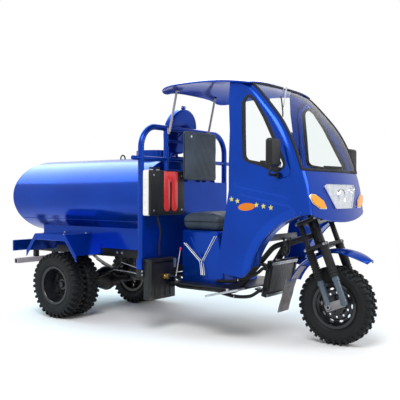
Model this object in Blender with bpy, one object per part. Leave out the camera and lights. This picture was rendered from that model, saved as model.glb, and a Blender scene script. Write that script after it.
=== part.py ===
"""Water tanker tricycle: a three-wheeled motor truck with a half-open driver's cab and an elliptical tank.

Metres, +Z up, +X forward, +Y to the vehicle's left. The origin is on the ground in the middle of the
vehicle's length and width. Sizes along X below are measured from the rear axle, because the vehicle
is laid out from it, and the empty called vehicle_frame carries that shift.
"""
import math

import bmesh
import bpy
from mathutils import Matrix, Vector

# Fits and cuts
SEAT_GAP = 0.0003
RUNNING_GAP = 0.0009
OVERRUN = 0.02
JOIN_DEPTH = 0.004

# Layout of the whole vehicle
WHEELBASE = 2.41
TYRE_R = 0.29
CAB_BEHIND_AXLE = 1.425
HOOP_X = WHEELBASE - CAB_BEHIND_AXLE
CAB_FOOT_Z = 0.45
CAB_HEIGHT = 1.49
CAB_TOP_Z = CAB_FOOT_Z + CAB_HEIGHT

# Tyres and wheels
TYRE_SEGMENTS = 40
RIM_SEGMENTS = 24
TYRE_WIDTH = 0.145
TYRE_BORE_R = 0.1524
LUG_HEIGHT = 0.012
BEAD_WIDTH = 0.104
TWIN_SPACING = 0.165
TWIN_CENTRE_Y = 0.4995
RIM_WALL = 0.006
RIM_LIP = 0.006
RIM_FLANGE_R = 0.172
DISC_THICKNESS = 0.012
REAR_HUB_R = 0.055
REAR_HUB_OUTER = 0.045
REAR_HUB_INNER = 0.140
REAR_STUB_R = 0.026
FRONT_DRUM_R = 0.082
FRONT_DRUM_WIDTH = 0.076
FRONT_AXLE_R = 0.011
FRONT_HUB_WIDTH = 0.150

# Chassis
RAIL_Y = 0.25
RAIL_WIDTH = 0.045
RAIL_TOP_Z = 0.62
RAIL_DEPTH = 0.08
RAIL_REAR_X = -0.765
RAIL_SHORTFALL = 0.005
RAIL_FRONT_X = HOOP_X - RAIL_SHORTFALL
CROSS_WIDTH = 0.05
FRONT_CROSS_BACK = 0.535
CROSS_STATIONS = (-0.60, -0.15, HOOP_X - FRONT_CROSS_BACK)
FRONT_TUBE_R = 0.021
FRONT_TUBE_LOW_Z = 0.345
FRONT_TUBE_BEND_R = 0.12
TUBE_DROP_AHEAD = 0.075
FRONT_TUBE_DROP_X = HOOP_X + TUBE_DROP_AHEAD
TUBE_RUN = 0.62
FRONT_TUBE_RISE_X = FRONT_TUBE_DROP_X + TUBE_RUN
TUBE_RISE_RUN = 0.24
FRONT_TUBE_SHOULDER_X = FRONT_TUBE_RISE_X + TUBE_RISE_RUN
FRONT_TUBE_SHOULDER_Y = 0.083
FRONT_TUBE_SHOULDER_Z = 0.70
POST_BEAM_HALF = 0.605
POST_BEAM_TOP_Z = 0.50
POST_BEAM_DEPTH = 0.06
OUTRIGGER_SHARE = 0.60
OUTRIGGER_R = 0.018
HANGER_LENGTH = 0.06

# Rear axle and springs
AXLE_TUBE_R = 0.036
DIFF_R = 0.105
DIFF_WIDTH = 0.15
AXLE_TUBE_HALF = 0.33
SPRING_SPAN = 0.90
SPRING_THICKNESS = 0.026
SPRING_WIDTH = 0.05
SPRING_CAMBER = 0.155

# Steering: head, rake and fork
HEAD_BACK = 0.17
HEAD_X = WHEELBASE - HEAD_BACK
HEAD_Z = 0.80
RAKE = math.radians(22)
HEAD_HALF = 0.082
HEAD_R = 0.034
STEM_R = 0.017
YOKE_THICKNESS = 0.030
YOKE_GAP = 0.003
LEG_Y = 0.130
FRONT_LEG_OFFSET = 0.088
REAR_LEG_OFFSET = -0.034
LEG_UPPER_R = 0.020
LEG_BELLOWS_R = 0.034
LEG_LOWER_R = 0.024
LEG_BELLOWS_TOP = HEAD_HALF + YOKE_GAP + YOKE_THICKNESS - JOIN_DEPTH
LEG_BELLOWS_LENGTH = 0.229
LEG_END_DROP = 0.045
SHOE_THICKNESS = 0.026
SHOE_MARGIN = 0.030
BELLOWS_RIBS = 4

# Front mudguard and flap
GUARD_R = 0.402
GUARD_SHEET = 0.006
GUARD_HALF_WIDTH = 0.086
GUARD_CROWN = 0.022
GUARD_FRONT_ANGLE = math.radians(52)
GUARD_REAR_ANGLE = math.radians(138)
FLAP_LENGTH = 0.40
FLAP_SHEET = 0.005
FLAP_TILT = math.radians(22)

# Handlebar
BAR_RISE = 0.37
BAR_R = 0.011
BAR_HALF = 0.33
BAR_SWEEP = 0.20
BAR_CLIMB = 0.07
GRIP_R = 0.017
GRIP_LENGTH = 0.12
RISER_R = 0.022
CLUSTER_SIZE = (0.07, 0.17, 0.06)

# Tank
TANK_HALF_WIDTH = 0.54
TANK_HALF_HEIGHT = 0.35
TANK_LOW_Z = 0.73
TANK_CENTRE_Z = TANK_LOW_Z + TANK_HALF_HEIGHT
TANK_TOP_Z = TANK_CENTRE_Z + TANK_HALF_HEIGHT
TANK_REAR_X = -0.72
TANK_HOOP_GAP = 0.045
TANK_FRONT_X = HOOP_X - TANK_HOOP_GAP
TANK_SEGMENTS = 40
TANK_DISH = 0.045
TANK_RIM = 0.018
NECK_R = 0.180
NECK_WALL = 0.006
NECK_RISE = 0.06
NECK_TOP_Z = TANK_TOP_Z + NECK_RISE
NECK_SEGMENTS = 24
WELL_DEPTH = 0.15
WELL_FLOOR_Z = TANK_TOP_Z - WELL_DEPTH
EYE_X = 0.225
EYE_R = 0.028
EYE_ROD_R = 0.007
OUTLET_RISE = 0.07
OUTLET_Z = TANK_LOW_Z + OUTLET_RISE
OUTLET_R = 0.030
OUTLET_FLANGE_R = 0.046
OUTLET_FLANGE = 0.012
OUTLET_REACH = 0.045

# Tank lid and its hinge
LID_R = 0.197
LID_DEPTH = 0.056
LID_SKIRT = 0.007
LID_PLATE = 0.008
LID_LEAN = math.radians(13)
LID_HINGE_MARGIN = 0.012
LID_HINGE_DROP = 0.0365
LID_HINGE_Z = NECK_TOP_Z - LID_HINGE_DROP
LID_STAND_GAP = 0.006
HINGE_PIN_R = 0.006
HINGE_KNUCKLE_R = 0.011
HINGE_KNUCKLE_HALF = 0.035
HINGE_EAR_WIDTH = 0.012

# Tray that carries the tank
TRAY_Y = 0.33
TRAY_SHEET = 0.008
TRAY_CHEEK_RISE = 0.13
TRAY_TOP_Z = TANK_LOW_Z + TRAY_CHEEK_RISE
TRAY_FLOOR = 0.006
TRAY_REAR_X = -0.52
TRAY_HOOP_GAP = 0.04
TRAY_FRONT_X = HOOP_X - TRAY_HOOP_GAP
TRAY_END_MARGIN = 0.045
TRAY_RIB_STATIONS = (-0.42, 0.06, 0.54, TRAY_FRONT_X - TRAY_END_MARGIN)

# Rear fenders
FENDER_OUTER_Y = 0.66
FENDER_SHEET = 0.006
FENDER_LIP = 0.05
FENDER_FRONT_X = 0.311
FENDER_FRONT_Z = 0.571
FENDER_REAR_X = -0.362
FENDER_REAR_Z = 0.585
FENDER_TOP_Z = 0.744
FENDER_TOP_FRONT_X = 0.17
FENDER_TOP_REAR_X = -0.24

# Rear board, bar and lamps
BOARD_HALF = 0.50
BOARD_LOW_Z = 0.545
BOARD_HEIGHT = 0.105
BOARD_SHEET = 0.020
LAMP_Y = 0.36
LAMP_WIDTH = 0.16
LAMP_HEIGHT = 0.075
LAMP_DEPTH = 0.012
BAR_TUBE = 0.05
REAR_BAR_X = -0.73
REAR_BAR_HALF = 0.50
REAR_BAR_Z = 0.45
BAR_PLUG = 0.012

# Guard hoop behind the driver
HOOP_R = 0.025
HOOP_HALF = 0.58
HOOP_DROP = 0.285
HOOP_TOP_Z = CAB_TOP_Z - HOOP_DROP
HOOP_BEND_R = 0.18
HOOP_SIDES_RESOLUTION = 2
MID_RAIL_DROP = 0.265
MID_RAIL_Z = HOOP_TOP_Z - MID_RAIL_DROP
MID_RAIL_HALF = 0.68
MID_RAIL_R = 0.018
INNER_POST_Y = 0.27
INNER_POST_R = 0.022
PANEL_MARGIN = 0.01
PANEL_HIGH_Z = MID_RAIL_Z - PANEL_MARGIN
PAD_WIDTH = 0.04
PAD_DEPTH = 0.027
PAD_HEIGHT = 0.05

# Bulkhead, canister and box on it
BULKHEAD_HALF = 0.58
BULKHEAD_SHEET = 0.006
BULKHEAD_DROP = 0.18
BULKHEAD_TOP_Z = MID_RAIL_Z - BULKHEAD_DROP
CANISTER_LEFT_Y = -0.17
CANISTER_WIDTH = 0.43
CANISTER_DROP = 0.28
CANISTER_LOW_Z = BULKHEAD_TOP_Z - CANISTER_DROP
CANISTER_HEIGHT = 0.365
CANISTER_DEPTH = 0.062
CANISTER_BEVEL = 0.012
COVER_DEPTH = 0.026
COVER_MARGIN = 0.045
COVER_SLOT_WIDTH = 0.018
COVER_SLOT_RISE = 0.27
COVER_STRIPE_Y = -0.352
CAP_R = 0.020
CAP_HEIGHT = 0.024
CAP_INSET = 0.075
BOX_LEFT_Y = -0.285
BOX_WIDTH = 0.30
BOX_LOW_Z = 0.26
BOX_HIGH_Z = 0.585
BOX_DEPTH = 0.085
BOX_BEVEL = 0.006
BAR_STRIP_WIDTH = 0.03
BAR_STRIP_DEPTH = 0.012
VALVE_Y = -0.42
VALVE_Z = 0.44
VALVE_R = 0.018
VALVE_LENGTH = 0.075
LEVER_R = 0.005
LEVER_FOOT_Y = -0.30
LEVER_TOP_Z = 0.66
LEVER_TOP_Y = -0.24

# Seat, tub and engine
TUB_AHEAD = 0.155
TUB_REAR_X = HOOP_X + TUB_AHEAD
TUB_LENGTH = 0.36
TUB_FRONT_X = TUB_REAR_X + TUB_LENGTH
TUB_HALF = 0.25
TUB_TOP_Z = 0.81
TUB_SHEET = 0.008
TUB_TOE = 0.07
CUSHION_THICKNESS = 0.145
CUSHION_BEVEL = 0.035
BACKREST_AHEAD = 0.127
BACKREST_X = HOOP_X + BACKREST_AHEAD
BACKREST_THICKNESS = 0.055
BACKREST_HALF = 0.22
BACKREST_DROP = 0.17
BACKREST_LOW_Z = MID_RAIL_Z - BACKREST_DROP
BACKREST_HEIGHT = 0.41
BACKREST_BEVEL = 0.018
BACKREST_STUB_RISES = (0.08, 0.33)
BACKREST_STUB_Z = tuple(BACKREST_LOW_Z + rise for rise in BACKREST_STUB_RISES)
FLOOR_Z = 0.390
FLOOR_SHEET = 0.010
FLOOR_AHEAD = 0.123
FLOOR_REAR_X = HOOP_X + FLOOR_AHEAD
FLOOR_LENGTH = 0.692
FLOOR_FRONT_X = FLOOR_REAR_X + FLOOR_LENGTH
ENGINE_LENGTH = 0.32
ENGINE_WIDTH = 0.34
ENGINE_LOW_Z = 0.33
ENGINE_HIGH_Z = 0.72
ENGINE_AHEAD = 0.335
ENGINE_CENTRE_X = HOOP_X + ENGINE_AHEAD
SHAFT_R = 0.022
SHAFT_YOKE_R = 0.036
SHAFT_YOKE = 0.06
MUFFLER_R = 0.06
MUFFLER_LENGTH = 0.46
MUFFLER_BACK = 0.265
MUFFLER_X = HOOP_X - MUFFLER_BACK
MUFFLER_Y = -0.14
MUFFLER_Z = 0.395
PIPE_R = 0.018
STEP_Y = 0.40
STEP_WIDTH = 0.09
STEP_PROUD = 0.058
STEP_FRONT_X = FLOOR_FRONT_X + STEP_PROUD
STEP_LENGTH = 0.30
STEP_REAR_X = STEP_FRONT_X - STEP_LENGTH
STEP_LOW_Z = 0.333
STEP_HIGH_Z = 0.407
STEP_SHEET = 0.012
FLOOR_HALF = STEP_Y - SEAT_GAP

# Radiator
RADIATOR_AHEAD = 0.075
RADIATOR_X = FLOOR_FRONT_X + RADIATOR_AHEAD
RADIATOR_LOW_Z = 0.325
RADIATOR_HEIGHT = 0.28
RADIATOR_HALF = 0.20
RADIATOR_DEPTH = 0.045
RADIATOR_LEAN = math.radians(12)
RADIATOR_FRAME = 0.028
RADIATOR_RECESS = 0.008
RADIATOR_EAR = 0.07

# Cab shell
CAB_TOP_SPARE = 0.03
NOSE_AHEAD = 0.059
CAB_NOSE_X = WHEELBASE + NOSE_AHEAD
CAB_HALF = 0.50
CAB_TOP_NARROWING = 0.045
CAB_NARROWING_SHARE = 0.5705
CAB_NARROWING_START_Z = CAB_FOOT_Z + CAB_HEIGHT * CAB_NARROWING_SHARE
CAB_SHEET = 0.010
CAB_BOW = 0.045
CAB_CORNER_R = 0.07
DOORWAY_LENGTH = 0.615
CAB_REAR_X = HOOP_X + DOORWAY_LENGTH
CAB_SEAM = 0.0025
SCREEN_SEAM = 0.0009
LAMP_STANDOFF = 0.0011
CAB_ROWS = 15
ARCH_AHEAD = 0.05
ARCH_X = WHEELBASE + ARCH_AHEAD
ARCH_Z = 0.445
ARCH_R = 0.52
ARCH_FLANGE_Y = 0.36
ARCH_FLANGE_SHEET = 0.010
ARCH_START = math.radians(167)
ARCH_OPEN = math.radians(84)
ARCH_FLANGE_START = math.radians(165.5)
ARCH_END = math.radians(100)
SCREEN_LOW_SHARE = 0.5503
SCREEN_LOW_Z = CAB_FOOT_Z + CAB_HEIGHT * SCREEN_LOW_SHARE
SCREEN_TOP_MARGIN = 0.005
SCREEN_HIGH_Z = CAB_TOP_Z - SCREEN_TOP_MARGIN
SCREEN_SHEET = 0.006
NOSE_LOW_SHARE = 0.302
NOSE_LOW_Z = CAB_FOOT_Z + CAB_HEIGHT * NOSE_LOW_SHARE
NOSE_RISE = 0.055
# Setback of the front centre line from the nose, by height, each a share of the shell's height
FRONT_HEIGHT_SHARES = (0.0, 0.17, 0.30, 0.37, 0.48, 0.55, 0.67, 0.785, 0.89, 0.96, 1.0)
FRONT_SETBACK_SHARES = (0.034, 0.010, 0.0, 0.009, 0.026, 0.046, 0.090, 0.154, 0.241, 0.308, 0.362)
# Side panel's outline behind the wheel arch: along from the rear limit and up from the foot
SIDE_LENGTH = 0.90
SIDE_REAR_SHARES = ((0.322, 0.031), (0.096, 0.089), (0.200, 0.456), (0.200, 0.752), (0.176, 0.90), (0.176, 1.04))
WINDOW_SHARES = ((0.305, 0.894), (0.362, 0.930), (0.437, 0.897), (0.530, 0.811), (0.736, 0.572),
                 (0.648, 0.541), (0.494, 0.576), (0.336, 0.602))

# Roof canopy and poles
ROOF_AHEAD = 0.075
ROOF_REAR_X = HOOP_X + ROOF_AHEAD
ROOF_LENGTH = 0.895
ROOF_HALF = 0.53
ROOF_TAPER = 0.055
ROOF_RISE = 0.005
ROOF_EDGE_Z = CAB_TOP_Z + ROOF_RISE
ROOF_CROWN = 0.095
ROOF_SIDE_FALL = 0.55
ROOF_END_FALL = 0.9
ROOF_END_POWER = 3.5
ROOF_ROW_POWER = 1.3
ROOF_SHEET = 0.012
ROOF_CORNER_R = 0.18
ROOF_LIP = 0.03
POLE_R = 0.010
POLE_Y = 0.270
POLE_INSET = 0.04
POLE_TOP_X = ROOF_REAR_X + POLE_INSET
POLE_TAB = 0.004

# Mirrors and lamps
MIRROR_BACK = 0.175
MIRROR_X = WHEELBASE - MIRROR_BACK
MIRROR_OUT = 0.137
MIRROR_Y = CAB_HALF + MIRROR_OUT
MIRROR_RISE = 0.15
MIRROR_WIDTH = 0.135
MIRROR_HEIGHT = 0.19
MIRROR_DEPTH = 0.055
MIRROR_ARM_R = 0.008
MIRROR_FOOT_INSET = 0.105
MIRROR_FOOT_SHARE = 0.5268
MIRROR_FOOT_Z = CAB_FOOT_Z + CAB_HEIGHT * MIRROR_FOOT_SHARE
HEADLAMP_TOP_HALF = 0.275
HEADLAMP_LOW_HALF = 0.139
HEADLAMP_TOP_SHARE = 0.4866
HEADLAMP_TOP_Z = CAB_FOOT_Z + CAB_HEIGHT * HEADLAMP_TOP_SHARE
HEADLAMP_LOW_SHARE = 0.3691
HEADLAMP_LOW_Z = CAB_FOOT_Z + CAB_HEIGHT * HEADLAMP_LOW_SHARE
HEADLAMP_DEPTH = 0.018
TURN_IN_Y = 0.300
TURN_OUT_Y = 0.455
TURN_SHARE = 0.4161
TURN_Z = CAB_FOOT_Z + CAB_HEIGHT * TURN_SHARE
TURN_HALF_HEIGHT = 0.036
TURN_DEPTH = 0.014

AXLE_Z = TYRE_R * math.cos(math.pi / TYRE_SEGMENTS)
FRONT_REACH = WHEELBASE + AXLE_Z
REAR_REACH = SEAT_GAP * 2 + BOARD_SHEET + LAMP_DEPTH - RAIL_REAR_X
CENTRE_X = (FRONT_REACH - REAR_REACH) / 2
HEAD_UP = Vector((-math.sin(RAKE), 0, math.cos(RAKE)))
HEAD_FORWARD = Vector((math.cos(RAKE), 0, math.sin(RAKE)))
HEAD_CENTRE = Vector((HEAD_X, 0, HEAD_Z))
LID_HINGE_REACH = LID_R + LID_HINGE_MARGIN
# The open lid leans towards the hoop's top tube and stands clear of it
LID_STAND_REACH = LID_DEPTH + HOOP_R + LID_STAND_GAP + (HOOP_TOP_Z - LID_HINGE_Z) * math.sin(LID_LEAN)
LID_HINGE_X = HOOP_X - LID_STAND_REACH / math.cos(LID_LEAN)
NECK_X = LID_HINGE_X - LID_HINGE_REACH

# Where each moving body turns, in the rear axle's frame
BODY_ORIGINS = {
    "chassis": Vector((0, 0, 0)),
    "steering": HEAD_CENTRE,
    "front_wheel": Vector((WHEELBASE, 0, AXLE_Z)),
    "rear_wheels_right": Vector((0, -TWIN_CENTRE_Y, AXLE_Z)),
    "rear_wheels_left": Vector((0, TWIN_CENTRE_Y, AXLE_Z)),
    "tank_lid": Vector((LID_HINGE_X, 0, LID_HINGE_Z)),
}
SIDES = (("right", -1), ("left", 1))


def clear_scene():
    for item in list(bpy.data.objects):
        bpy.data.objects.remove(item, do_unlink=True)


def paint(name, colour, roughness, metallic=0.0):
    material = bpy.data.materials.new(name)
    material.use_nodes = True
    shader = material.node_tree.nodes["Principled BSDF"]
    shader.inputs["Base Color"].default_value = (*colour, 1)
    shader.inputs["Roughness"].default_value = roughness
    shader.inputs["Metallic"].default_value = metallic
    material.diffuse_color = (*colour, 1)
    return material


def make_materials():
    return {
        "blue": paint("gloss_blue_paint", (0.003, 0.028, 0.36), 0.22),
        "black": paint("black_frame_paint", (0.012, 0.013, 0.015), 0.45),
        "rubber": paint("tyre_rubber", (0.018, 0.019, 0.021), 0.8),
        "rim": paint("rim_paint", (0.02, 0.021, 0.024), 0.4, 0.3),
        "steel": paint("bare_steel", (0.45, 0.45, 0.47), 0.35, 1.0),
        "vinyl": paint("seat_vinyl", (0.045, 0.07, 0.10), 0.6),
        "glass": paint("clear_glass", (0.80, 0.86, 0.88), 0.05),
        "lamp": paint("lamp_lens", (0.85, 0.86, 0.88), 0.1),
        "amber": paint("amber_lens", (0.95, 0.32, 0.01), 0.2),
        "red": paint("red_plastic", (0.55, 0.03, 0.03), 0.35),
        "white": paint("white_plastic", (0.82, 0.80, 0.78), 0.4),
        "grey": paint("light_grey_paint", (0.45, 0.38, 0.41), 0.5),
        "flap": paint("grey_flap", (0.22, 0.21, 0.22), 0.6),
        "brass": paint("brass", (0.52, 0.32, 0.09), 0.35, 1.0),
        "shock": paint("shock_enamel", (0.09, 0.12, 0.17), 0.35, 0.4),
    }


def new_object(name, mesh):
    item = bpy.data.objects.new(name, mesh)
    bpy.context.collection.objects.link(item)
    return item


def object_from(work, name):
    """Turns a bmesh into an object, with its faces pointing out."""
    bmesh.ops.recalc_face_normals(work, faces=work.faces)
    mesh = bpy.data.meshes.new(name)
    work.to_mesh(mesh)
    work.free()
    return new_object(name, mesh)


def bake(item):
    """Keeps what the modifiers make as the object's own mesh."""
    graph = bpy.context.evaluated_depsgraph_get()
    mesh = bpy.data.meshes.new_from_object(item.evaluated_get(graph))
    item.modifiers.clear()
    item.data = mesh
    return item


def combine(target, tool, operation):
    modifier = target.modifiers.new(operation.lower(), "BOOLEAN")
    modifier.operation = operation
    modifier.solver = "EXACT"
    modifier.object = tool
    bake(target)
    bpy.data.objects.remove(tool, do_unlink=True)
    return target


def fuse(target, *others):
    for other in others:
        combine(target, other, "UNION")
    return target


def cut(target, *tools):
    for tool in tools:
        combine(target, tool, "DIFFERENCE")
    return target


def keep_inside(target, tool):
    return combine(target, tool, "INTERSECT")


def place_in_plane(axis, first, second, along):
    """Sets a flat outline's point in space; the outline is in XZ for y, YZ for x and XY for z."""
    if axis == "y":
        return Vector((first, along, second))
    if axis == "x":
        return Vector((along, first, second))
    return Vector((first, second, along))


def prism(axis, outline, start, end):
    """Extrudes a flat outline along one axis."""
    work = bmesh.new()
    corners = [work.verts.new(place_in_plane(axis, first, second, start)) for first, second in outline]
    face = work.faces.new(corners)
    grown = bmesh.ops.extrude_face_region(work, geom=[face])
    moved = [part for part in grown["geom"] if isinstance(part, bmesh.types.BMVert)]
    shift = place_in_plane(axis, 0, 0, end - start)
    bmesh.ops.translate(work, verts=moved, vec=shift)
    return object_from(work, "prism")


def block(low, high):
    work = bmesh.new()
    bmesh.ops.create_cube(work, size=1)
    size = Vector(high) - Vector(low)
    middle = (Vector(high) + Vector(low)) / 2
    bmesh.ops.transform(work, matrix=Matrix.Translation(middle) @ Matrix.Diagonal((*size, 1)), verts=work.verts)
    return object_from(work, "block")


def eased(item, width, segments=2):
    """Rounds an object's edges with a bevel."""
    modifier = item.modifiers.new("eased_edges", "BEVEL")
    modifier.width = width
    modifier.segments = segments
    modifier.limit_method = "ANGLE"
    return bake(item)


def rod(start, end, radius, sides=10, end_radius=None):
    """A straight round bar or cone between two points."""
    start = Vector(start)
    end = Vector(end)
    run = end - start
    work = bmesh.new()
    tip_radius = radius if end_radius is None else end_radius
    bmesh.ops.create_cone(work, cap_ends=True, segments=sides, radius1=radius, radius2=tip_radius,
                          depth=run.length)
    turn = Vector((0, 0, 1)).rotation_difference(run).to_matrix().to_4x4()
    bmesh.ops.transform(work, matrix=Matrix.Translation((start + end) / 2) @ turn, verts=work.verts)
    return object_from(work, "rod")


def turned(profile, centre, axis, segments):
    """Spins a closed profile of (radius, along) points about an axis through a centre."""
    axis = Vector(axis).normalized()
    side = axis.orthogonal().normalized() if abs(axis.y) < 1 else Vector((0, 0, 1))
    if abs(axis.y) == 1:
        side = Matrix.Rotation(math.pi / segments, 3, axis) @ side
    centre = Vector(centre)
    work = bmesh.new()
    ring = [work.verts.new(centre + side * radius + axis * along) for radius, along in profile]
    edges = [work.edges.new((ring[index], ring[(index + 1) % len(ring)])) for index in range(len(ring))]
    bmesh.ops.spin(work, geom=ring + edges, cent=centre, axis=axis, angle=2 * math.pi, steps=segments,
                   use_merge=True)
    bmesh.ops.remove_doubles(work, verts=work.verts, dist=SEAT_GAP / 10)
    return object_from(work, "turned")


def rounded_path(corners, bend_radius, steps=5):
    """Points along a run of straight stretches, with each inner corner bent at a radius."""
    corners = [Vector(corner) for corner in corners]
    points = [corners[0]]
    for before, corner, after in zip(corners, corners[1:], corners[2:]):
        back = (before - corner).normalized()
        ahead = (after - corner).normalized()
        half_angle = back.angle(ahead) / 2
        reach = min(bend_radius / math.tan(half_angle), (before - corner).length / 2, (after - corner).length / 2)
        radius = reach * math.tan(half_angle)
        centre = corner + (back + ahead).normalized() * (radius / math.sin(half_angle))
        start = corner + back * reach - centre
        end = corner + ahead * reach - centre
        for step in range(steps + 1):
            points.append(centre + start.slerp(end, step / steps).normalized() * radius)
    points.append(corners[-1])
    return points


def tube(points, radius, resolution=2):
    """A round tube swept along points, with closed ends."""
    curve = bpy.data.curves.new("tube", "CURVE")
    curve.dimensions = "3D"
    curve.bevel_depth = radius
    curve.bevel_resolution = resolution
    curve.use_fill_caps = True
    curve.twist_mode = "MINIMUM"
    spline = curve.splines.new("POLY")
    spline.points.add(len(points) - 1)
    for target, point in zip(spline.points, points):
        target.co = (*point, 1)
    carrier = new_object("tube_line", curve)
    graph = bpy.context.evaluated_depsgraph_get()
    mesh = bpy.data.meshes.new_from_object(carrier.evaluated_get(graph))
    bpy.data.objects.remove(carrier, do_unlink=True)
    work = bmesh.new()
    work.from_mesh(mesh)
    bmesh.ops.remove_doubles(work, verts=work.verts, dist=SEAT_GAP / 10)
    return object_from(work, "tube")


def skin(surface, columns, rows, thickness, reverse=False, inner_share=1):
    """A sheet bent over surface(u, v), u and v from 0 to 1, with its wall grown to the inner side or both."""
    work = bmesh.new()
    grid = [[work.verts.new(surface(i / columns, j / rows)) for i in range(columns + 1)] for j in range(rows + 1)]
    for lower, upper in zip(grid, grid[1:]):
        for i in range(columns):
            corners = (lower[i], lower[i + 1], upper[i + 1], upper[i])
            work.faces.new(tuple(reversed(corners)) if reverse else corners)
    bmesh.ops.triangulate(work, faces=work.faces, quad_method="FIXED")
    mesh = bpy.data.meshes.new("skin")
    work.to_mesh(mesh)
    work.free()
    item = new_object("skin", mesh)
    modifier = item.modifiers.new("wall", "SOLIDIFY")
    modifier.thickness = thickness
    modifier.offset = 1 - 2 * inner_share
    return bake(item)


def settle(item, name, material, body, bodies, smooth_angle=math.radians(35)):
    """Names a finished piece, paints it and hangs it on its body's empty."""
    item.name = name
    item.data.name = name
    item.data.materials.clear()
    item.data.materials.append(material)
    item.data.transform(Matrix.Translation(-BODY_ORIGINS[body]))
    item.data.shade_smooth()
    item.data.set_sharp_from_angle(angle=smooth_angle)
    item.parent = bodies[body]
    return item


def make_bodies():
    """An empty on each joint's axis, which carries the pieces that turn with it."""
    vehicle = new_object("vehicle_frame", None)
    vehicle.location = (-CENTRE_X, 0, 0)
    carriers = {}
    for name, origin in BODY_ORIGINS.items():
        empty = new_object(name + "_axis", None)
        empty.location = origin
        empty.parent = vehicle
        carriers[name] = empty
    front = carriers["front_wheel"]
    front.parent = carriers["steering"]
    front.location = BODY_ORIGINS["front_wheel"] - BODY_ORIGINS["steering"]
    return carriers


def mirrored(points):
    return [(-first, second) for first, second in reversed(points)]


def tyre(centre):
    """A tyre with block lugs on both shoulders, staggered by one pitch."""
    tread_r = TYRE_R - LUG_HEIGHT
    half = TYRE_WIDTH / 2
    side = half - LUG_HEIGHT / 2
    bead = BEAD_WIDTH / 2
    wall_r = (TYRE_BORE_R + tread_r) / 2
    shoulder_r = tread_r - 2 * LUG_HEIGHT
    right = [(TYRE_BORE_R, -bead), (RIM_FLANGE_R + SEAT_GAP, -bead), (wall_r, -side), (shoulder_r, -side),
             (tread_r, -bead)]
    left = [(radius, -along) for radius, along in reversed(right)]
    item = turned(right + left, centre, (0, 1, 0), TYRE_SEGMENTS)
    work = bmesh.new()
    work.from_mesh(item.data)
    work.faces.ensure_lookup_table()
    raise_lugs(work, Vector(centre), tread_r, shoulder_r, side)
    work.to_mesh(item.data)
    work.free()
    return item


def raise_lugs(work, centre, tread_r, shoulder_r, side):
    pitch = 2 * math.pi / TYRE_SEGMENTS
    for shoulder, stagger in ((-1, 0), (1, 1)):
        for lug in range(TYRE_SEGMENTS // 2):
            angle = (2 * lug + stagger) * pitch
            faces = [face for face in work.faces if lug_face(face, centre, angle, shoulder, shoulder_r)]
            grown = bmesh.ops.extrude_face_region(work, geom=faces)
            bmesh.ops.delete(work, geom=[face for face in faces if face.is_valid], context="FACES_ONLY")
            corners = [part for part in grown["geom"] if isinstance(part, bmesh.types.BMVert)]
            for corner in corners:
                push_lug_corner(corner, centre, tread_r, shoulder)


def lug_face(face, centre, angle, shoulder, shoulder_r):
    middle = face.calc_center_median() - centre
    radius = math.hypot(middle.x, middle.z)
    turn = math.atan2(middle.x, -middle.z) - angle
    near = abs(math.remainder(turn, 2 * math.pi)) < math.pi / TYRE_SEGMENTS / 2
    return near and radius > shoulder_r and middle.y * shoulder > LUG_HEIGHT


def push_lug_corner(corner, centre, tread_r, shoulder):
    arm = corner.co - centre
    radius = math.hypot(arm.x, arm.z)
    if radius > tread_r - LUG_HEIGHT / 2:
        scale = TYRE_R / radius
        corner.co.x = centre.x + arm.x * scale
        corner.co.z = centre.z + arm.z * scale
        return
    corner.co.y += shoulder * LUG_HEIGHT / 2


def rear_rim(centre, outward):
    """Two rims bolted back to back on one drum hub, seen as one deep-dished wheel."""
    seat = TYRE_BORE_R * math.cos(math.pi / TYRE_SEGMENTS) - SEAT_GAP
    inner = seat - RIM_WALL
    bead = TWIN_SPACING / 2 + BEAD_WIDTH / 2 + SEAT_GAP
    lip = bead + RIM_LIP
    disc = DISC_THICKNESS / 2
    bore = (REAR_STUB_R + RUNNING_GAP) / math.cos(math.pi / RIM_SEGMENTS)
    outer_side = [(seat, bead), (RIM_FLANGE_R, bead), (RIM_FLANGE_R, lip), (inner, lip), (inner, disc),
                  (REAR_HUB_R, disc), (REAR_HUB_R, REAR_HUB_OUTER), (bore, REAR_HUB_OUTER)]
    inner_side = [(bore, -REAR_HUB_INNER), (REAR_HUB_R, -REAR_HUB_INNER), (REAR_HUB_R, -disc), (inner, -disc),
                  (inner, -lip), (RIM_FLANGE_R, -lip), (RIM_FLANGE_R, -bead), (seat, -bead)]
    return turned(outer_side + inner_side, centre, (0, outward, 0), RIM_SEGMENTS)


def front_rim(centre):
    seat = TYRE_BORE_R * math.cos(math.pi / TYRE_SEGMENTS) - SEAT_GAP
    inner = seat - RIM_WALL
    bead = BEAD_WIDTH / 2 + SEAT_GAP
    lip = bead + RIM_LIP
    disc = DISC_THICKNESS / 2
    drum = FRONT_DRUM_WIDTH / 2
    hub = FRONT_HUB_WIDTH / 2
    bore = (FRONT_AXLE_R + RUNNING_GAP) / math.cos(math.pi / RIM_SEGMENTS)
    boss = 2 * bore
    half = [(seat, bead), (RIM_FLANGE_R, bead), (RIM_FLANGE_R, lip), (inner, lip), (inner, disc),
            (FRONT_DRUM_R, disc), (FRONT_DRUM_R, drum), (boss, drum), (boss, hub), (bore, hub)]
    other = [(radius, -along) for radius, along in reversed(half)]
    return turned(half + other, centre, (0, 1, 0), RIM_SEGMENTS)


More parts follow.
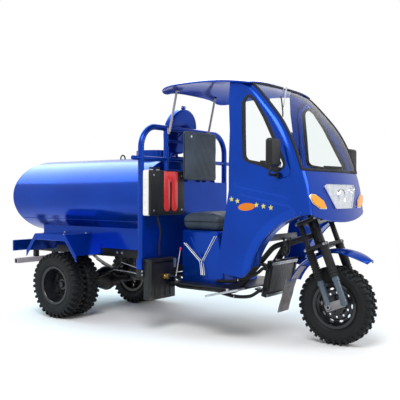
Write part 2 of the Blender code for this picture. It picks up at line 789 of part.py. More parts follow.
def make_wheels(materials, bodies):
    front = BODY_ORIGINS["front_wheel"]
    settle(tyre(front), "front_tyre", materials["rubber"], "front_wheel", bodies)
    settle(front_rim(front), "front_rim", materials["rim"], "front_wheel", bodies)
    for side, sign in SIDES:
        body = "rear_wheels_" + side
        centre = BODY_ORIGINS[body]
        settle(rear_rim(centre, sign), "rear_rim_" + side, materials["rim"], body, bodies)
        for place, shift in (("outer", TWIN_SPACING / 2), ("inner", -TWIN_SPACING / 2)):
            spot = centre + Vector((0, sign * shift, 0))
            settle(tyre(spot), "rear_tyre_" + place + "_" + side, materials["rubber"], body, bodies)


def chassis_rail(sign):
    low_z = RAIL_TOP_Z - RAIL_DEPTH
    inner = sign * RAIL_Y - RAIL_WIDTH / 2
    rail = block((RAIL_REAR_X, inner, low_z), (RAIL_FRONT_X, inner + RAIL_WIDTH, RAIL_TOP_Z))
    return rail


def front_frame_tube(sign, clearance=0):
    """One of the two round tubes that drop under the driver and rise to the steering head."""
    start_z = RAIL_TOP_Z - RAIL_DEPTH / 2
    head_side = FRONT_TUBE_R + JOIN_DEPTH / 2
    end = HEAD_CENTRE - HEAD_FORWARD * (HEAD_R / 2)
    corners = [
        (RAIL_FRONT_X - RAIL_DEPTH, sign * RAIL_Y, start_z),
        (RAIL_FRONT_X - RAIL_DEPTH / 4, sign * RAIL_Y, start_z),
        (FRONT_TUBE_DROP_X, sign * RAIL_Y, FRONT_TUBE_LOW_Z),
        (FRONT_TUBE_RISE_X, sign * RAIL_Y, FRONT_TUBE_LOW_Z),
        (FRONT_TUBE_SHOULDER_X, sign * FRONT_TUBE_SHOULDER_Y, FRONT_TUBE_SHOULDER_Z),
        (end.x, sign * head_side, end.z),
    ]
    return tube(rounded_path(corners, FRONT_TUBE_BEND_R, 3), FRONT_TUBE_R + clearance)


def steering_head():
    low = HEAD_CENTRE - HEAD_UP * HEAD_HALF
    high = HEAD_CENTRE + HEAD_UP * HEAD_HALF
    return rod(low, high, HEAD_R, 16)


def steering_head_bore():
    reach = HEAD_HALF + OVERRUN
    bore = STEM_R + RUNNING_GAP
    return rod(HEAD_CENTRE - HEAD_UP * reach, HEAD_CENTRE + HEAD_UP * reach, bore, 24)


def chassis_frame():
    """Ladder rails behind, twin tubes in front, cross members and the beam under the hoop."""
    low_z = RAIL_TOP_Z - RAIL_DEPTH
    frame = chassis_rail(-1)
    fuse(frame, chassis_rail(1))
    for station in CROSS_STATIONS:
        reach = RAIL_Y + RAIL_WIDTH / 4
        low = (station - CROSS_WIDTH / 2, -reach, low_z + JOIN_DEPTH)
        high = (station + CROSS_WIDTH / 2, reach, RAIL_TOP_Z - JOIN_DEPTH)
        fuse(frame, block(low, high))
    beam_low = POST_BEAM_TOP_Z - POST_BEAM_DEPTH
    beam_rear = HOOP_X - HOOP_R - JOIN_DEPTH
    fuse(frame, block((beam_rear, -POST_BEAM_HALF, beam_low), (beam_front_x(), POST_BEAM_HALF, POST_BEAM_TOP_Z)))
    for side, sign in SIDES:
        fuse(frame, beam_drop(sign, beam_low, low_z))
        fuse(frame, front_frame_tube(sign))
        fuse(frame, spring_hangers(sign, 1), spring_hangers(sign, -1))
        fuse(frame, bar_bracket(sign))
        fuse(frame, outrigger(sign))
    fuse(frame, steering_head())
    cut(frame, steering_head_bore())
    return frame


def beam_front_x():
    return HOOP_X + HOOP_R + SEAT_GAP + BULKHEAD_SHEET


def beam_drop(sign, beam_low, rail_low):
    inner = sign * RAIL_Y - RAIL_WIDTH / 2 + JOIN_DEPTH / 2
    rear = HOOP_X - HOOP_R
    return block((rear, inner, beam_low + JOIN_DEPTH),
                 (HOOP_X + HOOP_R - JOIN_DEPTH, inner + RAIL_WIDTH - JOIN_DEPTH, rail_low + JOIN_DEPTH))


def spring_eye_z():
    return AXLE_Z + AXLE_TUBE_R + SPRING_CAMBER


def spring_hangers(sign, end):
    """The bracket under the rail that a spring's end bears against."""
    x = end * SPRING_SPAN / 2
    inner = sign * RAIL_Y - RAIL_WIDTH / 2 + JOIN_DEPTH / 2
    low = spring_eye_z() + SEAT_GAP
    high = RAIL_TOP_Z - RAIL_DEPTH + JOIN_DEPTH
    return block((x - HANGER_LENGTH / 2, inner, low), (x + HANGER_LENGTH / 2, inner + RAIL_WIDTH - JOIN_DEPTH, high))


def bar_bracket(sign):
    inner = sign * RAIL_Y - RAIL_WIDTH / 2 + JOIN_DEPTH / 2
    low = REAR_BAR_Z + BAR_TUBE / 2 + SEAT_GAP
    high = RAIL_TOP_Z - RAIL_DEPTH + JOIN_DEPTH
    return block((RAIL_REAR_X + JOIN_DEPTH, inner, low),
                 (RAIL_REAR_X + CROSS_WIDTH, inner + RAIL_WIDTH - JOIN_DEPTH, high))


def outrigger(sign):
    """The side arm that the cab's side panel is bolted to."""
    x = FRONT_TUBE_RISE_X + (FRONT_TUBE_SHOULDER_X - FRONT_TUBE_RISE_X) * OUTRIGGER_SHARE
    z = FRONT_TUBE_LOW_Z + (FRONT_TUBE_SHOULDER_Z - FRONT_TUBE_LOW_Z) * OUTRIGGER_SHARE
    inner_face = CAB_HALF - CAB_SHEET - SEAT_GAP
    near = RAIL_Y + (FRONT_TUBE_SHOULDER_Y - RAIL_Y) * OUTRIGGER_SHARE - FRONT_TUBE_R / 2
    return rod((x, sign * near, z), (x, sign * inner_face, z), OUTRIGGER_R)


def leaf_spring(sign):
    """Stacked leaves bent in one arc, flat across the axle and tipped up to the rail."""
    half = SPRING_SPAN / 2
    base = AXLE_Z + AXLE_TUBE_R - JOIN_DEPTH
    rise = spring_eye_z() - SPRING_THICKNESS - base
    steps = 8
    stations = [half * (2 * step / steps - 1) for step in range(steps + 1)]
    low = [(x, base + rise * (x / half) ** 2) for x in stations]
    high = [(x, z + SPRING_THICKNESS) for x, z in reversed(low)]
    return prism("y", low + high, sign * RAIL_Y - SPRING_WIDTH / 2, sign * RAIL_Y + SPRING_WIDTH / 2)


def rear_axle():
    """Axle housing with its differential, drive shaft stubs and leaf springs."""
    axle = rod((0, -AXLE_TUBE_HALF, AXLE_Z), (0, AXLE_TUBE_HALF, AXLE_Z), AXLE_TUBE_R, 16)
    bulge = [(0, -DIFF_WIDTH), (AXLE_TUBE_R + JOIN_DEPTH, -DIFF_WIDTH), (DIFF_R, -DIFF_WIDTH / 4),
             (DIFF_R, DIFF_WIDTH / 4), (AXLE_TUBE_R + JOIN_DEPTH, DIFF_WIDTH), (0, DIFF_WIDTH)]
    fuse(axle, turned_solid(bulge, (0, 0, AXLE_Z), (0, 1, 0), 18))
    stub_reach = TWIN_CENTRE_Y + REAR_HUB_OUTER - JOIN_DEPTH
    fuse(axle, rod((0, -stub_reach, AXLE_Z), (0, stub_reach, AXLE_Z), REAR_STUB_R, 16))
    nose = DIFF_R + SHAFT_YOKE / 2
    fuse(axle, rod((0, 0, AXLE_Z), (nose, 0, AXLE_Z), SHAFT_YOKE_R + JOIN_DEPTH, 12))
    fuse(axle, leaf_spring(-1), leaf_spring(1))
    return axle


def turned_solid(profile, centre, axis, segments):
    """Spins an open profile whose two ends lie on the axis, which makes a solid without a bore."""
    axis = Vector(axis).normalized()
    side = axis.orthogonal().normalized()
    centre = Vector(centre)
    work = bmesh.new()
    line = [work.verts.new(centre + side * radius + axis * along) for radius, along in profile]
    edges = [work.edges.new(pair) for pair in zip(line, line[1:])]
    bmesh.ops.spin(work, geom=line + edges, cent=centre, axis=axis, angle=2 * math.pi, steps=segments,
                   use_merge=True)
    bmesh.ops.remove_doubles(work, verts=work.verts, dist=SEAT_GAP / 10)
    return object_from(work, "turned_solid")


def drive_shaft():
    start = Vector((DIFF_R + SHAFT_YOKE / 2 + SEAT_GAP, 0, AXLE_Z))
    engine_rear = ENGINE_CENTRE_X - ENGINE_LENGTH / 2
    end = Vector((engine_rear - SEAT_GAP, 0, (ENGINE_LOW_Z + ENGINE_HIGH_Z) / 2 - SHAFT_YOKE * 1.6))
    run = (end - start).normalized()
    shaft = rod(start + run * SHAFT_YOKE / 2, end - run * SHAFT_YOKE / 2, SHAFT_R)
    fuse(shaft, rod(start, start + Vector((SHAFT_YOKE, 0, 0)), SHAFT_YOKE_R))
    fuse(shaft, rod(end - Vector((SHAFT_YOKE, 0, 0)), end, SHAFT_YOKE_R))
    return shaft


def engine_block():
    """The engine and gearbox, closed in by the seat tub, as one plain block on the frame tubes."""
    low = (ENGINE_CENTRE_X - ENGINE_LENGTH / 2, -ENGINE_WIDTH / 2, ENGINE_LOW_Z)
    high = (ENGINE_CENTRE_X + ENGINE_LENGTH / 2, ENGINE_WIDTH / 2, ENGINE_HIGH_Z)
    engine = eased(block(low, high), RAIL_WIDTH / 2, 1)
    lug_inner = RAIL_Y - FRONT_TUBE_R - SEAT_GAP
    lug_half = RAIL_WIDTH / 2
    fuse(engine, block((ENGINE_CENTRE_X - lug_half, -lug_inner, FRONT_TUBE_LOW_Z - lug_half / 2),
                       (ENGINE_CENTRE_X + lug_half, lug_inner, FRONT_TUBE_LOW_Z + lug_half / 4)))
    return engine


def exhaust():
    """Pipe from the engine back to a round silencer under the tray."""
    engine_rear = ENGINE_CENTRE_X - ENGINE_LENGTH / 2
    pipe_z = ENGINE_LOW_Z + PIPE_R * 1.4
    start = (engine_rear - SEAT_GAP, MUFFLER_Y, pipe_z)
    front = MUFFLER_X + MUFFLER_LENGTH / 2
    rear = MUFFLER_X - MUFFLER_LENGTH / 2
    silencer = eased(rod((rear, MUFFLER_Y, MUFFLER_Z), (front, MUFFLER_Y, MUFFLER_Z), MUFFLER_R, 16),
                     MUFFLER_R / 5, 1)
    corners = [start, (front + MUFFLER_R * 2, MUFFLER_Y, pipe_z),
               (front + MUFFLER_R, MUFFLER_Y, MUFFLER_Z), (front - PIPE_R, MUFFLER_Y, MUFFLER_Z)]
    fuse(silencer, tube(rounded_path(corners, MUFFLER_R, 3), PIPE_R))
    tail = [(rear + PIPE_R, MUFFLER_Y, MUFFLER_Z), (rear - MUFFLER_R * 2, MUFFLER_Y, MUFFLER_Z)]
    fuse(silencer, tube([Vector(point) for point in tail], PIPE_R * 0.8))
    inner = MUFFLER_Y - RAIL_WIDTH / 2
    hanger_high = RAIL_TOP_Z - RAIL_DEPTH + JOIN_DEPTH - SEAT_GAP
    station = CROSS_STATIONS[-1]
    fuse(silencer, block((station + CROSS_WIDTH / 2 - RAIL_WIDTH / 2, inner, MUFFLER_Z),
                         (station + CROSS_WIDTH / 2 + PIPE_R, inner + RAIL_WIDTH, hanger_high)))
    return silencer


def tank_outline(clearance, steps):
    wide = TANK_HALF_WIDTH + clearance
    tall = TANK_HALF_HEIGHT + clearance
    angles = [2 * math.pi * (step + 0.5) / steps for step in range(steps)]
    return [(wide * math.cos(angle), TANK_CENTRE_Z + tall * math.sin(angle)) for angle in angles]


def tank_shell():
    """The elliptical barrel: rolled shell with a standing rim and a dished head at each end."""
    shell = prism("x", tank_outline(0, TANK_SEGMENTS), TANK_REAR_X, TANK_FRONT_X)
    work = bmesh.new()
    work.from_mesh(shell.data)
    heads = [face for face in work.faces if abs(face.normal.x) > 0.99]
    bmesh.ops.inset_region(work, faces=heads, thickness=TANK_RIM, use_even_offset=True)
    for depth_share, inset_share in ((0.35, 0.0), (0.75, 0.2), (1.0, 0.35)):
        sink_heads(work, heads, depth_share, inset_share)
    work.to_mesh(shell.data)
    work.free()
    return shell


def sink_heads(work, heads, depth_share, inset_share):
    """Pushes the heads in to a share of the dish, drawn in towards the middle by another share."""
    if inset_share:
        bmesh.ops.inset_region(work, faces=heads, thickness=TANK_HALF_HEIGHT * inset_share, use_even_offset=True)
    for head in heads:
        end_x = TANK_FRONT_X if head.normal.x > 0 else TANK_REAR_X
        inward = -1 if head.normal.x > 0 else 1
        for corner in head.verts:
            corner.co.x = end_x + inward * (TANK_RIM - TANK_DISH * (depth_share - 0.35))


def lifting_eye(x):
    steps = 8
    ring = [Vector((x, EYE_R * math.cos(math.pi * step / steps), TANK_TOP_Z - EYE_ROD_R + EYE_R * 1.4
                    * math.sin(math.pi * step / steps))) for step in range(steps + 1)]
    feet = [Vector((x, EYE_R, TANK_TOP_Z - EYE_R)), Vector((x, -EYE_R, TANK_TOP_Z - EYE_R))]
    return tube([feet[0], *ring, feet[1]], EYE_ROD_R, 1)


def manhole_neck():
    low = TANK_CENTRE_Z
    return rod((NECK_X, 0, low), (NECK_X, 0, NECK_TOP_Z), NECK_R, NECK_SEGMENTS)


def manhole_well():
    radius = NECK_R - NECK_WALL
    return rod((NECK_X, 0, WELL_FLOOR_Z), (NECK_X, 0, NECK_TOP_Z + OVERRUN), radius, NECK_SEGMENTS)


def hinge_ears():
    """Two cheeks on the neck that hold the lid's pin."""
    ears = []
    rear = NECK_X + NECK_R - JOIN_DEPTH
    foot = TANK_TOP_Z - HINGE_KNUCKLE_R * 2
    reach = LID_HINGE_X + HINGE_KNUCKLE_R
    top = LID_HINGE_Z + HINGE_PIN_R * 1.2
    for side in (-1, 1):
        inner = HINGE_KNUCKLE_HALF + RUNNING_GAP
        span = sorted((side * inner, side * (inner + HINGE_EAR_WIDTH)))
        ear_rear = LID_HINGE_X - HINGE_PIN_R - NECK_WALL
        ears.append(block((ear_rear, span[0], foot), (reach, span[1], top)))
    ears.append(block((rear, -HINGE_KNUCKLE_HALF - HINGE_EAR_WIDTH, foot),
                      (reach, HINGE_KNUCKLE_HALF + HINGE_EAR_WIDTH, LID_HINGE_Z - HINGE_KNUCKLE_R * 1.4)))
    return ears


def hinge_pin_hole():
    half = HINGE_KNUCKLE_HALF + HINGE_EAR_WIDTH + OVERRUN
    return rod((LID_HINGE_X, -half, LID_HINGE_Z), (LID_HINGE_X, half, LID_HINGE_Z), HINGE_PIN_R + RUNNING_GAP, 12)


def outlet():
    """Flanged drain pipe low on the rear head."""
    root = (TANK_REAR_X + TANK_DISH + TANK_RIM, 0, OUTLET_Z)
    tip = TANK_REAR_X - OUTLET_REACH
    pipe = rod(root, (tip, 0, OUTLET_Z), OUTLET_R, 16)
    fuse(pipe, rod((tip, 0, OUTLET_Z), (tip + OUTLET_FLANGE, 0, OUTLET_Z), OUTLET_FLANGE_R, 16))
    return pipe


def tank():
    shell = tank_shell()
    fuse(shell, manhole_neck())
    fuse(shell, lifting_eye(EYE_X))
    fuse(shell, *hinge_ears())
    fuse(shell, outlet())
    cut(shell, manhole_well())
    cut(shell, hinge_pin_hole())
    return shell


def tank_lid():
    """The dished manhole lid with its skirt, built closed and stood open on its hinge."""
    low = LID_HINGE_Z
    high = low + LID_DEPTH
    inner = LID_R - LID_SKIRT
    profile = [(0, high), (LID_R - LID_PLATE, high), (LID_R, high - LID_PLATE), (LID_R, low), (inner, low),
               (inner, high - LID_PLATE), (0, high - LID_PLATE)]
    lid = turned_solid(profile, (NECK_X, 0, 0), (0, 0, 1), NECK_SEGMENTS)
    pin_half = HINGE_KNUCKLE_HALF + HINGE_EAR_WIDTH
    arm_rear = NECK_X + LID_R - LID_SKIRT / 2
    fuse(lid, block((arm_rear, -HINGE_KNUCKLE_HALF, low), (LID_HINGE_X, HINGE_KNUCKLE_HALF, low + HINGE_KNUCKLE_R)))
    fuse(lid, rod((LID_HINGE_X, -HINGE_KNUCKLE_HALF, low), (LID_HINGE_X, HINGE_KNUCKLE_HALF, low), HINGE_KNUCKLE_R))
    fuse(lid, rod((LID_HINGE_X, -pin_half, low), (LID_HINGE_X, pin_half, low), HINGE_PIN_R))
    far = NECK_X - LID_R
    fuse(lid, latch_plate(far, low))
    opening = math.pi / 2 + LID_LEAN
    turn = Matrix.Rotation(opening, 4, "Y")
    about = Matrix.Translation(BODY_ORIGINS["tank_lid"])
    lid.data.transform(about @ turn @ about.inverted())
    return lid


def latch_plate(far, low):
    """The small plate with a hole, on the edge opposite the hinge."""
    width = EYE_R
    plate = block((far - width, -width, low + LID_PLATE), (far + LID_SKIRT, width, low + LID_PLATE * 2))
    for side in (-1, 1):
        hole = rod((far - width / 2, side * width / 2, low), (far - width / 2, side * width / 2, low + LID_PLATE * 3),
                   width / 4, 8)
        cut(plate, hole)
    return plate


def tank_tray():
    """Shallow steel tray on the rails, with two long cheeks that the barrel sits on."""
    floor_low = RAIL_TOP_Z + SEAT_GAP
    outer = TRAY_Y
    inner = TRAY_Y - TRAY_SHEET
    tray = block((TRAY_REAR_X, -outer, floor_low), (TRAY_FRONT_X, outer, floor_low + TRAY_FLOOR))
    for side in (-1, 1):
        span = sorted((side * inner, side * outer))
        fuse(tray, block((TRAY_REAR_X, span[0], floor_low), (TRAY_FRONT_X, span[1], TRAY_TOP_Z)))
    for station in TRAY_RIB_STATIONS:
        low = (station, -inner - TRAY_SHEET / 2, floor_low + TRAY_FLOOR / 2)
        high = (station + TRAY_SHEET, inner + TRAY_SHEET / 2, TRAY_TOP_Z - TRAY_SHEET)
        fuse(tray, block(low, high))
    cut(tray, prism("x", tank_outline(SEAT_GAP, TANK_SEGMENTS), TRAY_REAR_X - OVERRUN, TRAY_FRONT_X + OVERRUN))
    return tray


def fender(sign):
    """Folded sheet over the twin wheels with a turned-down outer lip."""
    outline = [(FENDER_REAR_X, FENDER_REAR_Z), (FENDER_TOP_REAR_X, FENDER_TOP_Z),
               (FENDER_TOP_FRONT_X, FENDER_TOP_Z), (FENDER_FRONT_X, FENDER_FRONT_Z)]
    inner = [(FENDER_FRONT_X - FENDER_SHEET * 1.3, FENDER_FRONT_Z - FENDER_SHEET / 2),
             (FENDER_TOP_FRONT_X - FENDER_SHEET / 2, FENDER_TOP_Z - FENDER_SHEET),
             (FENDER_TOP_REAR_X + FENDER_SHEET / 2, FENDER_TOP_Z - FENDER_SHEET),
             (FENDER_REAR_X + FENDER_SHEET * 1.3, FENDER_REAR_Z - FENDER_SHEET / 2)]
    near = sign * (TRAY_Y + SEAT_GAP)
    far = sign * FENDER_OUTER_Y
    span = sorted((near, far))
    top = prism("y", outline + inner, span[0], span[1])
    lip_low = [(x, z - FENDER_LIP) for x, z in reversed(outline)]
    lip_span = sorted((far, far - sign * FENDER_SHEET))
    fuse(top, prism("y", outline + lip_low, lip_span[0], lip_span[1]))
    root_span = sorted((near, near + sign * FENDER_SHEET))
    root_low = [(x, z - FENDER_LIP / 2) for x, z in reversed(outline)]
    fuse(top, prism("y", outline + root_low, root_span[0], root_span[1]))
    return top


def rear_board():
    rear = RAIL_REAR_X - SEAT_GAP
    high = BOARD_LOW_Z + BOARD_HEIGHT
    board = block((rear - BOARD_SHEET, -BOARD_HALF, BOARD_LOW_Z), (rear, BOARD_HALF, high))
    return eased(board, BOARD_SHEET / 5, 1)


def tail_lamp(sign):
    face = RAIL_REAR_X - SEAT_GAP * 2 - BOARD_SHEET
    middle_z = BOARD_LOW_Z + BOARD_HEIGHT / 2
    span = sorted((sign * (LAMP_Y - LAMP_WIDTH / 2), sign * (LAMP_Y + LAMP_WIDTH / 2)))
    lamp = block((face - LAMP_DEPTH, span[0], middle_z - LAMP_HEIGHT / 2), (face, span[1], middle_z + LAMP_HEIGHT / 2))
    return eased(lamp, LAMP_DEPTH / 3, 1)


def rear_bar():
    """Square bumper tube under the rails, with an end plug let into each end."""
    half = BAR_TUBE / 2
    low = (REAR_BAR_X - half, -REAR_BAR_HALF, REAR_BAR_Z - half)
    high = (REAR_BAR_X + half, REAR_BAR_HALF, REAR_BAR_Z + half)
    bar = eased(block(low, high), BAR_TUBE / 10, 1)
    wall = BAR_TUBE / 8
    for sign in (-1, 1):
        span = sorted((sign * (REAR_BAR_HALF - BAR_PLUG), sign * (REAR_BAR_HALF + OVERRUN)))
        cut(bar, block((REAR_BAR_X - half + wall, span[0], REAR_BAR_Z - half + wall),
                       (REAR_BAR_X + half - wall, span[1], REAR_BAR_Z + half - wall)))
    return bar


def guard_hoop():
    """Bent tube frame behind the driver, with its rails, posts and the small panel between them."""
    foot = POST_BEAM_TOP_Z + SEAT_GAP
    corners = [(HOOP_X, -HOOP_HALF, foot), (HOOP_X, -HOOP_HALF, HOOP_TOP_Z), (HOOP_X, HOOP_HALF, HOOP_TOP_Z),
               (HOOP_X, HOOP_HALF, foot)]
    hoop = tube(rounded_path(corners, HOOP_BEND_R, 5), HOOP_R, HOOP_SIDES_RESOLUTION)
    fuse(hoop, rod((HOOP_X, -MID_RAIL_HALF, MID_RAIL_Z), (HOOP_X, MID_RAIL_HALF, MID_RAIL_Z), MID_RAIL_R))
    panel_foot = BULKHEAD_TOP_Z - HOOP_R
    for y in (-INNER_POST_Y, 0, INNER_POST_Y):
        fuse(hoop, rod((HOOP_X, y, panel_foot), (HOOP_X, y, HOOP_TOP_Z), INNER_POST_R))
    fuse(hoop, rod((HOOP_X, -HOOP_HALF, panel_foot), (HOOP_X, HOOP_HALF, panel_foot), MID_RAIL_R))
    fuse(hoop, block((HOOP_X - BULKHEAD_SHEET / 2, -INNER_POST_Y, BULKHEAD_TOP_Z - HOOP_R / 2),
                     (HOOP_X + BULKHEAD_SHEET / 2, 0, PANEL_HIGH_Z)))
    for side, sign in SIDES:
        span = sorted((sign * POLE_Y - PAD_WIDTH / 2, sign * POLE_Y + PAD_WIDTH / 2))
        fuse(hoop, block((HOOP_X, span[0], HOOP_TOP_Z - PAD_HEIGHT), (HOOP_X + PAD_DEPTH, span[1], HOOP_TOP_Z)))
        for z in BACKREST_STUB_Z:
            y = sign * BACKREST_HALF / 2
            fuse(hoop, rod((HOOP_X, y, z), (BACKREST_X - SEAT_GAP, y, z), POLE_R))
    for z in BACKREST_STUB_Z:
        fuse(hoop, rod((HOOP_X, -INNER_POST_Y, z), (HOOP_X, INNER_POST_Y, z), POLE_R * 1.4))
    return hoop


def bulkhead():
    """The sheet wall behind the driver, standing on the beam."""
    rear = HOOP_X + HOOP_R + SEAT_GAP
    low = POST_BEAM_TOP_Z + SEAT_GAP
    wall = block((rear, -BULKHEAD_HALF, low), (rear + BULKHEAD_SHEET, BULKHEAD_HALF, BULKHEAD_TOP_Z))
    return cut(wall, front_frame_tube(-1, JOIN_DEPTH), front_frame_tube(1, JOIN_DEPTH))


def bulkhead_face_x():
    return HOOP_X + HOOP_R + SEAT_GAP * 2 + BULKHEAD_SHEET


def canister():
    """The white body of the water canister with two filler caps on top."""
    face = bulkhead_face_x()
    right = CANISTER_LEFT_Y - CANISTER_WIDTH
    top = CANISTER_LOW_Z + CANISTER_HEIGHT
    body = block((face, right, CANISTER_LOW_Z), (face + CANISTER_DEPTH, CANISTER_LEFT_Y, top))
    eased(body, CANISTER_BEVEL)
    x = face + CANISTER_DEPTH / 2
    for y in (right + CAP_INSET, right + CAP_INSET * 2):
        fuse(body, rod((x, y, top - CAP_HEIGHT / 2), (x, y, top + CAP_HEIGHT), CAP_R))
    return body


def canister_cover():
    """Black front cover of the canister, with the two-pronged raised stripe."""
    face = bulkhead_face_x() + CANISTER_DEPTH + SEAT_GAP
    right = CANISTER_LEFT_Y - CANISTER_WIDTH
    top = CANISTER_LOW_Z + CANISTER_HEIGHT
    low = (face, right + CANISTER_BEVEL, CANISTER_LOW_Z + CANISTER_BEVEL)
    cover = block(low, (face + COVER_DEPTH, CANISTER_LEFT_Y - CANISTER_BEVEL, top - CANISTER_BEVEL))
    eased(cover, CANISTER_BEVEL / 2)
    slot_low = (face + COVER_DEPTH / 2, COVER_STRIPE_Y - COVER_SLOT_WIDTH / 2, CANISTER_LOW_Z + COVER_MARGIN)
    slot_high = (face + COVER_DEPTH + OVERRUN, COVER_STRIPE_Y + COVER_SLOT_WIDTH / 2, CANISTER_LOW_Z + COVER_SLOT_RISE)
    cut(cover, block(slot_low, slot_high))
    return cover


def battery_box():
    """Dark box hung in front of the beam, with the upright strip on its outer edge."""
    face = beam_front_x() + SEAT_GAP
    right = BOX_LEFT_Y - BOX_WIDTH
    box = block((face, right, BOX_LOW_Z), (face + BOX_DEPTH, BOX_LEFT_Y, BOX_HIGH_Z))
    eased(box, BOX_BEVEL, 1)
    strip = block((face + BOX_DEPTH / 2, right - BAR_STRIP_DEPTH, BOX_LOW_Z),
                  (face + BOX_DEPTH + BAR_STRIP_DEPTH, right + BAR_STRIP_WIDTH / 2, BOX_HIGH_Z))
    return fuse(box, strip)


def water_valve():
    """Brass valve on the box face with the bent operating rod."""
    face = beam_front_x() + SEAT_GAP * 2 + BOX_DEPTH
    middle = face + VALVE_R
    valve = rod((face, VALVE_Y, VALVE_Z), (face + VALVE_R * 2.5, VALVE_Y, VALVE_Z), VALVE_R, 8)
    fuse(valve, rod((middle, VALVE_Y - VALVE_LENGTH / 2, VALVE_Z), (middle, VALVE_Y + VALVE_LENGTH / 2, VALVE_Z),
                    VALVE_R * 0.8, 8))
    corners = [(middle, VALVE_Y, VALVE_Z), (middle, LEVER_FOOT_Y, VALVE_Z - VALVE_R), (middle, LEVER_TOP_Y, LEVER_TOP_Z)]
    fuse(valve, tube(rounded_path(corners, VALVE_R, 3), LEVER_R, 2))
    return valve


def floor_pan():
    """Driver's floor on the frame tubes, open under the seat for the engine, with a rib round its edge."""
    low = FLOOR_Z - FLOOR_SHEET
    pan = block((FLOOR_REAR_X, -FLOOR_HALF, low), (FLOOR_FRONT_X, FLOOR_HALF, FLOOR_Z))
    inner = TUB_HALF - TUB_SHEET * 2
    cut(pan, block((TUB_REAR_X + TUB_SHEET * 2, -inner, low - OVERRUN),
                   (TUB_FRONT_X - TUB_SHEET * 2, inner, FLOOR_Z + OVERRUN)))
    for sign in (-1, 1):
        rest_low = FRONT_TUBE_LOW_Z + FRONT_TUBE_R / 2
        inner = sign * RAIL_Y - RAIL_WIDTH / 2
        fuse(pan, block((TUB_REAR_X + RAIL_DEPTH, inner, rest_low), (FRONT_TUBE_RISE_X - RAIL_DEPTH,
                                                                   inner + RAIL_WIDTH, FLOOR_Z - FLOOR_SHEET / 2)))
    return cut(pan, front_frame_tube(-1, SEAT_GAP), front_frame_tube(1, SEAT_GAP))


def side_step(sign):
    """Bright folded tread strip under the floor's front corner."""
    rise = STEP_HIGH_Z - STEP_LOW_Z
    outline = [(STEP_REAR_X, STEP_LOW_Z), (STEP_FRONT_X, STEP_HIGH_Z), (STEP_FRONT_X, STEP_HIGH_Z - STEP_SHEET),
               (STEP_REAR_X, STEP_LOW_Z - STEP_SHEET)]
    near = sign * STEP_Y
    span = sorted((near, near + sign * STEP_WIDTH))
    step = prism("y", outline, span[0], span[1])
    hang_x = (STEP_REAR_X + STEP_FRONT_X) / 2
    hang_z = STEP_LOW_Z + rise / 2
    hang_span = sorted((near, near + sign * STEP_SHEET))
    fuse(step, block((hang_x - STEP_SHEET, hang_span[0], hang_z - STEP_SHEET),
                     (hang_x + STEP_SHEET, hang_span[1], FLOOR_Z)))
    return step


def seat_tub():
    """Blue hollow box under the seat, open below over the engine and closed on top under the cushion."""
    low = FLOOR_Z + SEAT_GAP
    front_foot = TUB_FRONT_X + TUB_TOE
    base = low - OVERRUN * 2
    outline = [(TUB_REAR_X, base), (front_foot, base), (front_foot, low), (TUB_FRONT_X, TUB_TOP_Z),
               (TUB_REAR_X, TUB_TOP_Z)]
    tub = eased(prism("y", outline, -TUB_HALF, TUB_HALF), TUB_SHEET * 2, 2)
    wall = TUB_SHEET
    hollow = [(TUB_REAR_X + wall, base), (front_foot - wall, base), (front_foot - wall, low),
              (TUB_FRONT_X - wall, TUB_TOP_Z - wall), (TUB_REAR_X + wall, TUB_TOP_Z - wall)]
    cut(tub, prism("y", hollow, -TUB_HALF + wall, TUB_HALF - wall))
    cut(tub, block((TUB_REAR_X - OVERRUN, -TUB_HALF - OVERRUN, base - OVERRUN),
                   (front_foot + OVERRUN, TUB_HALF + OVERRUN, low)))
    tunnel_top = low + SHAFT_YOKE_R * 4
    cut(tub, block((TUB_REAR_X - OVERRUN, -SHAFT_YOKE_R * 2, low - OVERRUN),
                   (TUB_REAR_X + OVERRUN, SHAFT_YOKE_R * 2, tunnel_top)))
    inset = TUB_SHEET * 2
    for sign in (-1, 1):
        fuse(tub, tub_trim(sign, low, front_foot - inset))
    return tub


def tub_trim(sign, low, front):
    """The forked bright moulding pressed on the tub's side."""
    length = front - TUB_REAR_X
    height = TUB_TOP_Z - low
    path_shares = ((0.22, 0.86), (0.55, 0.40), (0.64, 0.10))
    points = [Vector((TUB_REAR_X + length * along, sign * TUB_HALF, low + height * up)) for along, up in path_shares]
    return tube(points, TUB_SHEET * 0.75, 1)


def seat_cushion():
    low = TUB_TOP_Z + SEAT_GAP
    cushion = block((TUB_REAR_X - CUSHION_BEVEL / 4, -TUB_HALF, low),
                    (TUB_FRONT_X + CUSHION_BEVEL / 2, TUB_HALF, low + CUSHION_THICKNESS))
    return eased(cushion, CUSHION_BEVEL)


def backrest():
    low = (BACKREST_X, -BACKREST_HALF, BACKREST_LOW_Z)
    high = (BACKREST_X + BACKREST_THICKNESS, BACKREST_HALF, BACKREST_LOW_Z + BACKREST_HEIGHT)
    return eased(block(low, high), BACKREST_BEVEL)


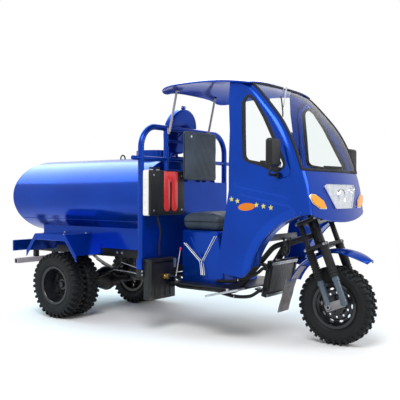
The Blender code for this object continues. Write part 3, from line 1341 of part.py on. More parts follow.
def radiator():
    """Cooler core in its side tanks, leaning forward on two ears of the frame."""
    core = block((0, -RADIATOR_HALF, 0), (RADIATOR_DEPTH, RADIATOR_HALF, RADIATOR_HEIGHT))
    for face in (-1, 1):
        near = -OVERRUN if face < 0 else RADIATOR_DEPTH - RADIATOR_RECESS
        far = RADIATOR_RECESS if face < 0 else RADIATOR_DEPTH + OVERRUN
        cut(core, block((near, -RADIATOR_HALF + RADIATOR_FRAME, RADIATOR_FRAME),
                        (far, RADIATOR_HALF - RADIATOR_FRAME, RADIATOR_HEIGHT - RADIATOR_FRAME)))
    for ear_low in (RADIATOR_FRAME, RADIATOR_HEIGHT - RADIATOR_FRAME * 2):
        fuse(core, block((-RADIATOR_EAR, -RADIATOR_HALF + RADIATOR_FRAME / 4, ear_low),
                         (RADIATOR_FRAME / 4, RADIATOR_HALF - RADIATOR_FRAME / 4, ear_low + RADIATOR_FRAME / 2)))
    place = Matrix.Translation((RADIATOR_X, 0, RADIATOR_LOW_Z)) @ Matrix.Rotation(RADIATOR_LEAN, 4, "Y")
    core.data.transform(place)
    return cut(core, front_frame_tube(-1, SEAT_GAP), front_frame_tube(1, SEAT_GAP))


def front_setback(z):
    """How far the front centre line lies behind the nose at a height, smooth between its stations."""
    share = min(max((z - CAB_FOOT_Z) / CAB_HEIGHT, 0), 1)
    heights = FRONT_HEIGHT_SHARES
    setbacks = FRONT_SETBACK_SHARES
    last = len(heights) - 2
    index = min(sum(1 for height in heights[1:-1] if height <= share), last)
    before = max(index - 1, 0)
    after = min(index + 2, last + 1)
    run = heights[index + 1] - heights[index]
    t = (share - heights[index]) / run
    slope_in = (setbacks[index + 1] - setbacks[before]) / (heights[index + 1] - heights[before]) * run
    slope_out = (setbacks[after] - setbacks[index]) / (heights[after] - heights[index]) * run
    value = (setbacks[index] * (2 * t ** 3 - 3 * t ** 2 + 1) + slope_in * (t ** 3 - 2 * t ** 2 + t)
             + setbacks[index + 1] * (3 * t ** 2 - 2 * t ** 3) + slope_out * (t ** 3 - t ** 2))
    return value * CAB_HEIGHT


def cab_half(z):
    climb = max(min(z, CAB_TOP_Z) - CAB_NARROWING_START_Z, 0) / (CAB_TOP_Z - CAB_NARROWING_START_Z)
    return CAB_HALF - CAB_TOP_NARROWING * climb ** 1.5


def cab_front(y, z):
    """The shell's front at a place across and a height."""
    half = cab_half(z)
    return CAB_NOSE_X - front_setback(z) - CAB_BOW * (y / half) ** 2


def cab_corner(angle, z):
    half = cab_half(z)
    y = half - CAB_CORNER_R + CAB_CORNER_R * math.sin(angle)
    return Vector((cab_front(y, z) - CAB_CORNER_R * (1 - math.cos(angle)), y, z))


def side_skin(sign):
    """Full side of the shell, from the rear limit round the corner to the seam at the front."""
    top_z = CAB_TOP_Z + CAB_TOP_SPARE
    corner_share = 0.35
    side_steps = 7

    def surface(u, v):
        z = CAB_FOOT_Z + (top_z - CAB_FOOT_Z) * v
        if u < corner_share:
            point = cab_corner(math.pi / 2 * u / corner_share, z)
        else:
            point = cab_corner(math.pi / 2, z)
            run = (u - corner_share) / (1 - corner_share)
            point.x += (CAB_REAR_X - point.x) * run
        return (point.x, sign * point.y, z)

    return skin(surface, 4 + side_steps, CAB_ROWS, CAB_SHEET, reverse=sign < 0)


def arch_points(radius, start, end, steps):
    turns = [start + (end - start) * step / steps for step in range(steps + 1)]
    return [(ARCH_X + radius * math.cos(turn), ARCH_Z + radius * math.sin(turn)) for turn in turns]


def side_outline():
    """Side view of the panel: rear edge, foot and wheel arch, open to the front and top."""
    rear = [(CAB_REAR_X + SIDE_LENGTH * along, CAB_FOOT_Z + CAB_HEIGHT * up) for along, up in SIDE_REAR_SHARES]
    arch = arch_points(ARCH_R, ARCH_OPEN, ARCH_START, 10)
    top_z = CAB_TOP_Z + CAB_TOP_SPARE + OVERRUN
    front = [(CAB_NOSE_X + OVERRUN * 4, top_z), (CAB_NOSE_X + OVERRUN * 4, arch[0][1])]
    return rear + front + arch


def side_window():
    return [(CAB_REAR_X + SIDE_LENGTH * along, CAB_FOOT_Z + CAB_HEIGHT * up) for along, up in WINDOW_SHARES]


def arch_flange(sign):
    """The inward band round the wheel arch."""
    steps = 10
    outer = arch_points(ARCH_R + ARCH_FLANGE_SHEET, ARCH_FLANGE_START, ARCH_END, steps)
    inner = arch_points(ARCH_R, ARCH_END, ARCH_FLANGE_START, steps)
    span = sorted((sign * ARCH_FLANGE_Y, sign * (CAB_HALF - CAB_SHEET / 2)))
    return prism("y", outer + inner, span[0], span[1])


def cab_side(sign):
    panel = side_skin(sign)
    span = sorted((0, sign * (CAB_HALF + OVERRUN)))
    keep_inside(panel, prism("y", side_outline(), span[0], span[1]))
    window_span = sorted((sign * CAB_HALF / 2, sign * (CAB_HALF + OVERRUN)))
    cut(panel, prism("y", side_window(), window_span[0], window_span[1]))
    fuse(panel, arch_flange(sign))
    return cut(panel, roof_clearance())


def front_skin(low, high, rows, thickness, low_rise=0):
    """A panel of the shell's front between two heights; the low edge may rise to the sides."""
    def surface(u, v):
        across = 2 * u - 1
        foot = low + low_rise * across ** 2
        z = foot + (high - foot) * v
        y = across * (cab_half(z) - CAB_CORNER_R - CAB_SEAM)
        return (cab_front(y, z), y, z)

    return skin(surface, 10, rows, thickness)


def cab_nose():
    return front_skin(NOSE_LOW_Z, SCREEN_LOW_Z, 5, CAB_SHEET, NOSE_RISE)


def windscreen():
    screen = front_skin(SCREEN_LOW_Z + SCREEN_SEAM, SCREEN_HIGH_Z, 8, SCREEN_SHEET)
    return cut(screen, roof_clearance())


def roof_half(x):
    """Half-width of the roof at a place along it, with round rear corners and a slow taper forward."""
    along = x - ROOF_REAR_X
    taper = ROOF_TAPER * along / ROOF_LENGTH
    half = ROOF_HALF - taper
    if along < ROOF_CORNER_R:
        back = ROOF_CORNER_R - along
        half -= ROOF_CORNER_R - math.sqrt(max(ROOF_CORNER_R ** 2 - back ** 2, 0))
    return half


def roof_surface(u, v):
    """A point on the canopy's crowned top, u across and v from the rear edge forward."""
    along = v ** ROOF_ROW_POWER
    x = ROOF_REAR_X + ROOF_LENGTH * along
    across = 2 * u - 1
    ends = 1 - ROOF_END_FALL * abs(2 * along - 1) ** ROOF_END_POWER
    crown = ROOF_CROWN * (1 - ROOF_SIDE_FALL * across ** 2) * ends
    return (x, across * roof_half(x), ROOF_EDGE_Z + crown - ROOF_LIP * across ** 4)


def roof():
    """Crowned canopy with a turned-down edge."""
    return skin(roof_surface, 10, 9, ROOF_SHEET, reverse=True)


def roof_clearance():
    """The space that the canopy and what lies above it take up, for cutting what stands under it."""
    below = ROOF_SHEET + SEAT_GAP
    above = ROOF_CROWN * 2

    def surface(u, v):
        x, y, z = roof_surface(u, v)
        return (x + SEAT_GAP * ((v == 1) - (v == 0)), y + SEAT_GAP * ((u == 1) - (u == 0)), z)

    return skin(surface, 10, 9, below + above, reverse=True, inner_share=below / (below + above))


def roof_pole(sign):
    """Thin stay from the hoop's pad up to the roof's underside."""
    foot_x = HOOP_X + PAD_DEPTH + SEAT_GAP
    y = sign * POLE_Y
    pole = rod((foot_x + POLE_R * 1.1, y, HOOP_TOP_Z - PAD_HEIGHT * 0.6), (POLE_TOP_X, y, ROOF_EDGE_Z + ROOF_CROWN / 2),
               POLE_R)
    half = POLE_R * 1.6
    fuse(pole, block((foot_x, y - half, HOOP_TOP_Z - PAD_HEIGHT), (foot_x + POLE_TAB, y + half, HOOP_TOP_Z)))
    return cut(pole, roof_clearance())


def mirror(sign):
    """Door mirror: rounded housing on a bent arm from the windscreen corner."""
    half = Vector((MIRROR_DEPTH / 2, MIRROR_WIDTH / 2, MIRROR_HEIGHT / 2))
    centre = Vector((MIRROR_X, sign * MIRROR_Y, MIRROR_FOOT_Z + MIRROR_RISE))
    housing = eased(block(centre - half, centre + half), MIRROR_DEPTH / 4, 1)
    root = cab_corner(math.pi / 2, MIRROR_FOOT_Z)
    foot = Vector((root.x - MIRROR_FOOT_INSET, sign * (root.y + SEAT_GAP), MIRROR_FOOT_Z))
    corners = [foot, foot + Vector((0, sign * MIRROR_WIDTH, 0)), centre - Vector((0, 0, MIRROR_HEIGHT / 3))]
    fuse(housing, tube(rounded_path(corners, MIRROR_DEPTH, 3), MIRROR_ARM_R, 2))
    return housing


def lamp_on_nose(outline, depth):
    """A lamp lens: an outline across the nose, laid on the shell's front and raised by its depth."""
    ys = [y for y, z in outline]
    zs = [z for y, z in outline]
    near = min(ys) - JOIN_DEPTH
    width = max(ys) + JOIN_DEPTH - near
    low = min(zs) - JOIN_DEPTH
    height = max(zs) + JOIN_DEPTH - low

    def surface(u, v):
        z = low + height * v
        y = near + width * u
        corner = max(abs(y) - (cab_half(z) - CAB_CORNER_R), 0)
        round_off = CAB_CORNER_R - math.sqrt(max(CAB_CORNER_R ** 2 - corner ** 2, 0))
        return (cab_front(y, z) - round_off + depth, y, z)

    lamp = skin(surface, 8, 4, depth - LAMP_STANDOFF)
    return keep_inside(lamp, prism("x", outline, CAB_NOSE_X - CAB_HEIGHT / 8, CAB_NOSE_X + depth + OVERRUN))


def headlamp():
    outline = [(-HEADLAMP_LOW_HALF, HEADLAMP_LOW_Z), (HEADLAMP_LOW_HALF, HEADLAMP_LOW_Z),
               (HEADLAMP_TOP_HALF, HEADLAMP_TOP_Z), (-HEADLAMP_TOP_HALF, HEADLAMP_TOP_Z)]
    return lamp_on_nose(outline, HEADLAMP_DEPTH)


def turn_lamp(sign):
    middle = (TURN_IN_Y + TURN_OUT_Y) / 2
    half = (TURN_OUT_Y - TURN_IN_Y) / 2
    leaf_shares = ((-1, -0.5), (-0.5, -1), (0.4, -0.6), (1, 0.3), (0.4, 0.9), (-0.4, 0.7))
    outline = [(sign * (middle + half * across), TURN_Z + TURN_HALF_HEIGHT * up) for across, up in leaf_shares]
    return lamp_on_nose(outline, TURN_DEPTH)


def on_axis(along, forward, y):
    """A point given in the steering's own frame."""
    point = HEAD_CENTRE + HEAD_UP * along + HEAD_FORWARD * forward
    return Vector((point.x, y, point.z))


def axle_along():
    return (BODY_ORIGINS["front_wheel"] - HEAD_CENTRE).dot(HEAD_UP)


def axle_forward():
    return (BODY_ORIGINS["front_wheel"] - HEAD_CENTRE).dot(HEAD_FORWARD)


def yoke(level):
    """A clamp plate that holds the stem and all four legs."""
    margin = LEG_UPPER_R + YOKE_THICKNESS / 3
    outline = [(REAR_LEG_OFFSET - margin, -LEG_Y - margin), (FRONT_LEG_OFFSET + margin, -LEG_Y - margin),
               (FRONT_LEG_OFFSET + margin, -LEG_Y + margin), (FRONT_LEG_OFFSET - margin / 2, 0),
               (FRONT_LEG_OFFSET + margin, LEG_Y - margin), (FRONT_LEG_OFFSET + margin, LEG_Y + margin),
               (REAR_LEG_OFFSET - margin, LEG_Y + margin)]
    plate = prism("z", outline, 0, YOKE_THICKNESS)
    turn = Matrix.Rotation(-RAKE, 4, "Y")
    plate.data.transform(Matrix.Translation(HEAD_CENTRE + HEAD_UP * level) @ turn)
    return plate


def fork_leg(sign, forward):
    """One telescopic leg: slim top, ribbed bellows over the spring and the lower tube."""
    y = sign * LEG_Y
    top = HEAD_HALF + YOKE_GAP + YOKE_THICKNESS * 1.3
    bellows_low = -LEG_BELLOWS_TOP - LEG_BELLOWS_LENGTH
    end = axle_along() - LEG_END_DROP / 2
    leg = rod(on_axis(top, forward, y), on_axis(bellows_low, forward, y), LEG_UPPER_R)
    rib = LEG_BELLOWS_LENGTH / BELLOWS_RIBS
    profile = [(0, bellows_low)]
    for index in range(BELLOWS_RIBS):
        base = bellows_low + rib * index
        profile += [(LEG_BELLOWS_R * 0.8, base), (LEG_BELLOWS_R, base + rib / 2)]
    profile += [(LEG_BELLOWS_R * 0.8, -LEG_BELLOWS_TOP), (0, -LEG_BELLOWS_TOP)]
    fuse(leg, turned_solid(profile, on_axis(0, forward, y), HEAD_UP, 10))
    fuse(leg, rod(on_axis(bellows_low + rib / 2, forward, y), on_axis(end, forward, y), LEG_LOWER_R))
    return leg


def axle_shoe(sign):
    """The cast shoe that joins a pair of legs and holds the axle's end."""
    along = axle_along()
    low = along - SHOE_MARGIN
    high = along + SHOE_MARGIN
    rear = REAR_LEG_OFFSET - SHOE_MARGIN
    front = FRONT_LEG_OFFSET + SHOE_MARGIN
    outline_shares = ((rear, low), (front - SHOE_MARGIN / 2, low), (front, high), (rear, high))
    corners = [on_axis(up, forward, 0) for forward, up in outline_shares]
    outline = [(corner.x, corner.z) for corner in corners]
    middle = sign * LEG_Y
    return prism("y", outline, middle - SHOE_THICKNESS / 2, middle + SHOE_THICKNESS / 2)


def fork():
    stem_low = -HEAD_HALF - YOKE_GAP - YOKE_THICKNESS
    stem_high = -stem_low
    frame = yoke(-HEAD_HALF - YOKE_GAP - YOKE_THICKNESS)
    fuse(frame, rod(on_axis(stem_low + JOIN_DEPTH, 0, 0), on_axis(stem_high - JOIN_DEPTH, 0, 0), STEM_R, 16))
    fuse(frame, yoke(HEAD_HALF + YOKE_GAP))
    for side, sign in SIDES:
        fuse(frame, fork_leg(sign, FRONT_LEG_OFFSET), fork_leg(sign, REAR_LEG_OFFSET))
        fuse(frame, axle_shoe(sign))
    reach = LEG_Y + SHOE_THICKNESS
    fuse(frame, rod((WHEELBASE, -reach, AXLE_Z), (WHEELBASE, reach, AXLE_Z), FRONT_AXLE_R))
    return frame


def guard_point(angle, radius):
    return (WHEELBASE + radius * math.cos(angle), AXLE_Z + radius * math.sin(angle))


def front_mudguard():
    """Crowned blade over the front wheel, with the boss that bolts to the lower yoke."""
    def surface(u, v):
        angle = GUARD_REAR_ANGLE + (GUARD_FRONT_ANGLE - GUARD_REAR_ANGLE) * v
        across = 2 * u - 1
        x, z = guard_point(angle, GUARD_R + GUARD_SHEET - GUARD_CROWN * across ** 2)
        return (x, across * GUARD_HALF_WIDTH, z)

    guard = skin(surface, 6, 12, GUARD_SHEET, reverse=True)
    boss_top = -HEAD_HALF - YOKE_GAP - YOKE_THICKNESS - SEAT_GAP
    half = STEM_R * 1.5
    boss = prism("z", [(-half, -half), (half, -half), (half, half), (-half, half)], 0, -half)
    boss.data.transform(Matrix.Translation(on_axis(boss_top, 0, 0)) @ Matrix.Rotation(-RAKE, 4, "Y"))
    return fuse(guard, boss)


def mud_flap():
    """Flat grey flap that carries the mudguard down behind the wheel."""
    x, z = guard_point(GUARD_REAR_ANGLE, GUARD_R + GUARD_SHEET / 2)
    tangent = Vector((-math.sin(FLAP_TILT), -math.cos(FLAP_TILT)))
    normal = Vector((math.cos(FLAP_TILT), -math.sin(FLAP_TILT)))
    start = Vector((x, z)) + tangent * SEAT_GAP * 6
    end = start + tangent * FLAP_LENGTH
    outline = [start - normal * FLAP_SHEET / 2, start + normal * FLAP_SHEET / 2, end + normal * FLAP_SHEET / 2,
               end - normal * FLAP_SHEET / 2]
    return prism("y", [tuple(point) for point in outline], -GUARD_HALF_WIDTH, GUARD_HALF_WIDTH)


def handlebar():
    """Bar on its riser with grips and the instrument cluster."""
    foot = HEAD_HALF + YOKE_GAP + YOKE_THICKNESS + SEAT_GAP
    top = foot + BAR_RISE
    bar = rod(on_axis(foot, 0, 0), on_axis(top, 0, 0), RISER_R)
    middle = on_axis(top - BAR_R, 0, 0)
    corners = []
    for side, sign in SIDES:
        inner = middle + Vector((0, sign * BAR_HALF / 3, 0))
        rise = middle + Vector((-BAR_SWEEP / 4, sign * BAR_HALF * 0.6, BAR_CLIMB))
        end = middle + Vector((-BAR_SWEEP, sign * BAR_HALF, BAR_CLIMB))
        chain = [end, rise, inner]
        corners += chain if sign < 0 else list(reversed(chain))
        run = (end - rise).normalized()
        fuse(bar, rod(end - run * GRIP_LENGTH, end, GRIP_R))
    fuse(bar, tube(rounded_path(corners, BAR_R * 4, 3), BAR_R, 2))
    size = Vector(CLUSTER_SIZE)
    centre = middle + Vector((0, 0, size.z / 2))
    fuse(bar, eased(block(centre - size / 2, centre + size / 2), BAR_R, 1))
    return bar


def make_chassis(materials, bodies):
    settle(chassis_frame(), "chassis_frame", materials["black"], "chassis", bodies)
    settle(rear_axle(), "rear_axle", materials["black"], "chassis", bodies)
    settle(drive_shaft(), "drive_shaft", materials["black"], "chassis", bodies)
    settle(engine_block(), "engine_block", materials["steel"], "chassis", bodies)
    settle(exhaust(), "exhaust", materials["black"], "chassis", bodies)
    settle(radiator(), "radiator", materials["black"], "chassis", bodies)
    settle(rear_bar(), "rear_bar", materials["grey"], "chassis", bodies)


def make_tank_body(materials, bodies):
    settle(tank(), "tank", materials["blue"], "chassis", bodies)
    settle(tank_tray(), "tank_tray", materials["blue"], "chassis", bodies)
    settle(rear_board(), "rear_board", materials["blue"], "chassis", bodies)
    for side, sign in SIDES:
        settle(fender(sign), "fender_" + side, materials["blue"], "chassis", bodies)
        settle(tail_lamp(sign), "tail_lamp_" + side, materials["red"], "chassis", bodies)
    settle(tank_lid(), "manhole_lid", materials["blue"], "tank_lid", bodies)


def make_driver_place(materials, bodies):
    settle(guard_hoop(), "guard_hoop", materials["blue"], "chassis", bodies)
    settle(bulkhead(), "bulkhead", materials["blue"], "chassis", bodies)
    settle(canister(), "canister", materials["white"], "chassis", bodies)
    settle(canister_cover(), "canister_cover", materials["black"], "chassis", bodies)
    settle(battery_box(), "battery_box", materials["black"], "chassis", bodies)
    settle(water_valve(), "water_valve", materials["brass"], "chassis", bodies)
    settle(floor_pan(), "floor_pan", materials["black"], "chassis", bodies)
    settle(seat_tub(), "seat_tub", materials["blue"], "chassis", bodies)
    settle(seat_cushion(), "seat_cushion", materials["vinyl"], "chassis", bodies)
    settle(backrest(), "backrest", materials["vinyl"], "chassis", bodies)
    for side, sign in SIDES:
        settle(side_step(sign), "side_step_" + side, materials["steel"], "chassis", bodies)


def make_cab(materials, bodies):
    for side, sign in SIDES:
        settle(cab_side(sign), "cab_side_" + side, materials["blue"], "chassis", bodies)
        settle(roof_pole(sign), "roof_pole_" + side, materials["grey"], "chassis", bodies)
        settle(mirror(sign), "mirror_" + side, materials["black"], "chassis", bodies)
        settle(turn_lamp(sign), "turn_lamp_" + side, materials["amber"], "chassis", bodies)
    settle(cab_nose(), "cab_nose", materials["blue"], "chassis", bodies)
    settle(windscreen(), "windscreen", materials["glass"], "chassis", bodies)
    settle(roof(), "roof", materials["blue"], "chassis", bodies)
    settle(headlamp(), "headlamp", materials["lamp"], "chassis", bodies)


def make_steering(materials, bodies):
    settle(fork(), "fork", materials["shock"], "steering", bodies)
    settle(front_mudguard(), "front_mudguard", materials["blue"], "steering", bodies)
    settle(mud_flap(), "mud_flap", materials["flap"], "steering", bodies)
    settle(handlebar(), "handlebar", materials["black"], "steering", bodies)


def main():
    clear_scene()
    materials = make_materials()
    bodies = make_bodies()
    make_wheels(materials, bodies)
    make_chassis(materials, bodies)
    make_tank_body(materials, bodies)
    make_driver_place(materials, bodies)
    make_cab(materials, bodies)
    make_steering(materials, bodies)
    bpy.context.view_layer.update()


main()
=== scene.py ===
"""Looks of the water tanker tricycle: smooth panels, tyres with their tread, glass, lamps, seats and rigging.

Metres, +Z up, +X forward, +Y to the vehicle's left. Pieces are laid out along X from the rear axle, as the
CAD is, and finish_piece shifts them to the frame's own origin.
"""
import math

import bpy
from mathutils import Matrix, Vector


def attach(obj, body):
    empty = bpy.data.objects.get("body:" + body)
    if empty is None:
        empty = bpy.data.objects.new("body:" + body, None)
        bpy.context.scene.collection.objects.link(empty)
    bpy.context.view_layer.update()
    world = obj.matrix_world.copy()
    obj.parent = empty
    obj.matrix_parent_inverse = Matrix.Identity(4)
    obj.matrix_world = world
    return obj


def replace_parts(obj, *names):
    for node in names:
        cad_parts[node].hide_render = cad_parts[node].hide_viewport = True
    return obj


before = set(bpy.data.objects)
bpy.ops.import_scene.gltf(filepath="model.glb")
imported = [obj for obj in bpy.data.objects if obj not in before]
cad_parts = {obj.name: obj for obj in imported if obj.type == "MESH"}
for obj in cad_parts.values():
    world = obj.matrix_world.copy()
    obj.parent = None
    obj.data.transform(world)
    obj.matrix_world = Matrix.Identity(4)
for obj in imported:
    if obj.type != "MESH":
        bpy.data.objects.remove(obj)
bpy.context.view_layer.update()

# Layout
WHEELBASE = 2.41
TYRE_R = 0.29
AXLE_Z = TYRE_R * math.cos(math.pi / 40)
FRONT_REACH = WHEELBASE + AXLE_Z
REAR_REACH = 0.7976
CENTRE_X = (FRONT_REACH - REAR_REACH) / 2
SIGNS = (-1, 1)
SIDES = (("right", -1), ("left", 1))
HOOP_X = 0.985
HOOP_HALF = 0.58
HOOP_TOP_Z = 1.655
HOOP_ARM_Z = 1.39
HOOP_RAIL_Z = 1.185
POST_Y = 0.27
TAB_LOW_Z = 1.605
CARRIER_FACE_X = 1.0166
COVER_FACE_X = 1.1049
CAP_PLACES = (-0.525, -0.45)
FOOT_FACE_X = 1.0163
STAY_FACE_X = 1.0163
VALVE_Y = -0.42
VALVE_Z = 0.44
RAIL_Y = 0.25
SPRING_HALF = 0.45
HOSE_R = 0.0135
PLUG_LENGTH = 0.0095
EXHAUST_Y = -0.14
EXHAUST_Z = 0.395
TWIN_CENTRE_Y = 0.4995
TWIN_SPACING = 0.165
LUGS = 34

# Steering
RAKE = math.radians(22)
HEAD = Vector((2.24, 0, 0.8))
HEAD_UP = Vector((-math.sin(RAKE), 0, math.cos(RAKE)))
HEAD_FORWARD = Vector((math.cos(RAKE), 0, math.sin(RAKE)))
LEG_Y = 0.13
FRONT_LEG = 0.088
REAR_LEG = -0.034
YOKE_LEVELS = (-0.115, 0.085)
YOKE_BOLT_LEVELS = (-0.1, 0.1)
YOKE_THICKNESS = 0.03
YOKE_HALF = 0.16
LEG_TOP = 0.124
STEM_FOOT = 0.1153
BAR_RISE = 0.4743
GUARD_START = 157
GUARD_SWEEP = 105
FLAP_TOP = Vector((2.031, 0, 0.456))
FLAP_TILT = math.radians(16.2)
FLAP_LENGTH = 0.275
FLAP_HALF = 0.0855

# Tank and lid
TANK_HALF_WIDTH = 0.54
TANK_HALF_HEIGHT = 0.35
TANK_Z = 1.08
TANK_REAR_X = -0.72
TANK_FRONT_X = 0.94
TANK_SKIN = 0.0005
TANK_SHEET = 0.012
HEAD_DEPTH = 0.014
OUTLET_Z = 0.8
EYE_X = 0.225
LID_R = 0.197
LID_LEAN = math.radians(13)
LID_HINGE = Vector((0.8491916, 0, 1.4535))
NECK_X = 0.6401916
NECK_R = 0.18
NECK_TOP_Z = 1.49
NECK_FLOOR_Z = 1.28

# Cab shell
CAB_FOOT_Z = 0.45
CAB_HEIGHT = 1.49
CAB_NOSE_X = 2.469
CAB_HALF = 0.5
CAB_TOP_NARROWING = 0.045
CAB_NARROWING_START_Z = 1.3
PANEL_SHEET = 0.009
CAB_BOW = 0.045
CAB_CORNER_R = 0.07
CAB_REAR_X = 1.6
SIDE_LENGTH = 0.9
CAB_SEAM = 0.0025
ARCH_X = 2.46
ARCH_Z = 0.445
ARCH_R = 0.52
ARCH_FLANGE_Y = 0.36
ARCH_BAND = 0.065
ARCH_ROLL = 0.024
SCREEN_LOW_Z = 1.27
SCREEN_HIGH_Z = 1.935
SCREEN_FLAT = 0.86
SCREEN_WRAP = 0.4
NOSE_LOW_Z = 0.9
NOSE_RISE = 0.055
FRONT_HEIGHT_SHARES = (0.0, 0.17, 0.3, 0.37, 0.48, 0.55, 0.67, 0.785, 0.89, 0.96, 1.0)
FRONT_SETBACK_SHARES = (0.034, 0.01, 0.0, 0.009, 0.026, 0.046, 0.09, 0.154, 0.241, 0.308, 0.362)
SIDE_REAR_SHARES = ((0.322, 0.031), (0.085, 0.05), (0.2, 0.456), (0.2, 0.752), (0.176, 0.9), (0.176, 1.02))
WINDOW_CORNERS = ((1.8745, 1.782), (1.9258, 1.836), (1.9933, 1.7865), (2.077, 1.658), (2.2624, 1.302),
                  (2.1832, 1.256), (2.0446, 1.308), (1.9024, 1.347))
MIRROR_FOOT_X = 2.1917
MIRROR_BASE_Y = 0.5045
FILM_NEAR = 0.5001
FILM_FAR = 0.5014
PRESSED_STRIPS = (((1.841, 1.176), (2.277, 1.09)), ((1.893, 1.111), (2.301, 1.03)))

# Roof
ROOF_REAR_X = 1.06
ROOF_FRONT_X = 1.942
ROOF_HALF = 0.53
ROOF_TAPER = 0.055
ROOF_EDGE_Z = 1.9447
ROOF_CROWN = 0.095
ROOF_CORNER_R = 0.18
ROOF_LIP = 0.03


# Tools for modelling by hand
def deselect():
    if bpy.context.mode != "OBJECT":
        bpy.ops.object.mode_set(mode="OBJECT")
    bpy.ops.object.select_all(action="DESELECT")


def pick(*items):
    deselect()
    for item in items:
        item.select_set(True)
    bpy.context.view_layer.objects.active = items[0]
    return items[0]


def apply_modifiers(item):
    pick(item)
    for modifier in list(item.modifiers):
        bpy.ops.object.modifier_apply(modifier=modifier.name)
    return item


def edit_all(item, tool, **options):
    """Runs one edit-mode tool over the whole mesh."""
    pick(item)
    bpy.ops.object.mode_set(mode="EDIT")
    bpy.ops.mesh.select_all(action="SELECT")
    tool(**options)
    bpy.ops.object.mode_set(mode="OBJECT")
    return item


def soften(item, width, segments=2, angle=35):
    modifier = item.modifiers.new("soft_edges", "BEVEL")
    modifier.width = width
    modifier.segments = segments
    modifier.limit_method = "ANGLE"
    modifier.angle_limit = math.radians(angle)
    return apply_modifiers(item)


def add_block(low, high, bevel=0.0, segments=2):
    deselect()
    low = Vector(low)
    high = Vector(high)
    bpy.ops.mesh.primitive_cube_add(size=1, location=(low + high) / 2)
    item = bpy.context.active_object
    item.scale = high - low
    bpy.ops.object.transform_apply(location=True, rotation=True, scale=True)
    if bevel:
        edit_all(item, bpy.ops.mesh.bevel, offset=bevel, segments=segments, affect="EDGES")
    return item


def add_rod(start, end, radius, sides=24, end_radius=None, bevel=0.0):
    deselect()
    start = Vector(start)
    end = Vector(end)
    run = end - start
    turn = Vector((0, 0, 1)).rotation_difference(run).to_euler()
    tip = radius if end_radius is None else end_radius
    bpy.ops.mesh.primitive_cone_add(vertices=sides, radius1=radius, radius2=tip, depth=run.length,
                                    location=(start + end) / 2, rotation=turn)
    item = bpy.context.active_object
    bpy.ops.object.transform_apply(location=True, rotation=True, scale=True)
    return soften(item, bevel, 2, 50) if bevel else item


def add_lathe(profile, centre, axis=(0, 1, 0), steps=48):
    """Spins a closed outline of (radius, along) points about an axis."""
    deselect()
    bpy.ops.mesh.primitive_circle_add(vertices=len(profile))
    item = bpy.context.active_object
    for vertex, (radius, along) in zip(item.data.vertices, profile):
        vertex.co = (radius, along, 0)
    edit_all(item, bpy.ops.mesh.spin, steps=steps, angle=2 * math.pi, center=(0, 0, 0), axis=(0, 1, 0))
    edit_all(item, bpy.ops.mesh.remove_doubles, threshold=0.00002)
    edit_all(item, bpy.ops.mesh.normals_make_consistent, inside=False)
    turn = Vector((0, 1, 0)).rotation_difference(Vector(axis)).to_matrix().to_4x4()
    item.data.transform(Matrix.Translation(Vector(centre)) @ turn)
    return item


def both_ways(half):
    """A lathe outline from its upper half, given from the axis outwards."""
    return [(radius, -along) for radius, along in half] + half[::-1]


def in_plane(axis, first, second, along):
    if axis == "y":
        return Vector((first, along, second))
    if axis == "x":
        return Vector((along, first, second))
    return Vector((first, second, along))


def add_prism(axis, outline, start, end):
    deselect()
    bpy.ops.mesh.primitive_circle_add(vertices=len(outline), fill_type="NGON")
    item = bpy.context.active_object
    for vertex, (first, second) in zip(item.data.vertices, outline):
        vertex.co = in_plane(axis, first, second, start)
    shift = in_plane(axis, 0, 0, end - start)
    edit_all(item, bpy.ops.mesh.extrude_region_move, TRANSFORM_OT_translate={"value": shift})
    return edit_all(item, bpy.ops.mesh.normals_make_consistent, inside=False)


def side_prism(outline, sign, near, far):
    """A prism of (x, z) points on one side of the vehicle, between two distances from its middle."""
    low, high = sorted((sign * near, sign * far))
    return add_prism("y", outline, low, high)


def add_sheet(surface, columns, rows, thickness, flip=False, offset=-1.0):
    """A grid laid over surface(u, v) and given its wall."""
    deselect()
    bpy.ops.mesh.primitive_grid_add(x_subdivisions=columns, y_subdivisions=rows, size=1)
    item = bpy.context.active_object
    for vertex in item.data.vertices:
        vertex.co = surface(vertex.co.x + 0.5, vertex.co.y + 0.5)
    if flip:
        edit_all(item, bpy.ops.mesh.flip_normals)
    if thickness:
        modifier = item.modifiers.new("wall", "SOLIDIFY")
        modifier.thickness = thickness
        modifier.offset = offset
        apply_modifiers(item)
    return item


def bent_path(corners, radius, steps=6):
    """Points along straight runs, with each inner corner bent at a radius."""
    corners = [Vector(corner) for corner in corners]
    points = [corners[0]]
    for before, corner, after in zip(corners, corners[1:], corners[2:]):
        back = (before - corner).normalized()
        ahead = (after - corner).normalized()
        half_angle = back.angle(ahead) / 2
        reach = min(radius / math.tan(half_angle), (before - corner).length / 2, (after - corner).length / 2)
        bend = reach * math.tan(half_angle)
        centre = corner + (back + ahead).normalized() * (bend / math.sin(half_angle))
        start = corner + back * reach - centre
        end = corner + ahead * reach - centre
        for step in range(steps + 1):
            points.append(centre + start.slerp(end, step / steps).normalized() * bend)
    points.append(corners[-1])
    return points


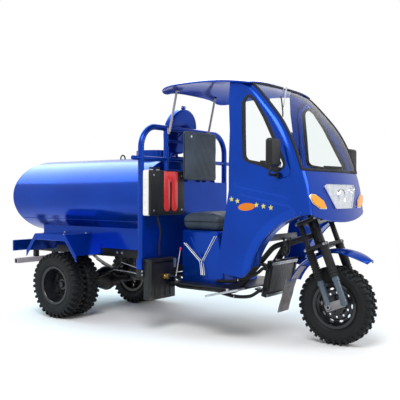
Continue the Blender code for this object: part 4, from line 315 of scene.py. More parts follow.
def add_pipe(points, radius, closed=False, resolution=3):
    """A round tube swept along points."""
    deselect()
    bpy.ops.curve.primitive_nurbs_path_add()
    item = bpy.context.active_object
    curve = item.data
    curve.splines.clear()
    spline = curve.splines.new("POLY")
    spline.points.add(len(points) - 1)
    for target, point in zip(spline.points, points):
        target.co = (*point, 1)
    spline.use_cyclic_u = closed
    curve.bevel_depth = radius
    curve.bevel_resolution = resolution
    curve.use_fill_caps = not closed
    curve.twist_mode = "MINIMUM"
    item.location = (0, 0, 0)
    item.rotation_euler = (0, 0, 0)
    pick(item)
    bpy.ops.object.convert(target="MESH")
    item = bpy.context.active_object
    edit_all(item, bpy.ops.mesh.remove_doubles, threshold=0.00002)
    return edit_all(item, bpy.ops.mesh.normals_make_consistent, inside=False)


def add_cable(points, radius, smooth_steps=5):
    """A limp line through points, rounded by a spline."""
    points = [Vector(point) for point in points]
    ends = [points[0] * 2 - points[1], *points, points[-1] * 2 - points[-2]]
    line = []
    for a, b, c, d in zip(ends, ends[1:], ends[2:], ends[3:]):
        for step in range(smooth_steps):
            t = step / smooth_steps
            line.append(((b * 2) + (c - a) * t + (a * 2 - b * 5 + c * 4 - d) * t * t
                         + (b * 3 - a - c * 3 + d) * t ** 3) / 2)
    line.append(points[-1])
    return add_pipe(line, radius, resolution=2)


def combine(target, tool, operation):
    modifier = target.modifiers.new(operation.lower(), "BOOLEAN")
    modifier.operation = operation
    modifier.solver = "EXACT"
    modifier.object = tool
    apply_modifiers(target)
    bpy.data.objects.remove(tool, do_unlink=True)
    return target


def cut(target, *tools):
    for tool in tools:
        combine(target, tool, "DIFFERENCE")
    return target


def join(*items):
    pick(*items)
    if len(items) > 1:
        bpy.ops.object.join()
    return bpy.context.active_object


def copy_of(item):
    pick(item)
    bpy.ops.object.duplicate()
    return bpy.context.active_object


def ring_of(item, count, centre, axis=(0, 1, 0), start=0.0):
    """Copies of an item turned about an axis and joined with it."""
    about = Matrix.Translation(Vector(centre))
    items = [item]
    for index in range(1, count):
        other = copy_of(item)
        turn = Matrix.Rotation(start + 2 * math.pi * index / count, 4, Vector(axis))
        other.data.transform(about @ turn @ about.inverted())
        items.append(other)
    item.data.transform(about @ Matrix.Rotation(start, 4, Vector(axis)) @ about.inverted())
    return join(*items)


def shifted(item, shift):
    item.data.transform(Matrix.Translation(Vector(shift)))
    return item


def finish_piece(item, name, finish, body="chassis", smooth=30):
    """Names, places and paints a piece and puts it on its body."""
    material, slot = FINISHES[finish]
    pick(item)
    item.name = name
    item.data.name = name
    item.data.transform(Matrix.Translation((-CENTRE_X, 0, 0)))
    item.data.materials.clear()
    item.data.materials.append(material)
    bpy.ops.object.shade_smooth_by_angle(angle=math.radians(smooth))
    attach(item, body)
    return item


def repaint(node, finish):
    """Gives a CAD node a finished material."""
    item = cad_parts[node]
    item.data.materials.clear()
    item.data.materials.append(FINISHES[finish][0])


# Shader building
def new_group(name, inputs, outputs):
    tree = bpy.data.node_groups.new(name, "ShaderNodeTree")
    for label, kind, value in inputs:
        socket = tree.interface.new_socket(label, in_out="INPUT", socket_type=kind)
        if value is not None:
            socket.default_value = value
    for label in outputs:
        tree.interface.new_socket(label, in_out="OUTPUT", socket_type="NodeSocketFloat")
    return tree, tree.nodes.new("NodeGroupInput"), tree.nodes.new("NodeGroupOutput")


def place(tree, kind, settings=None, **links):
    """Adds a node; each link is a value or another node's output for the input of that name."""
    node = tree.nodes.new(kind)
    for name, value in (settings or {}).items():
        setattr(node, name, value)
    for name, value in links.items():
        socket = node.inputs[int(name[1:])] if name[0] == "n" and name[1:].isdigit() else node.inputs[name]
        if isinstance(value, bpy.types.NodeSocket):
            tree.links.new(value, socket)
        else:
            socket.default_value = value
    return node


def blend_colours(tree, factor, first, second):
    node = place(tree, "ShaderNodeMix", {"data_type": "RGBA"}, n0=factor, n6=first, n7=second)
    return node.outputs[2]


def ranged(tree, value, low, high, to_low=0.0, to_high=1.0):
    node = place(tree, "ShaderNodeMapRange", None, n0=value, n1=low, n2=high, n3=to_low, n4=to_high)
    return node.outputs[0]


def make_variation_group():
    """Slow patches and fine grain, used by every finish."""
    tree, source, sink = new_group("surface_variation", (("Vector", "NodeSocketVector", None),
                                                         ("Patch Scale", "NodeSocketFloat", 5.0),
                                                         ("Grain Scale", "NodeSocketFloat", 300.0)),
                                   ("Patches", "Grain"))
    patches = place(tree, "ShaderNodeTexNoise", None, Vector=source.outputs[0],
                    Scale=source.outputs[1], Detail=4.0)
    grain = place(tree, "ShaderNodeTexNoise", None, Vector=source.outputs[0],
                  Scale=source.outputs[2], Detail=3.0)
    tree.links.new(ranged(tree, patches.outputs[0], 0.35, 0.65), sink.inputs[0])
    tree.links.new(grain.outputs[0], sink.inputs[1])
    return tree


def make_dust_group():
    """Road dust that thins out with height."""
    tree, source, sink = new_group("road_dust", (("Vector", "NodeSocketVector", None),
                                                 ("Height", "NodeSocketFloat", 0.5)), ("Dust",))
    parts = place(tree, "ShaderNodeSeparateXYZ", None, n0=source.outputs[0])
    rise = place(tree, "ShaderNodeMath", {"operation": "DIVIDE"}, n0=parts.outputs[2], n1=source.outputs[1])
    low = ranged(tree, rise.outputs[0], 0.0, 1.0, 1.0, 0.0)
    clumps = place(tree, "ShaderNodeTexNoise", None, Vector=source.outputs[0], Scale=14.0, Detail=5.0)
    mask = place(tree, "ShaderNodeMath", {"operation": "MULTIPLY"}, n0=low,
                 n1=ranged(tree, clumps.outputs[0], 0.42, 0.75))
    tree.links.new(mask.outputs[0], sink.inputs[0])
    return tree


def make_leather_group():
    """Pebbled vinyl grain with fine creases."""
    tree, source, sink = new_group("vinyl_grain", (("Vector", "NodeSocketVector", None),
                                                   ("Scale", "NodeSocketFloat", 320.0)), ("Height",))
    cells = place(tree, "ShaderNodeTexVoronoi", {"feature": "SMOOTH_F1"}, Vector=source.outputs[0],
                  Scale=source.outputs[1])
    creases = place(tree, "ShaderNodeTexNoise", None, Vector=source.outputs[0], Scale=38.0, Detail=6.0)
    total = place(tree, "ShaderNodeMath", {"operation": "ADD"}, n0=cells.outputs[0], n1=creases.outputs[0])
    tree.links.new(total.outputs[0], sink.inputs[0])
    return tree


VARIATION = make_variation_group()
DUST = make_dust_group()
LEATHER = make_leather_group()
DUST_COLOUR = (0.2, 0.17, 0.14, 1)


def start_material(name):
    material = bpy.data.materials.new(name)
    material.use_nodes = True
    tree = material.node_tree
    return material, tree, tree.nodes["Principled BSDF"]


def object_place(tree):
    return tree.nodes.new("ShaderNodeTexCoord").outputs["Object"]


def surface_finish(name, colour, tint, roughness, metallic=0.0, coat=0.0, patch=5.0, grain=300.0, bump=0.1,
                   depth=0.0004, dust=0.0, leather=False, specular=0.3):
    """A painted, moulded or metal finish: two close colours in patches, uneven gloss, bump and road dust."""
    material, tree, shader = start_material(name)
    spot = object_place(tree)
    variation = place(tree, "ShaderNodeGroup", {"node_tree": VARIATION}, n0=spot, n1=patch, n2=grain)
    base = blend_colours(tree, variation.outputs[0], (*colour, 1), (*tint, 1))
    if dust:
        dirt = place(tree, "ShaderNodeGroup", {"node_tree": DUST}, n0=spot, n1=dust)
        base = blend_colours(tree, dirt.outputs[0], base, DUST_COLOUR)
    tree.links.new(base, shader.inputs["Base Color"])
    gloss = ranged(tree, variation.outputs[0], 0.0, 1.0, roughness[0], roughness[1])
    tree.links.new(gloss, shader.inputs["Roughness"])
    height = variation.outputs[1]
    if leather:
        height = place(tree, "ShaderNodeGroup", {"node_tree": LEATHER}, n0=spot, n1=grain).outputs[0]
    relief = place(tree, "ShaderNodeBump", None, Strength=bump, Distance=depth, Height=height)
    tree.links.new(relief.outputs[0], shader.inputs["Normal"])
    shader.inputs["Metallic"].default_value = metallic
    shader.inputs["Specular IOR Level"].default_value = specular
    shader.inputs["Coat Weight"].default_value = coat
    shader.inputs["Coat Roughness"].default_value = 0.04
    return material


def brushed_finish(name, colour, tint, roughness, stretch=(900.0, 900.0, 30.0)):
    """Drawn or brushed metal with streaks along Z."""
    material, tree, shader = start_material(name)
    spot = object_place(tree)
    streak = place(tree, "ShaderNodeMapping", None, Vector=spot, Scale=stretch)
    lines = place(tree, "ShaderNodeTexNoise", None, Vector=streak.outputs[0], Scale=1.0, Detail=3.0)
    variation = place(tree, "ShaderNodeGroup", {"node_tree": VARIATION}, n0=spot, n1=18.0, n2=500.0)
    tree.links.new(blend_colours(tree, variation.outputs[0], (*colour, 1), (*tint, 1)),
                   shader.inputs["Base Color"])
    tree.links.new(ranged(tree, lines.outputs[0], 0.3, 0.7, roughness[0], roughness[1]),
                   shader.inputs["Roughness"])
    relief = place(tree, "ShaderNodeBump", None, Strength=0.15, Distance=0.0002, Height=lines.outputs[0])
    tree.links.new(relief.outputs[0], shader.inputs["Normal"])
    shader.inputs["Metallic"].default_value = 1.0
    return material


def clear_finish(name, colour, roughness):
    """Glass and lamp covers with faint smears in their gloss."""
    material, tree, shader = start_material(name)
    spot = object_place(tree)
    variation = place(tree, "ShaderNodeGroup", {"node_tree": VARIATION}, n0=spot, n1=3.0, n2=60.0)
    smear = ranged(tree, variation.outputs[0], 0.0, 1.0, roughness, roughness * 2.5)
    tree.links.new(smear, shader.inputs["Roughness"])
    shader.inputs["Base Color"].default_value = (*colour, 1)
    shader.inputs["Transmission Weight"].default_value = 1.0
    shader.inputs["IOR"].default_value = 1.08
    return material


def lens_finish(name, colour, tint, scale):
    """Ribbed moulded lens plastic."""
    material, tree, shader = start_material(name)
    spot = object_place(tree)
    cells = place(tree, "ShaderNodeTexVoronoi", {"feature": "F1"}, Vector=spot, Scale=scale)
    tree.links.new(blend_colours(tree, cells.outputs[0], (*colour, 1), (*tint, 1)),
                   shader.inputs["Base Color"])
    relief = place(tree, "ShaderNodeBump", None, Strength=0.35, Distance=0.001, Height=cells.outputs[0])
    tree.links.new(relief.outputs[0], shader.inputs["Normal"])
    shader.inputs["Roughness"].default_value = 0.12
    shader.inputs["Coat Weight"].default_value = 0.1
    return material


FINISHES = {
    "blue": (surface_finish("blue_enamel", (0.0012, 0.046, 0.37), (0.001, 0.036, 0.31), (0.15, 0.22),
                            metallic=0.62, coat=0.1, patch=2.2, grain=500, bump=0.03, dust=0.4,
                            specular=0.2), "gloss_blue"),
    "frame": (surface_finish("frame_paint", (0.007, 0.008, 0.009), (0.013, 0.013, 0.014), (0.35, 0.55),
                             grain=350, dust=0.4), "black_paint"),
    "black": (surface_finish("satin_black", (0.006, 0.0065, 0.008), (0.012, 0.012, 0.013), (0.3, 0.5),
                             grain=350, dust=0.36), "black_paint"),
    "tyre": (surface_finish("tyre_rubber", (0.005, 0.006, 0.007), (0.01, 0.011, 0.012), (0.5, 0.72),
                            patch=16, grain=420, bump=0.35, depth=0.0006, specular=0.22), "tyre"),
    "rim": (surface_finish("rim_enamel", (0.008, 0.009, 0.011), (0.014, 0.015, 0.018), (0.2, 0.36),
                           coat=0.3, grain=260), "rim_paint"),
    "cast": (surface_finish("cast_alloy", (0.2, 0.2, 0.21), (0.3, 0.3, 0.31), (0.42, 0.6), metallic=0.8,
                            patch=12, grain=220, bump=0.3, dust=0.7), "cast_grey"),
    "steel": (brushed_finish("bright_steel", (0.55, 0.56, 0.58), (0.42, 0.43, 0.46), (0.24, 0.42)),
              "bare_steel"),
    "chrome": (brushed_finish("lamp_chrome", (0.8, 0.82, 0.85), (0.66, 0.68, 0.72), (0.06, 0.14),
                              (40, 40, 40)), "bare_steel"),
    "vinyl": (surface_finish("seat_vinyl", (0.028, 0.04, 0.058), (0.05, 0.072, 0.098), (0.42, 0.6),
                             patch=7, grain=340, bump=0.35, depth=0.0012, leather=True), "seat_vinyl"),
    "glass": (clear_finish("cab_glass", (0.93, 0.96, 0.96), 0.01), "clear_glass"),
    "lens": (clear_finish("lamp_cover", (0.97, 0.98, 1), 0.02), "lamp_lens"),
    "amber": (lens_finish("amber_lens", (0.72, 0.25, 0.002), (0.84, 0.36, 0.004), 160), "amber_lens"),
    "red": (surface_finish("red_enamel", (0.55, 0.022, 0.028), (0.62, 0.035, 0.035), (0.25, 0.35),
                           coat=0.4, bump=0.04), "red_lens"),
    "tail": (lens_finish("tail_lens", (0.42, 0.01, 0.008), (0.6, 0.02, 0.012), 180), "red_lens"),
    "white": (surface_finish("white_plastic", (0.8, 0.78, 0.75), (0.72, 0.69, 0.66), (0.35, 0.5),
                             patch=8, grain=240, bump=0.08), "white_plastic"),
    "plastic": (surface_finish("black_plastic", (0.005, 0.006, 0.007), (0.009, 0.01, 0.011), (0.38, 0.55),
                               patch=9, grain=520, bump=0.2, depth=0.0005, dust=0.4), "black_plastic"),
    "rubber": (surface_finish("seal_rubber", (0.006, 0.006, 0.007), (0.012, 0.012, 0.013), (0.5, 0.7),
                              patch=12, grain=300, bump=0.12), "black_plastic"),
    "grey": (surface_finish("light_grey_paint", (0.46, 0.41, 0.43), (0.4, 0.35, 0.37), (0.35, 0.55),
                            grain=260, dust=0.5), "light_grey"),
    "flap": (surface_finish("flap_plastic", (0.24, 0.23, 0.24), (0.17, 0.165, 0.17), (0.5, 0.7),
                            patch=14, grain=320, bump=0.25, dust=0.6), "flap_grey"),
    "brass": (surface_finish("old_brass", (0.52, 0.34, 0.11), (0.36, 0.22, 0.07), (0.28, 0.5),
                             metallic=1, patch=40, grain=300, bump=0.2), "brass"),
    "shock": (surface_finish("shock_enamel", (0.08, 0.112, 0.15), (0.06, 0.084, 0.115), (0.28, 0.42),
                             metallic=0.35, coat=0.2, grain=280, dust=0.5), "shock_enamel"),
    "film": (surface_finish("orange_film", (0.62, 0.17, 0.01), (0.54, 0.12, 0.008), (0.35, 0.5),
                            bump=0.02), "white_plastic"),
    "star": (surface_finish("yellow_film", (0.62, 0.56, 0.14), (0.54, 0.48, 0.1), (0.35, 0.5),
                            bump=0.02), "white_plastic"),
}


# Wheels
def tyre_body():
    """Carcass with rounded shoulders and two bead-line ridges on each wall."""
    right = [(0.1524, -0.05), (0.16, -0.052), (0.1722, -0.0523), (0.178, -0.0595), (0.188, -0.0655),
             (0.19, -0.0672), (0.193, -0.0668), (0.206, -0.07), (0.222, -0.0712), (0.226, -0.0722),
             (0.229, -0.0712), (0.243, -0.069), (0.258, -0.064), (0.269, -0.054), (0.2755, -0.038),
             (0.2785, -0.018)]
    left = [(radius, -along) for radius, along in reversed(right)]
    return add_lathe(right + [(0.279, 0)] + left, (0, 0, 0), steps=96)


def shoulder_lug(sign, reach):
    """One block that starts near the middle, crosses the shoulder and runs down the wall."""
    outline = [(sign * 0.026, 0.272), (sign * 0.026, 0.2885), (sign * 0.052, 0.2875),
               (sign * 0.066, 0.2815), (sign * 0.0722, 0.27), (sign * 0.0724, reach),
               (sign * 0.066, reach - 0.002), (sign * 0.058, 0.262)]
    if sign > 0:
        outline.reverse()
    lug = add_prism("x", outline, -0.0115, 0.0115)
    for vertex in lug.data.vertices:
        vertex.co.x += sign * (abs(vertex.co.y) - 0.05) * 0.22
    return soften(lug, 0.002, 2)


def centre_lug(sign):
    """The small slanted block beside the middle groove."""
    outline = [(-0.017, sign * 0.003), (0.006, sign * 0.0015), (0.016, sign * 0.0225),
               (-0.007, sign * 0.0225)]
    if sign < 0:
        outline.reverse()
    lug = add_prism("z", outline, 0.274, 0.2887)
    return soften(lug, 0.0018, 2)


def tyre():
    """Carcass with two rows of lugs on each half, the halves half a pitch apart."""
    body = tyre_body()
    rows = []
    for sign, start in ((-1, 0.0), (1, math.pi / LUGS)):
        rows.append(ring_of(shoulder_lug(sign, 0.249), LUGS, (0, 0, 0), start=start))
        rows.append(ring_of(centre_lug(sign), LUGS, (0, 0, 0), start=start + math.pi / LUGS))
    return join(body, *rows)


def oval_hole(radius, width, height, depth):
    hole = add_rod((0, -depth, radius), (0, depth, radius), 0.5, 20)
    hole.data.transform(Matrix.Translation((0, 0, radius)) @ Matrix.Diagonal((width, 1, height, 1))
                        @ Matrix.Translation((0, 0, -radius)))
    return hole


def front_rim():
    """Pressed steel wheel: beads, drop centre, dished disc with two rings of holes, drum and hub."""
    half = [(0.152, -0.052), (0.17, -0.0525), (0.1718, -0.056), (0.17, -0.0585), (0.166, -0.058),
            (0.15, -0.0575), (0.1466, -0.054), (0.145, -0.04), (0.133, -0.026), (0.132, -0.012)]
    disc_near = [(0.13, -0.009), (0.112, -0.012), (0.104, -0.006), (0.076, -0.006), (0.072, -0.033),
                 (0.064, -0.038), (0.03, -0.0385), (0.027, -0.06), (0.015, -0.07), (0.0125, -0.074)]
    near = half + disc_near
    far = [(0.0125, 0.074), (0.015, 0.07), (0.027, 0.06), (0.03, 0.0385), (0.064, 0.038), (0.072, 0.033),
           (0.076, 0.001), (0.104, 0.001), (0.112, -0.005), (0.13, -0.002)]
    other = [(0.132, 0.012), (0.133, 0.026), (0.145, 0.04), (0.1466, 0.054), (0.15, 0.0575),
             (0.166, 0.058), (0.17, 0.0585), (0.1718, 0.056), (0.17, 0.0525), (0.152, 0.052),
             (0.15, 0.042), (0.137, 0.028), (0.136, -0.028), (0.15, -0.042)]
    rim = add_lathe(near + far + other, (0, 0, 0), steps=72)
    small = ring_of(add_rod((0, -0.02, 0.09), (0, 0.02, 0.09), 0.0085, 16), 10, (0, 0, 0))
    large = ring_of(oval_hole(0.121, 0.034, 0.015, 0.02), 10, (0, 0, 0), start=math.pi / 10)
    return cut(rim, small, large)


def wheel_bolts(radius, count, level, outward, size=0.009):
    """Studs with six-sided nuts on a circle."""
    stud = add_rod((0, outward * level, radius), (0, outward * (level + size * 2.2), radius), size / 2, 12)
    nut = add_rod((0, outward * level, radius), (0, outward * (level + size), radius), size, 6, bevel=0.001)
    return ring_of(join(nut, stud), count, (0, 0, 0))


def rear_rim(outward):
    """Two rims on one disc: the outer one is seen deep-dished, down to the hub and its nuts."""
    seat = 0.1515
    bead = 0.0825 + 0.0523
    outer = [(seat, bead), (0.17, bead), (0.1718, bead + 0.003), (0.17, bead + 0.0058),
             (0.15, bead + 0.005), (0.1462, bead), (0.1455, 0.105), (0.1415, 0.098), (0.1415, 0.03),
             (0.136, 0.012)]
    disc = [(0.112, 0.006), (0.1, 0.012), (0.07, 0.0125), (0.056, 0.012), (0.054, 0.04), (0.048, 0.0452),
            (0.028, 0.0455), (0.028, -0.139), (0.055, -0.139), (0.056, -0.006), (0.112, -0.006)]
    inner = [(0.1415, -0.012), (0.1455, -0.105), (0.1462, -bead), (0.17, -bead - 0.0058),
             (0.1718, -bead - 0.003), (0.17, -bead), (seat, -bead)]
    rim = add_lathe(outer + disc + inner, (0, 0, 0), axis=(0, outward, 0), steps=72)
    return cut(rim, ring_of(oval_hole(0.123, 0.04, 0.018, 0.03), 8, (0, 0, 0)))


def make_wheels():
    front = Vector((WHEELBASE, 0, AXLE_Z))
    piece = finish_piece(shifted(tyre(), front), "front_tyre_tread", "tyre", "front_wheel", 40)
    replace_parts(piece, "front_tyre")
    rim = join(shifted(front_rim(), front), shifted(wheel_bolts(0.05, 6, 0.038, -1, 0.006), front))
    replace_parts(finish_piece(rim, "front_wheel_rim", "rim", "front_wheel", 32), "front_rim")
    for side, sign in SIDES:
        body = "rear_wheels_" + side
        centre = Vector((0, sign * TWIN_CENTRE_Y, AXLE_Z))
        for twin, shift in (("outer", TWIN_SPACING / 2), ("inner", -TWIN_SPACING / 2)):
            spot = centre + Vector((0, sign * shift, 0))
            copy = copy_of(piece)
            copy.parent = None
            copy.data.transform(Matrix.Translation(spot - front + Vector((CENTRE_X, 0, 0))))
            node = "rear_tyre_" + twin + "_" + side
            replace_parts(finish_piece(copy, node + "_tread", "tyre", body, 40), node)
        rim = join(rear_rim(sign), wheel_bolts(0.088, 8, 0.01, sign), hub_cap(sign))
        rim = finish_piece(shifted(rim, centre), "rear_wheel_rim_" + side, "rim", body, 32)
        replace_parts(rim, "rear_rim_" + side)


def hub_cap(outward):
    profile = [(0, outward * 0.04), (0.03, outward * 0.04), (0.03, outward * 0.052),
               (0.024, outward * 0.062), (0.008, outward * 0.066), (0, outward * 0.066)]
    return add_lathe(profile, (0, 0, 0), steps=28)


# Tank
def barrel_outline(grow, steps=128):
    wide = TANK_HALF_WIDTH + grow
    tall = TANK_HALF_HEIGHT + grow
    angles = [2 * math.pi * (step + 0.5) / steps for step in range(steps)]
    return [(wide * math.cos(angle), TANK_Z + tall * math.sin(angle)) for angle in angles]


def tank_head(edge_x, inward):
    """Bulged head with a rounded knuckle inside the standing rim."""
    def surface(u, v):
        angle = 2 * math.pi * u
        reach = 1 - v
        dish = 0.029 * math.sqrt(max(1 - reach ** 4, 0))
        wide = (TANK_HALF_WIDTH - TANK_SHEET) * max(reach, 0.001)
        tall = (TANK_HALF_HEIGHT - TANK_SHEET) * max(reach, 0.001)
        return (edge_x + inward * (0.018 - dish), wide * math.cos(angle), TANK_Z + tall * math.sin(angle))

    head = add_sheet(surface, 96, 18, 0)
    edit_all(head, bpy.ops.mesh.remove_doubles, threshold=0.0006)
    return edit_all(head, bpy.ops.mesh.normals_make_consistent, inside=False)


def rim_band(x, width, grow):
    """A rolled band round the barrel."""
    band = add_prism("x", barrel_outline(grow), x - width / 2, x + width / 2)
    cut(band, add_prism("x", barrel_outline(-TANK_SHEET), x - width, x + width))
    return soften(band, min(width, 0.006) / 3, 2, 50)


def make_tank():
    rear = TANK_REAR_X + TANK_SKIN
    front = TANK_FRONT_X - TANK_SKIN
    barrel = add_prism("x", barrel_outline(-TANK_SKIN), rear, front)
    cut(barrel, add_prism("x", barrel_outline(-TANK_SHEET), rear - 0.01, rear + HEAD_DEPTH))
    cut(barrel, add_prism("x", barrel_outline(-TANK_SHEET), front - HEAD_DEPTH, front + 0.01))
    cut(barrel, add_rod((NECK_X, 0, NECK_FLOOR_Z), (NECK_X, 0, NECK_TOP_Z + 0.02), NECK_R - 0.006, 64))
    heads = [tank_head(rear, 1), tank_head(front, -1)]
    neck_profile = [(NECK_R, 1.3), (NECK_R + 0.006, 1.39), (NECK_R, 1.398), (NECK_R, NECK_TOP_Z - 0.001),
                    (NECK_R - 0.0015, NECK_TOP_Z), (NECK_R - 0.0045, NECK_TOP_Z),
                    (NECK_R - 0.006, NECK_TOP_Z - 0.001), (NECK_R - 0.006, 1.3)]
    neck = add_lathe(neck_profile, (NECK_X, 0, 0), (0, 0, 1), 72)
    seam = add_pipe([(x, -TANK_HALF_WIDTH * 0.8, TANK_Z - TANK_HALF_HEIGHT * 0.6)
                     for x in (rear + 0.02, front - 0.02)], 0.003)
    finish_piece(lifting_eye(), "lifting_eye", "black")
    tank = join(barrel, *heads, neck, seam, *hinge_ears(), tank_outlet())
    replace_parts(finish_piece(tank, "tank_barrel", "blue", smooth=32), "tank")
    bands = join(rim_band(rear + 0.008, 0.016, 0.0), rim_band(front - 0.008, 0.016, 0.0))
    finish_piece(bands, "tank_rims", "blue")


def hinge_ears():
    shape = ((-0.02, 1.405), (0.01, 1.405), (0.01, 1.456), (0.005, 1.4605), (-0.006, 1.4605),
             (-0.012, 1.45))
    outline = [(LID_HINGE.x + x, z) for x, z in shape]
    return [soften(side_prism(outline, sign, 0.0359, 0.0479), 0.0015, 2) for sign in SIGNS]


def tank_outlet():
    """Drain pipe and flange on the rear head."""
    pipe = add_rod((TANK_REAR_X + 0.07, 0, OUTLET_Z), (TANK_REAR_X - 0.04, 0, OUTLET_Z), 0.03, 32)
    flange = add_rod((TANK_REAR_X - 0.045, 0, OUTLET_Z), (TANK_REAR_X - 0.033, 0, OUTLET_Z), 0.046, 36,
                     bevel=0.0015)
    return join(pipe, flange)


def lifting_eye():
    top = TANK_Z + TANK_HALF_HEIGHT
    turns = [math.pi * step / 14 for step in range(15)]
    arc = [(EYE_X, 0.03 * math.cos(turn), top + 0.002 + 0.036 * math.sin(turn)) for turn in turns]
    return add_pipe([(EYE_X, 0.03, top - 0.03), *arc, (EYE_X, -0.03, top - 0.03)], 0.0068)


def make_lid():
    """Pressed manhole lid with stepped face, skirt, stiffening cross and hinge, stood open."""
    low = LID_HINGE.z
    high = low + 0.056
    profile = [(0, high - 0.004), (0.06, high - 0.004), (0.07, high), (0.176, high),
               (0.188, high - 0.003), (LID_R, high - 0.012), (LID_R, low + 0.004), (LID_R - 0.001, low),
               (0.19, low), (0.19, high - 0.012), (0.182, high - 0.009), (0, high - 0.01)]
    lid = add_lathe(profile, (NECK_X, 0, 0), (0, 0, 1), 72)
    parts = [lid]
    about = Matrix.Translation((NECK_X, 0, 0))
    for turn in (math.pi / 4, math.pi * 3 / 4):
        rib = add_block((NECK_X - 0.15, -0.006, high - 0.004), (NECK_X + 0.15, 0.006, high - 0.0003), 0.0015)
        rib.data.transform(about @ Matrix.Rotation(turn, 4, "Z") @ about.inverted())
        parts.append(rib)
    parts.append(add_block((NECK_X + 0.19, -0.034, low), (LID_HINGE.x, 0.034, low + 0.01), 0.002))
    parts.append(add_rod((LID_HINGE.x, -0.034, low), (LID_HINGE.x, 0.034, low), 0.0108, 24, bevel=0.001))
    parts.append(add_rod((LID_HINGE.x, -0.0475, low), (LID_HINGE.x, 0.0475, low), 0.0059, 20))
    edge_x = NECK_X - LID_R
    hole_x = edge_x - 0.015
    latch = add_block((edge_x - 0.027, -0.027, low + 0.009), (edge_x + 0.004, 0.027, low + 0.0158), 0.002)
    for sign in SIGNS:
        cut(latch, add_rod((hole_x, sign * 0.014, low), (hole_x, sign * 0.014, high), 0.006, 20))
    parts.append(latch)
    item = join(*parts)
    about = Matrix.Translation(LID_HINGE)
    item.data.transform(about @ Matrix.Rotation(math.pi / 2 + LID_LEAN, 4, "Y") @ about.inverted())
    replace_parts(finish_piece(item, "manhole_cover", "blue", "tank_lid"), "manhole_lid")


# Cab
def front_setback(z):
    share = min(max((z - CAB_FOOT_Z) / CAB_HEIGHT, 0), 1)
    heights = FRONT_HEIGHT_SHARES
    setbacks = FRONT_SETBACK_SHARES
    last = len(heights) - 2
    index = min(sum(1 for height in heights[1:-1] if height <= share), last)
    before = max(index - 1, 0)
    after = min(index + 2, last + 1)
    run = heights[index + 1] - heights[index]
    t = (share - heights[index]) / run
    slope_in = (setbacks[index + 1] - setbacks[before]) / (heights[index + 1] - heights[before]) * run
    slope_out = (setbacks[after] - setbacks[index]) / (heights[after] - heights[index]) * run
    value = (setbacks[index] * (2 * t ** 3 - 3 * t ** 2 + 1) + slope_in * (t ** 3 - 2 * t ** 2 + t)
             + setbacks[index + 1] * (3 * t ** 2 - 2 * t ** 3) + slope_out * (t ** 3 - t ** 2))
    return value * CAB_HEIGHT


def cab_half(z):
    climb = max(min(z, CAB_FOOT_Z + CAB_HEIGHT) - CAB_NARROWING_START_Z, 0)
    climb /= CAB_FOOT_Z + CAB_HEIGHT - CAB_NARROWING_START_Z
    return CAB_HALF - CAB_TOP_NARROWING * climb ** 1.5


def cab_front(y, z):
    return CAB_NOSE_X - front_setback(z) - CAB_BOW * (y / cab_half(z)) ** 2


def eased_step(value, low, high):
    t = min(max((value - low) / (high - low), 0), 1)
    return t * t * (3 - 2 * t)


def distance_to_line(point, start, end):
    run = Vector(end) - Vector(start)
    gap = Vector(point) - Vector(start)
    share = min(max(gap.dot(run) / run.length_squared, 0), 1)
    return (gap - run * share).length


def distance_to_outline(point, corners):
    return min(distance_to_line(point, a, b) for a, b in zip(corners, corners[1:] + corners[:1]))


def inside_outline(point, corners):
    x, z = point
    hit = False
    for (ax, az), (bx, bz) in zip(corners, corners[1:] + corners[:1]):
        if (az > z) != (bz > z) and x < (bx - ax) * (z - az) / (bz - az) + ax:
            hit = not hit
    return hit


def side_relief(x, z):
    """How far the side panel stands proud: pressed strips, sunk round the window, rolled round the arch."""
    relief = 0
    for start, end in PRESSED_STRIPS:
        relief += 0.008 * (1 - eased_step(distance_to_line((x, z), start, end), 0.007, 0.02))
    corners = list(WINDOW_CORNERS)
    gap = 0 if inside_outline((x, z), corners) else distance_to_outline((x, z), corners)
    relief -= 0.007 * (1 - eased_step(gap, 0.04, 0.058))
    out = math.hypot(x - ARCH_X, z - ARCH_Z) - ARCH_R
    return relief - ARCH_ROLL * (1 - eased_step(out, 0.0, ARCH_BAND))


def side_surface(sign):
    top_z = CAB_FOOT_Z + CAB_HEIGHT + 0.03
    corner_share = 0.16

    def surface(u, v):
        z = CAB_FOOT_Z + (top_z - CAB_FOOT_Z) * v
        half = cab_half(z)
        turn = math.pi / 2 * min(u / corner_share, 1)
        y = half - CAB_CORNER_R + CAB_CORNER_R * math.sin(turn)
        x = cab_front(y, z) - CAB_CORNER_R * (1 - math.cos(turn))
        if u > corner_share:
            x += (CAB_REAR_X - x) * (u - corner_share) / (1 - corner_share)
            y += side_relief(x, z) * eased_step(u, corner_share, corner_share + 0.05)
        return (x, sign * y, z)

    return surface


def arch_points(radius, start, end, steps):
    turns = [start + (end - start) * step / steps for step in range(steps + 1)]
    return [(ARCH_X + radius * math.cos(turn), ARCH_Z + radius * math.sin(turn)) for turn in turns]


def side_outline():
    rear = [(CAB_REAR_X + SIDE_LENGTH * x, 0, CAB_FOOT_Z + CAB_HEIGHT * z) for x, z in SIDE_REAR_SHARES]
    rear = [tuple(point.xz) for point in bent_path(rear, 0.05, 4)]
    arch = arch_points(ARCH_R, math.radians(84), math.radians(167), 40)
    top_z = CAB_FOOT_Z + CAB_HEIGHT + 0.05
    front = [(CAB_NOSE_X + 0.08, top_z), (CAB_NOSE_X + 0.08, arch[0][1])]
    return rear + front + arch


def rounded_outline(corners, radius, steps=6):
    """A closed outline with every corner rounded."""
    corners = [Vector((x, 0, z)) for x, z in corners]
    start = (corners[0] + corners[-1]) / 2
    points = bent_path([start, *corners, start], radius, steps)
    return [(point.x, point.z) for point in points[:-1]]


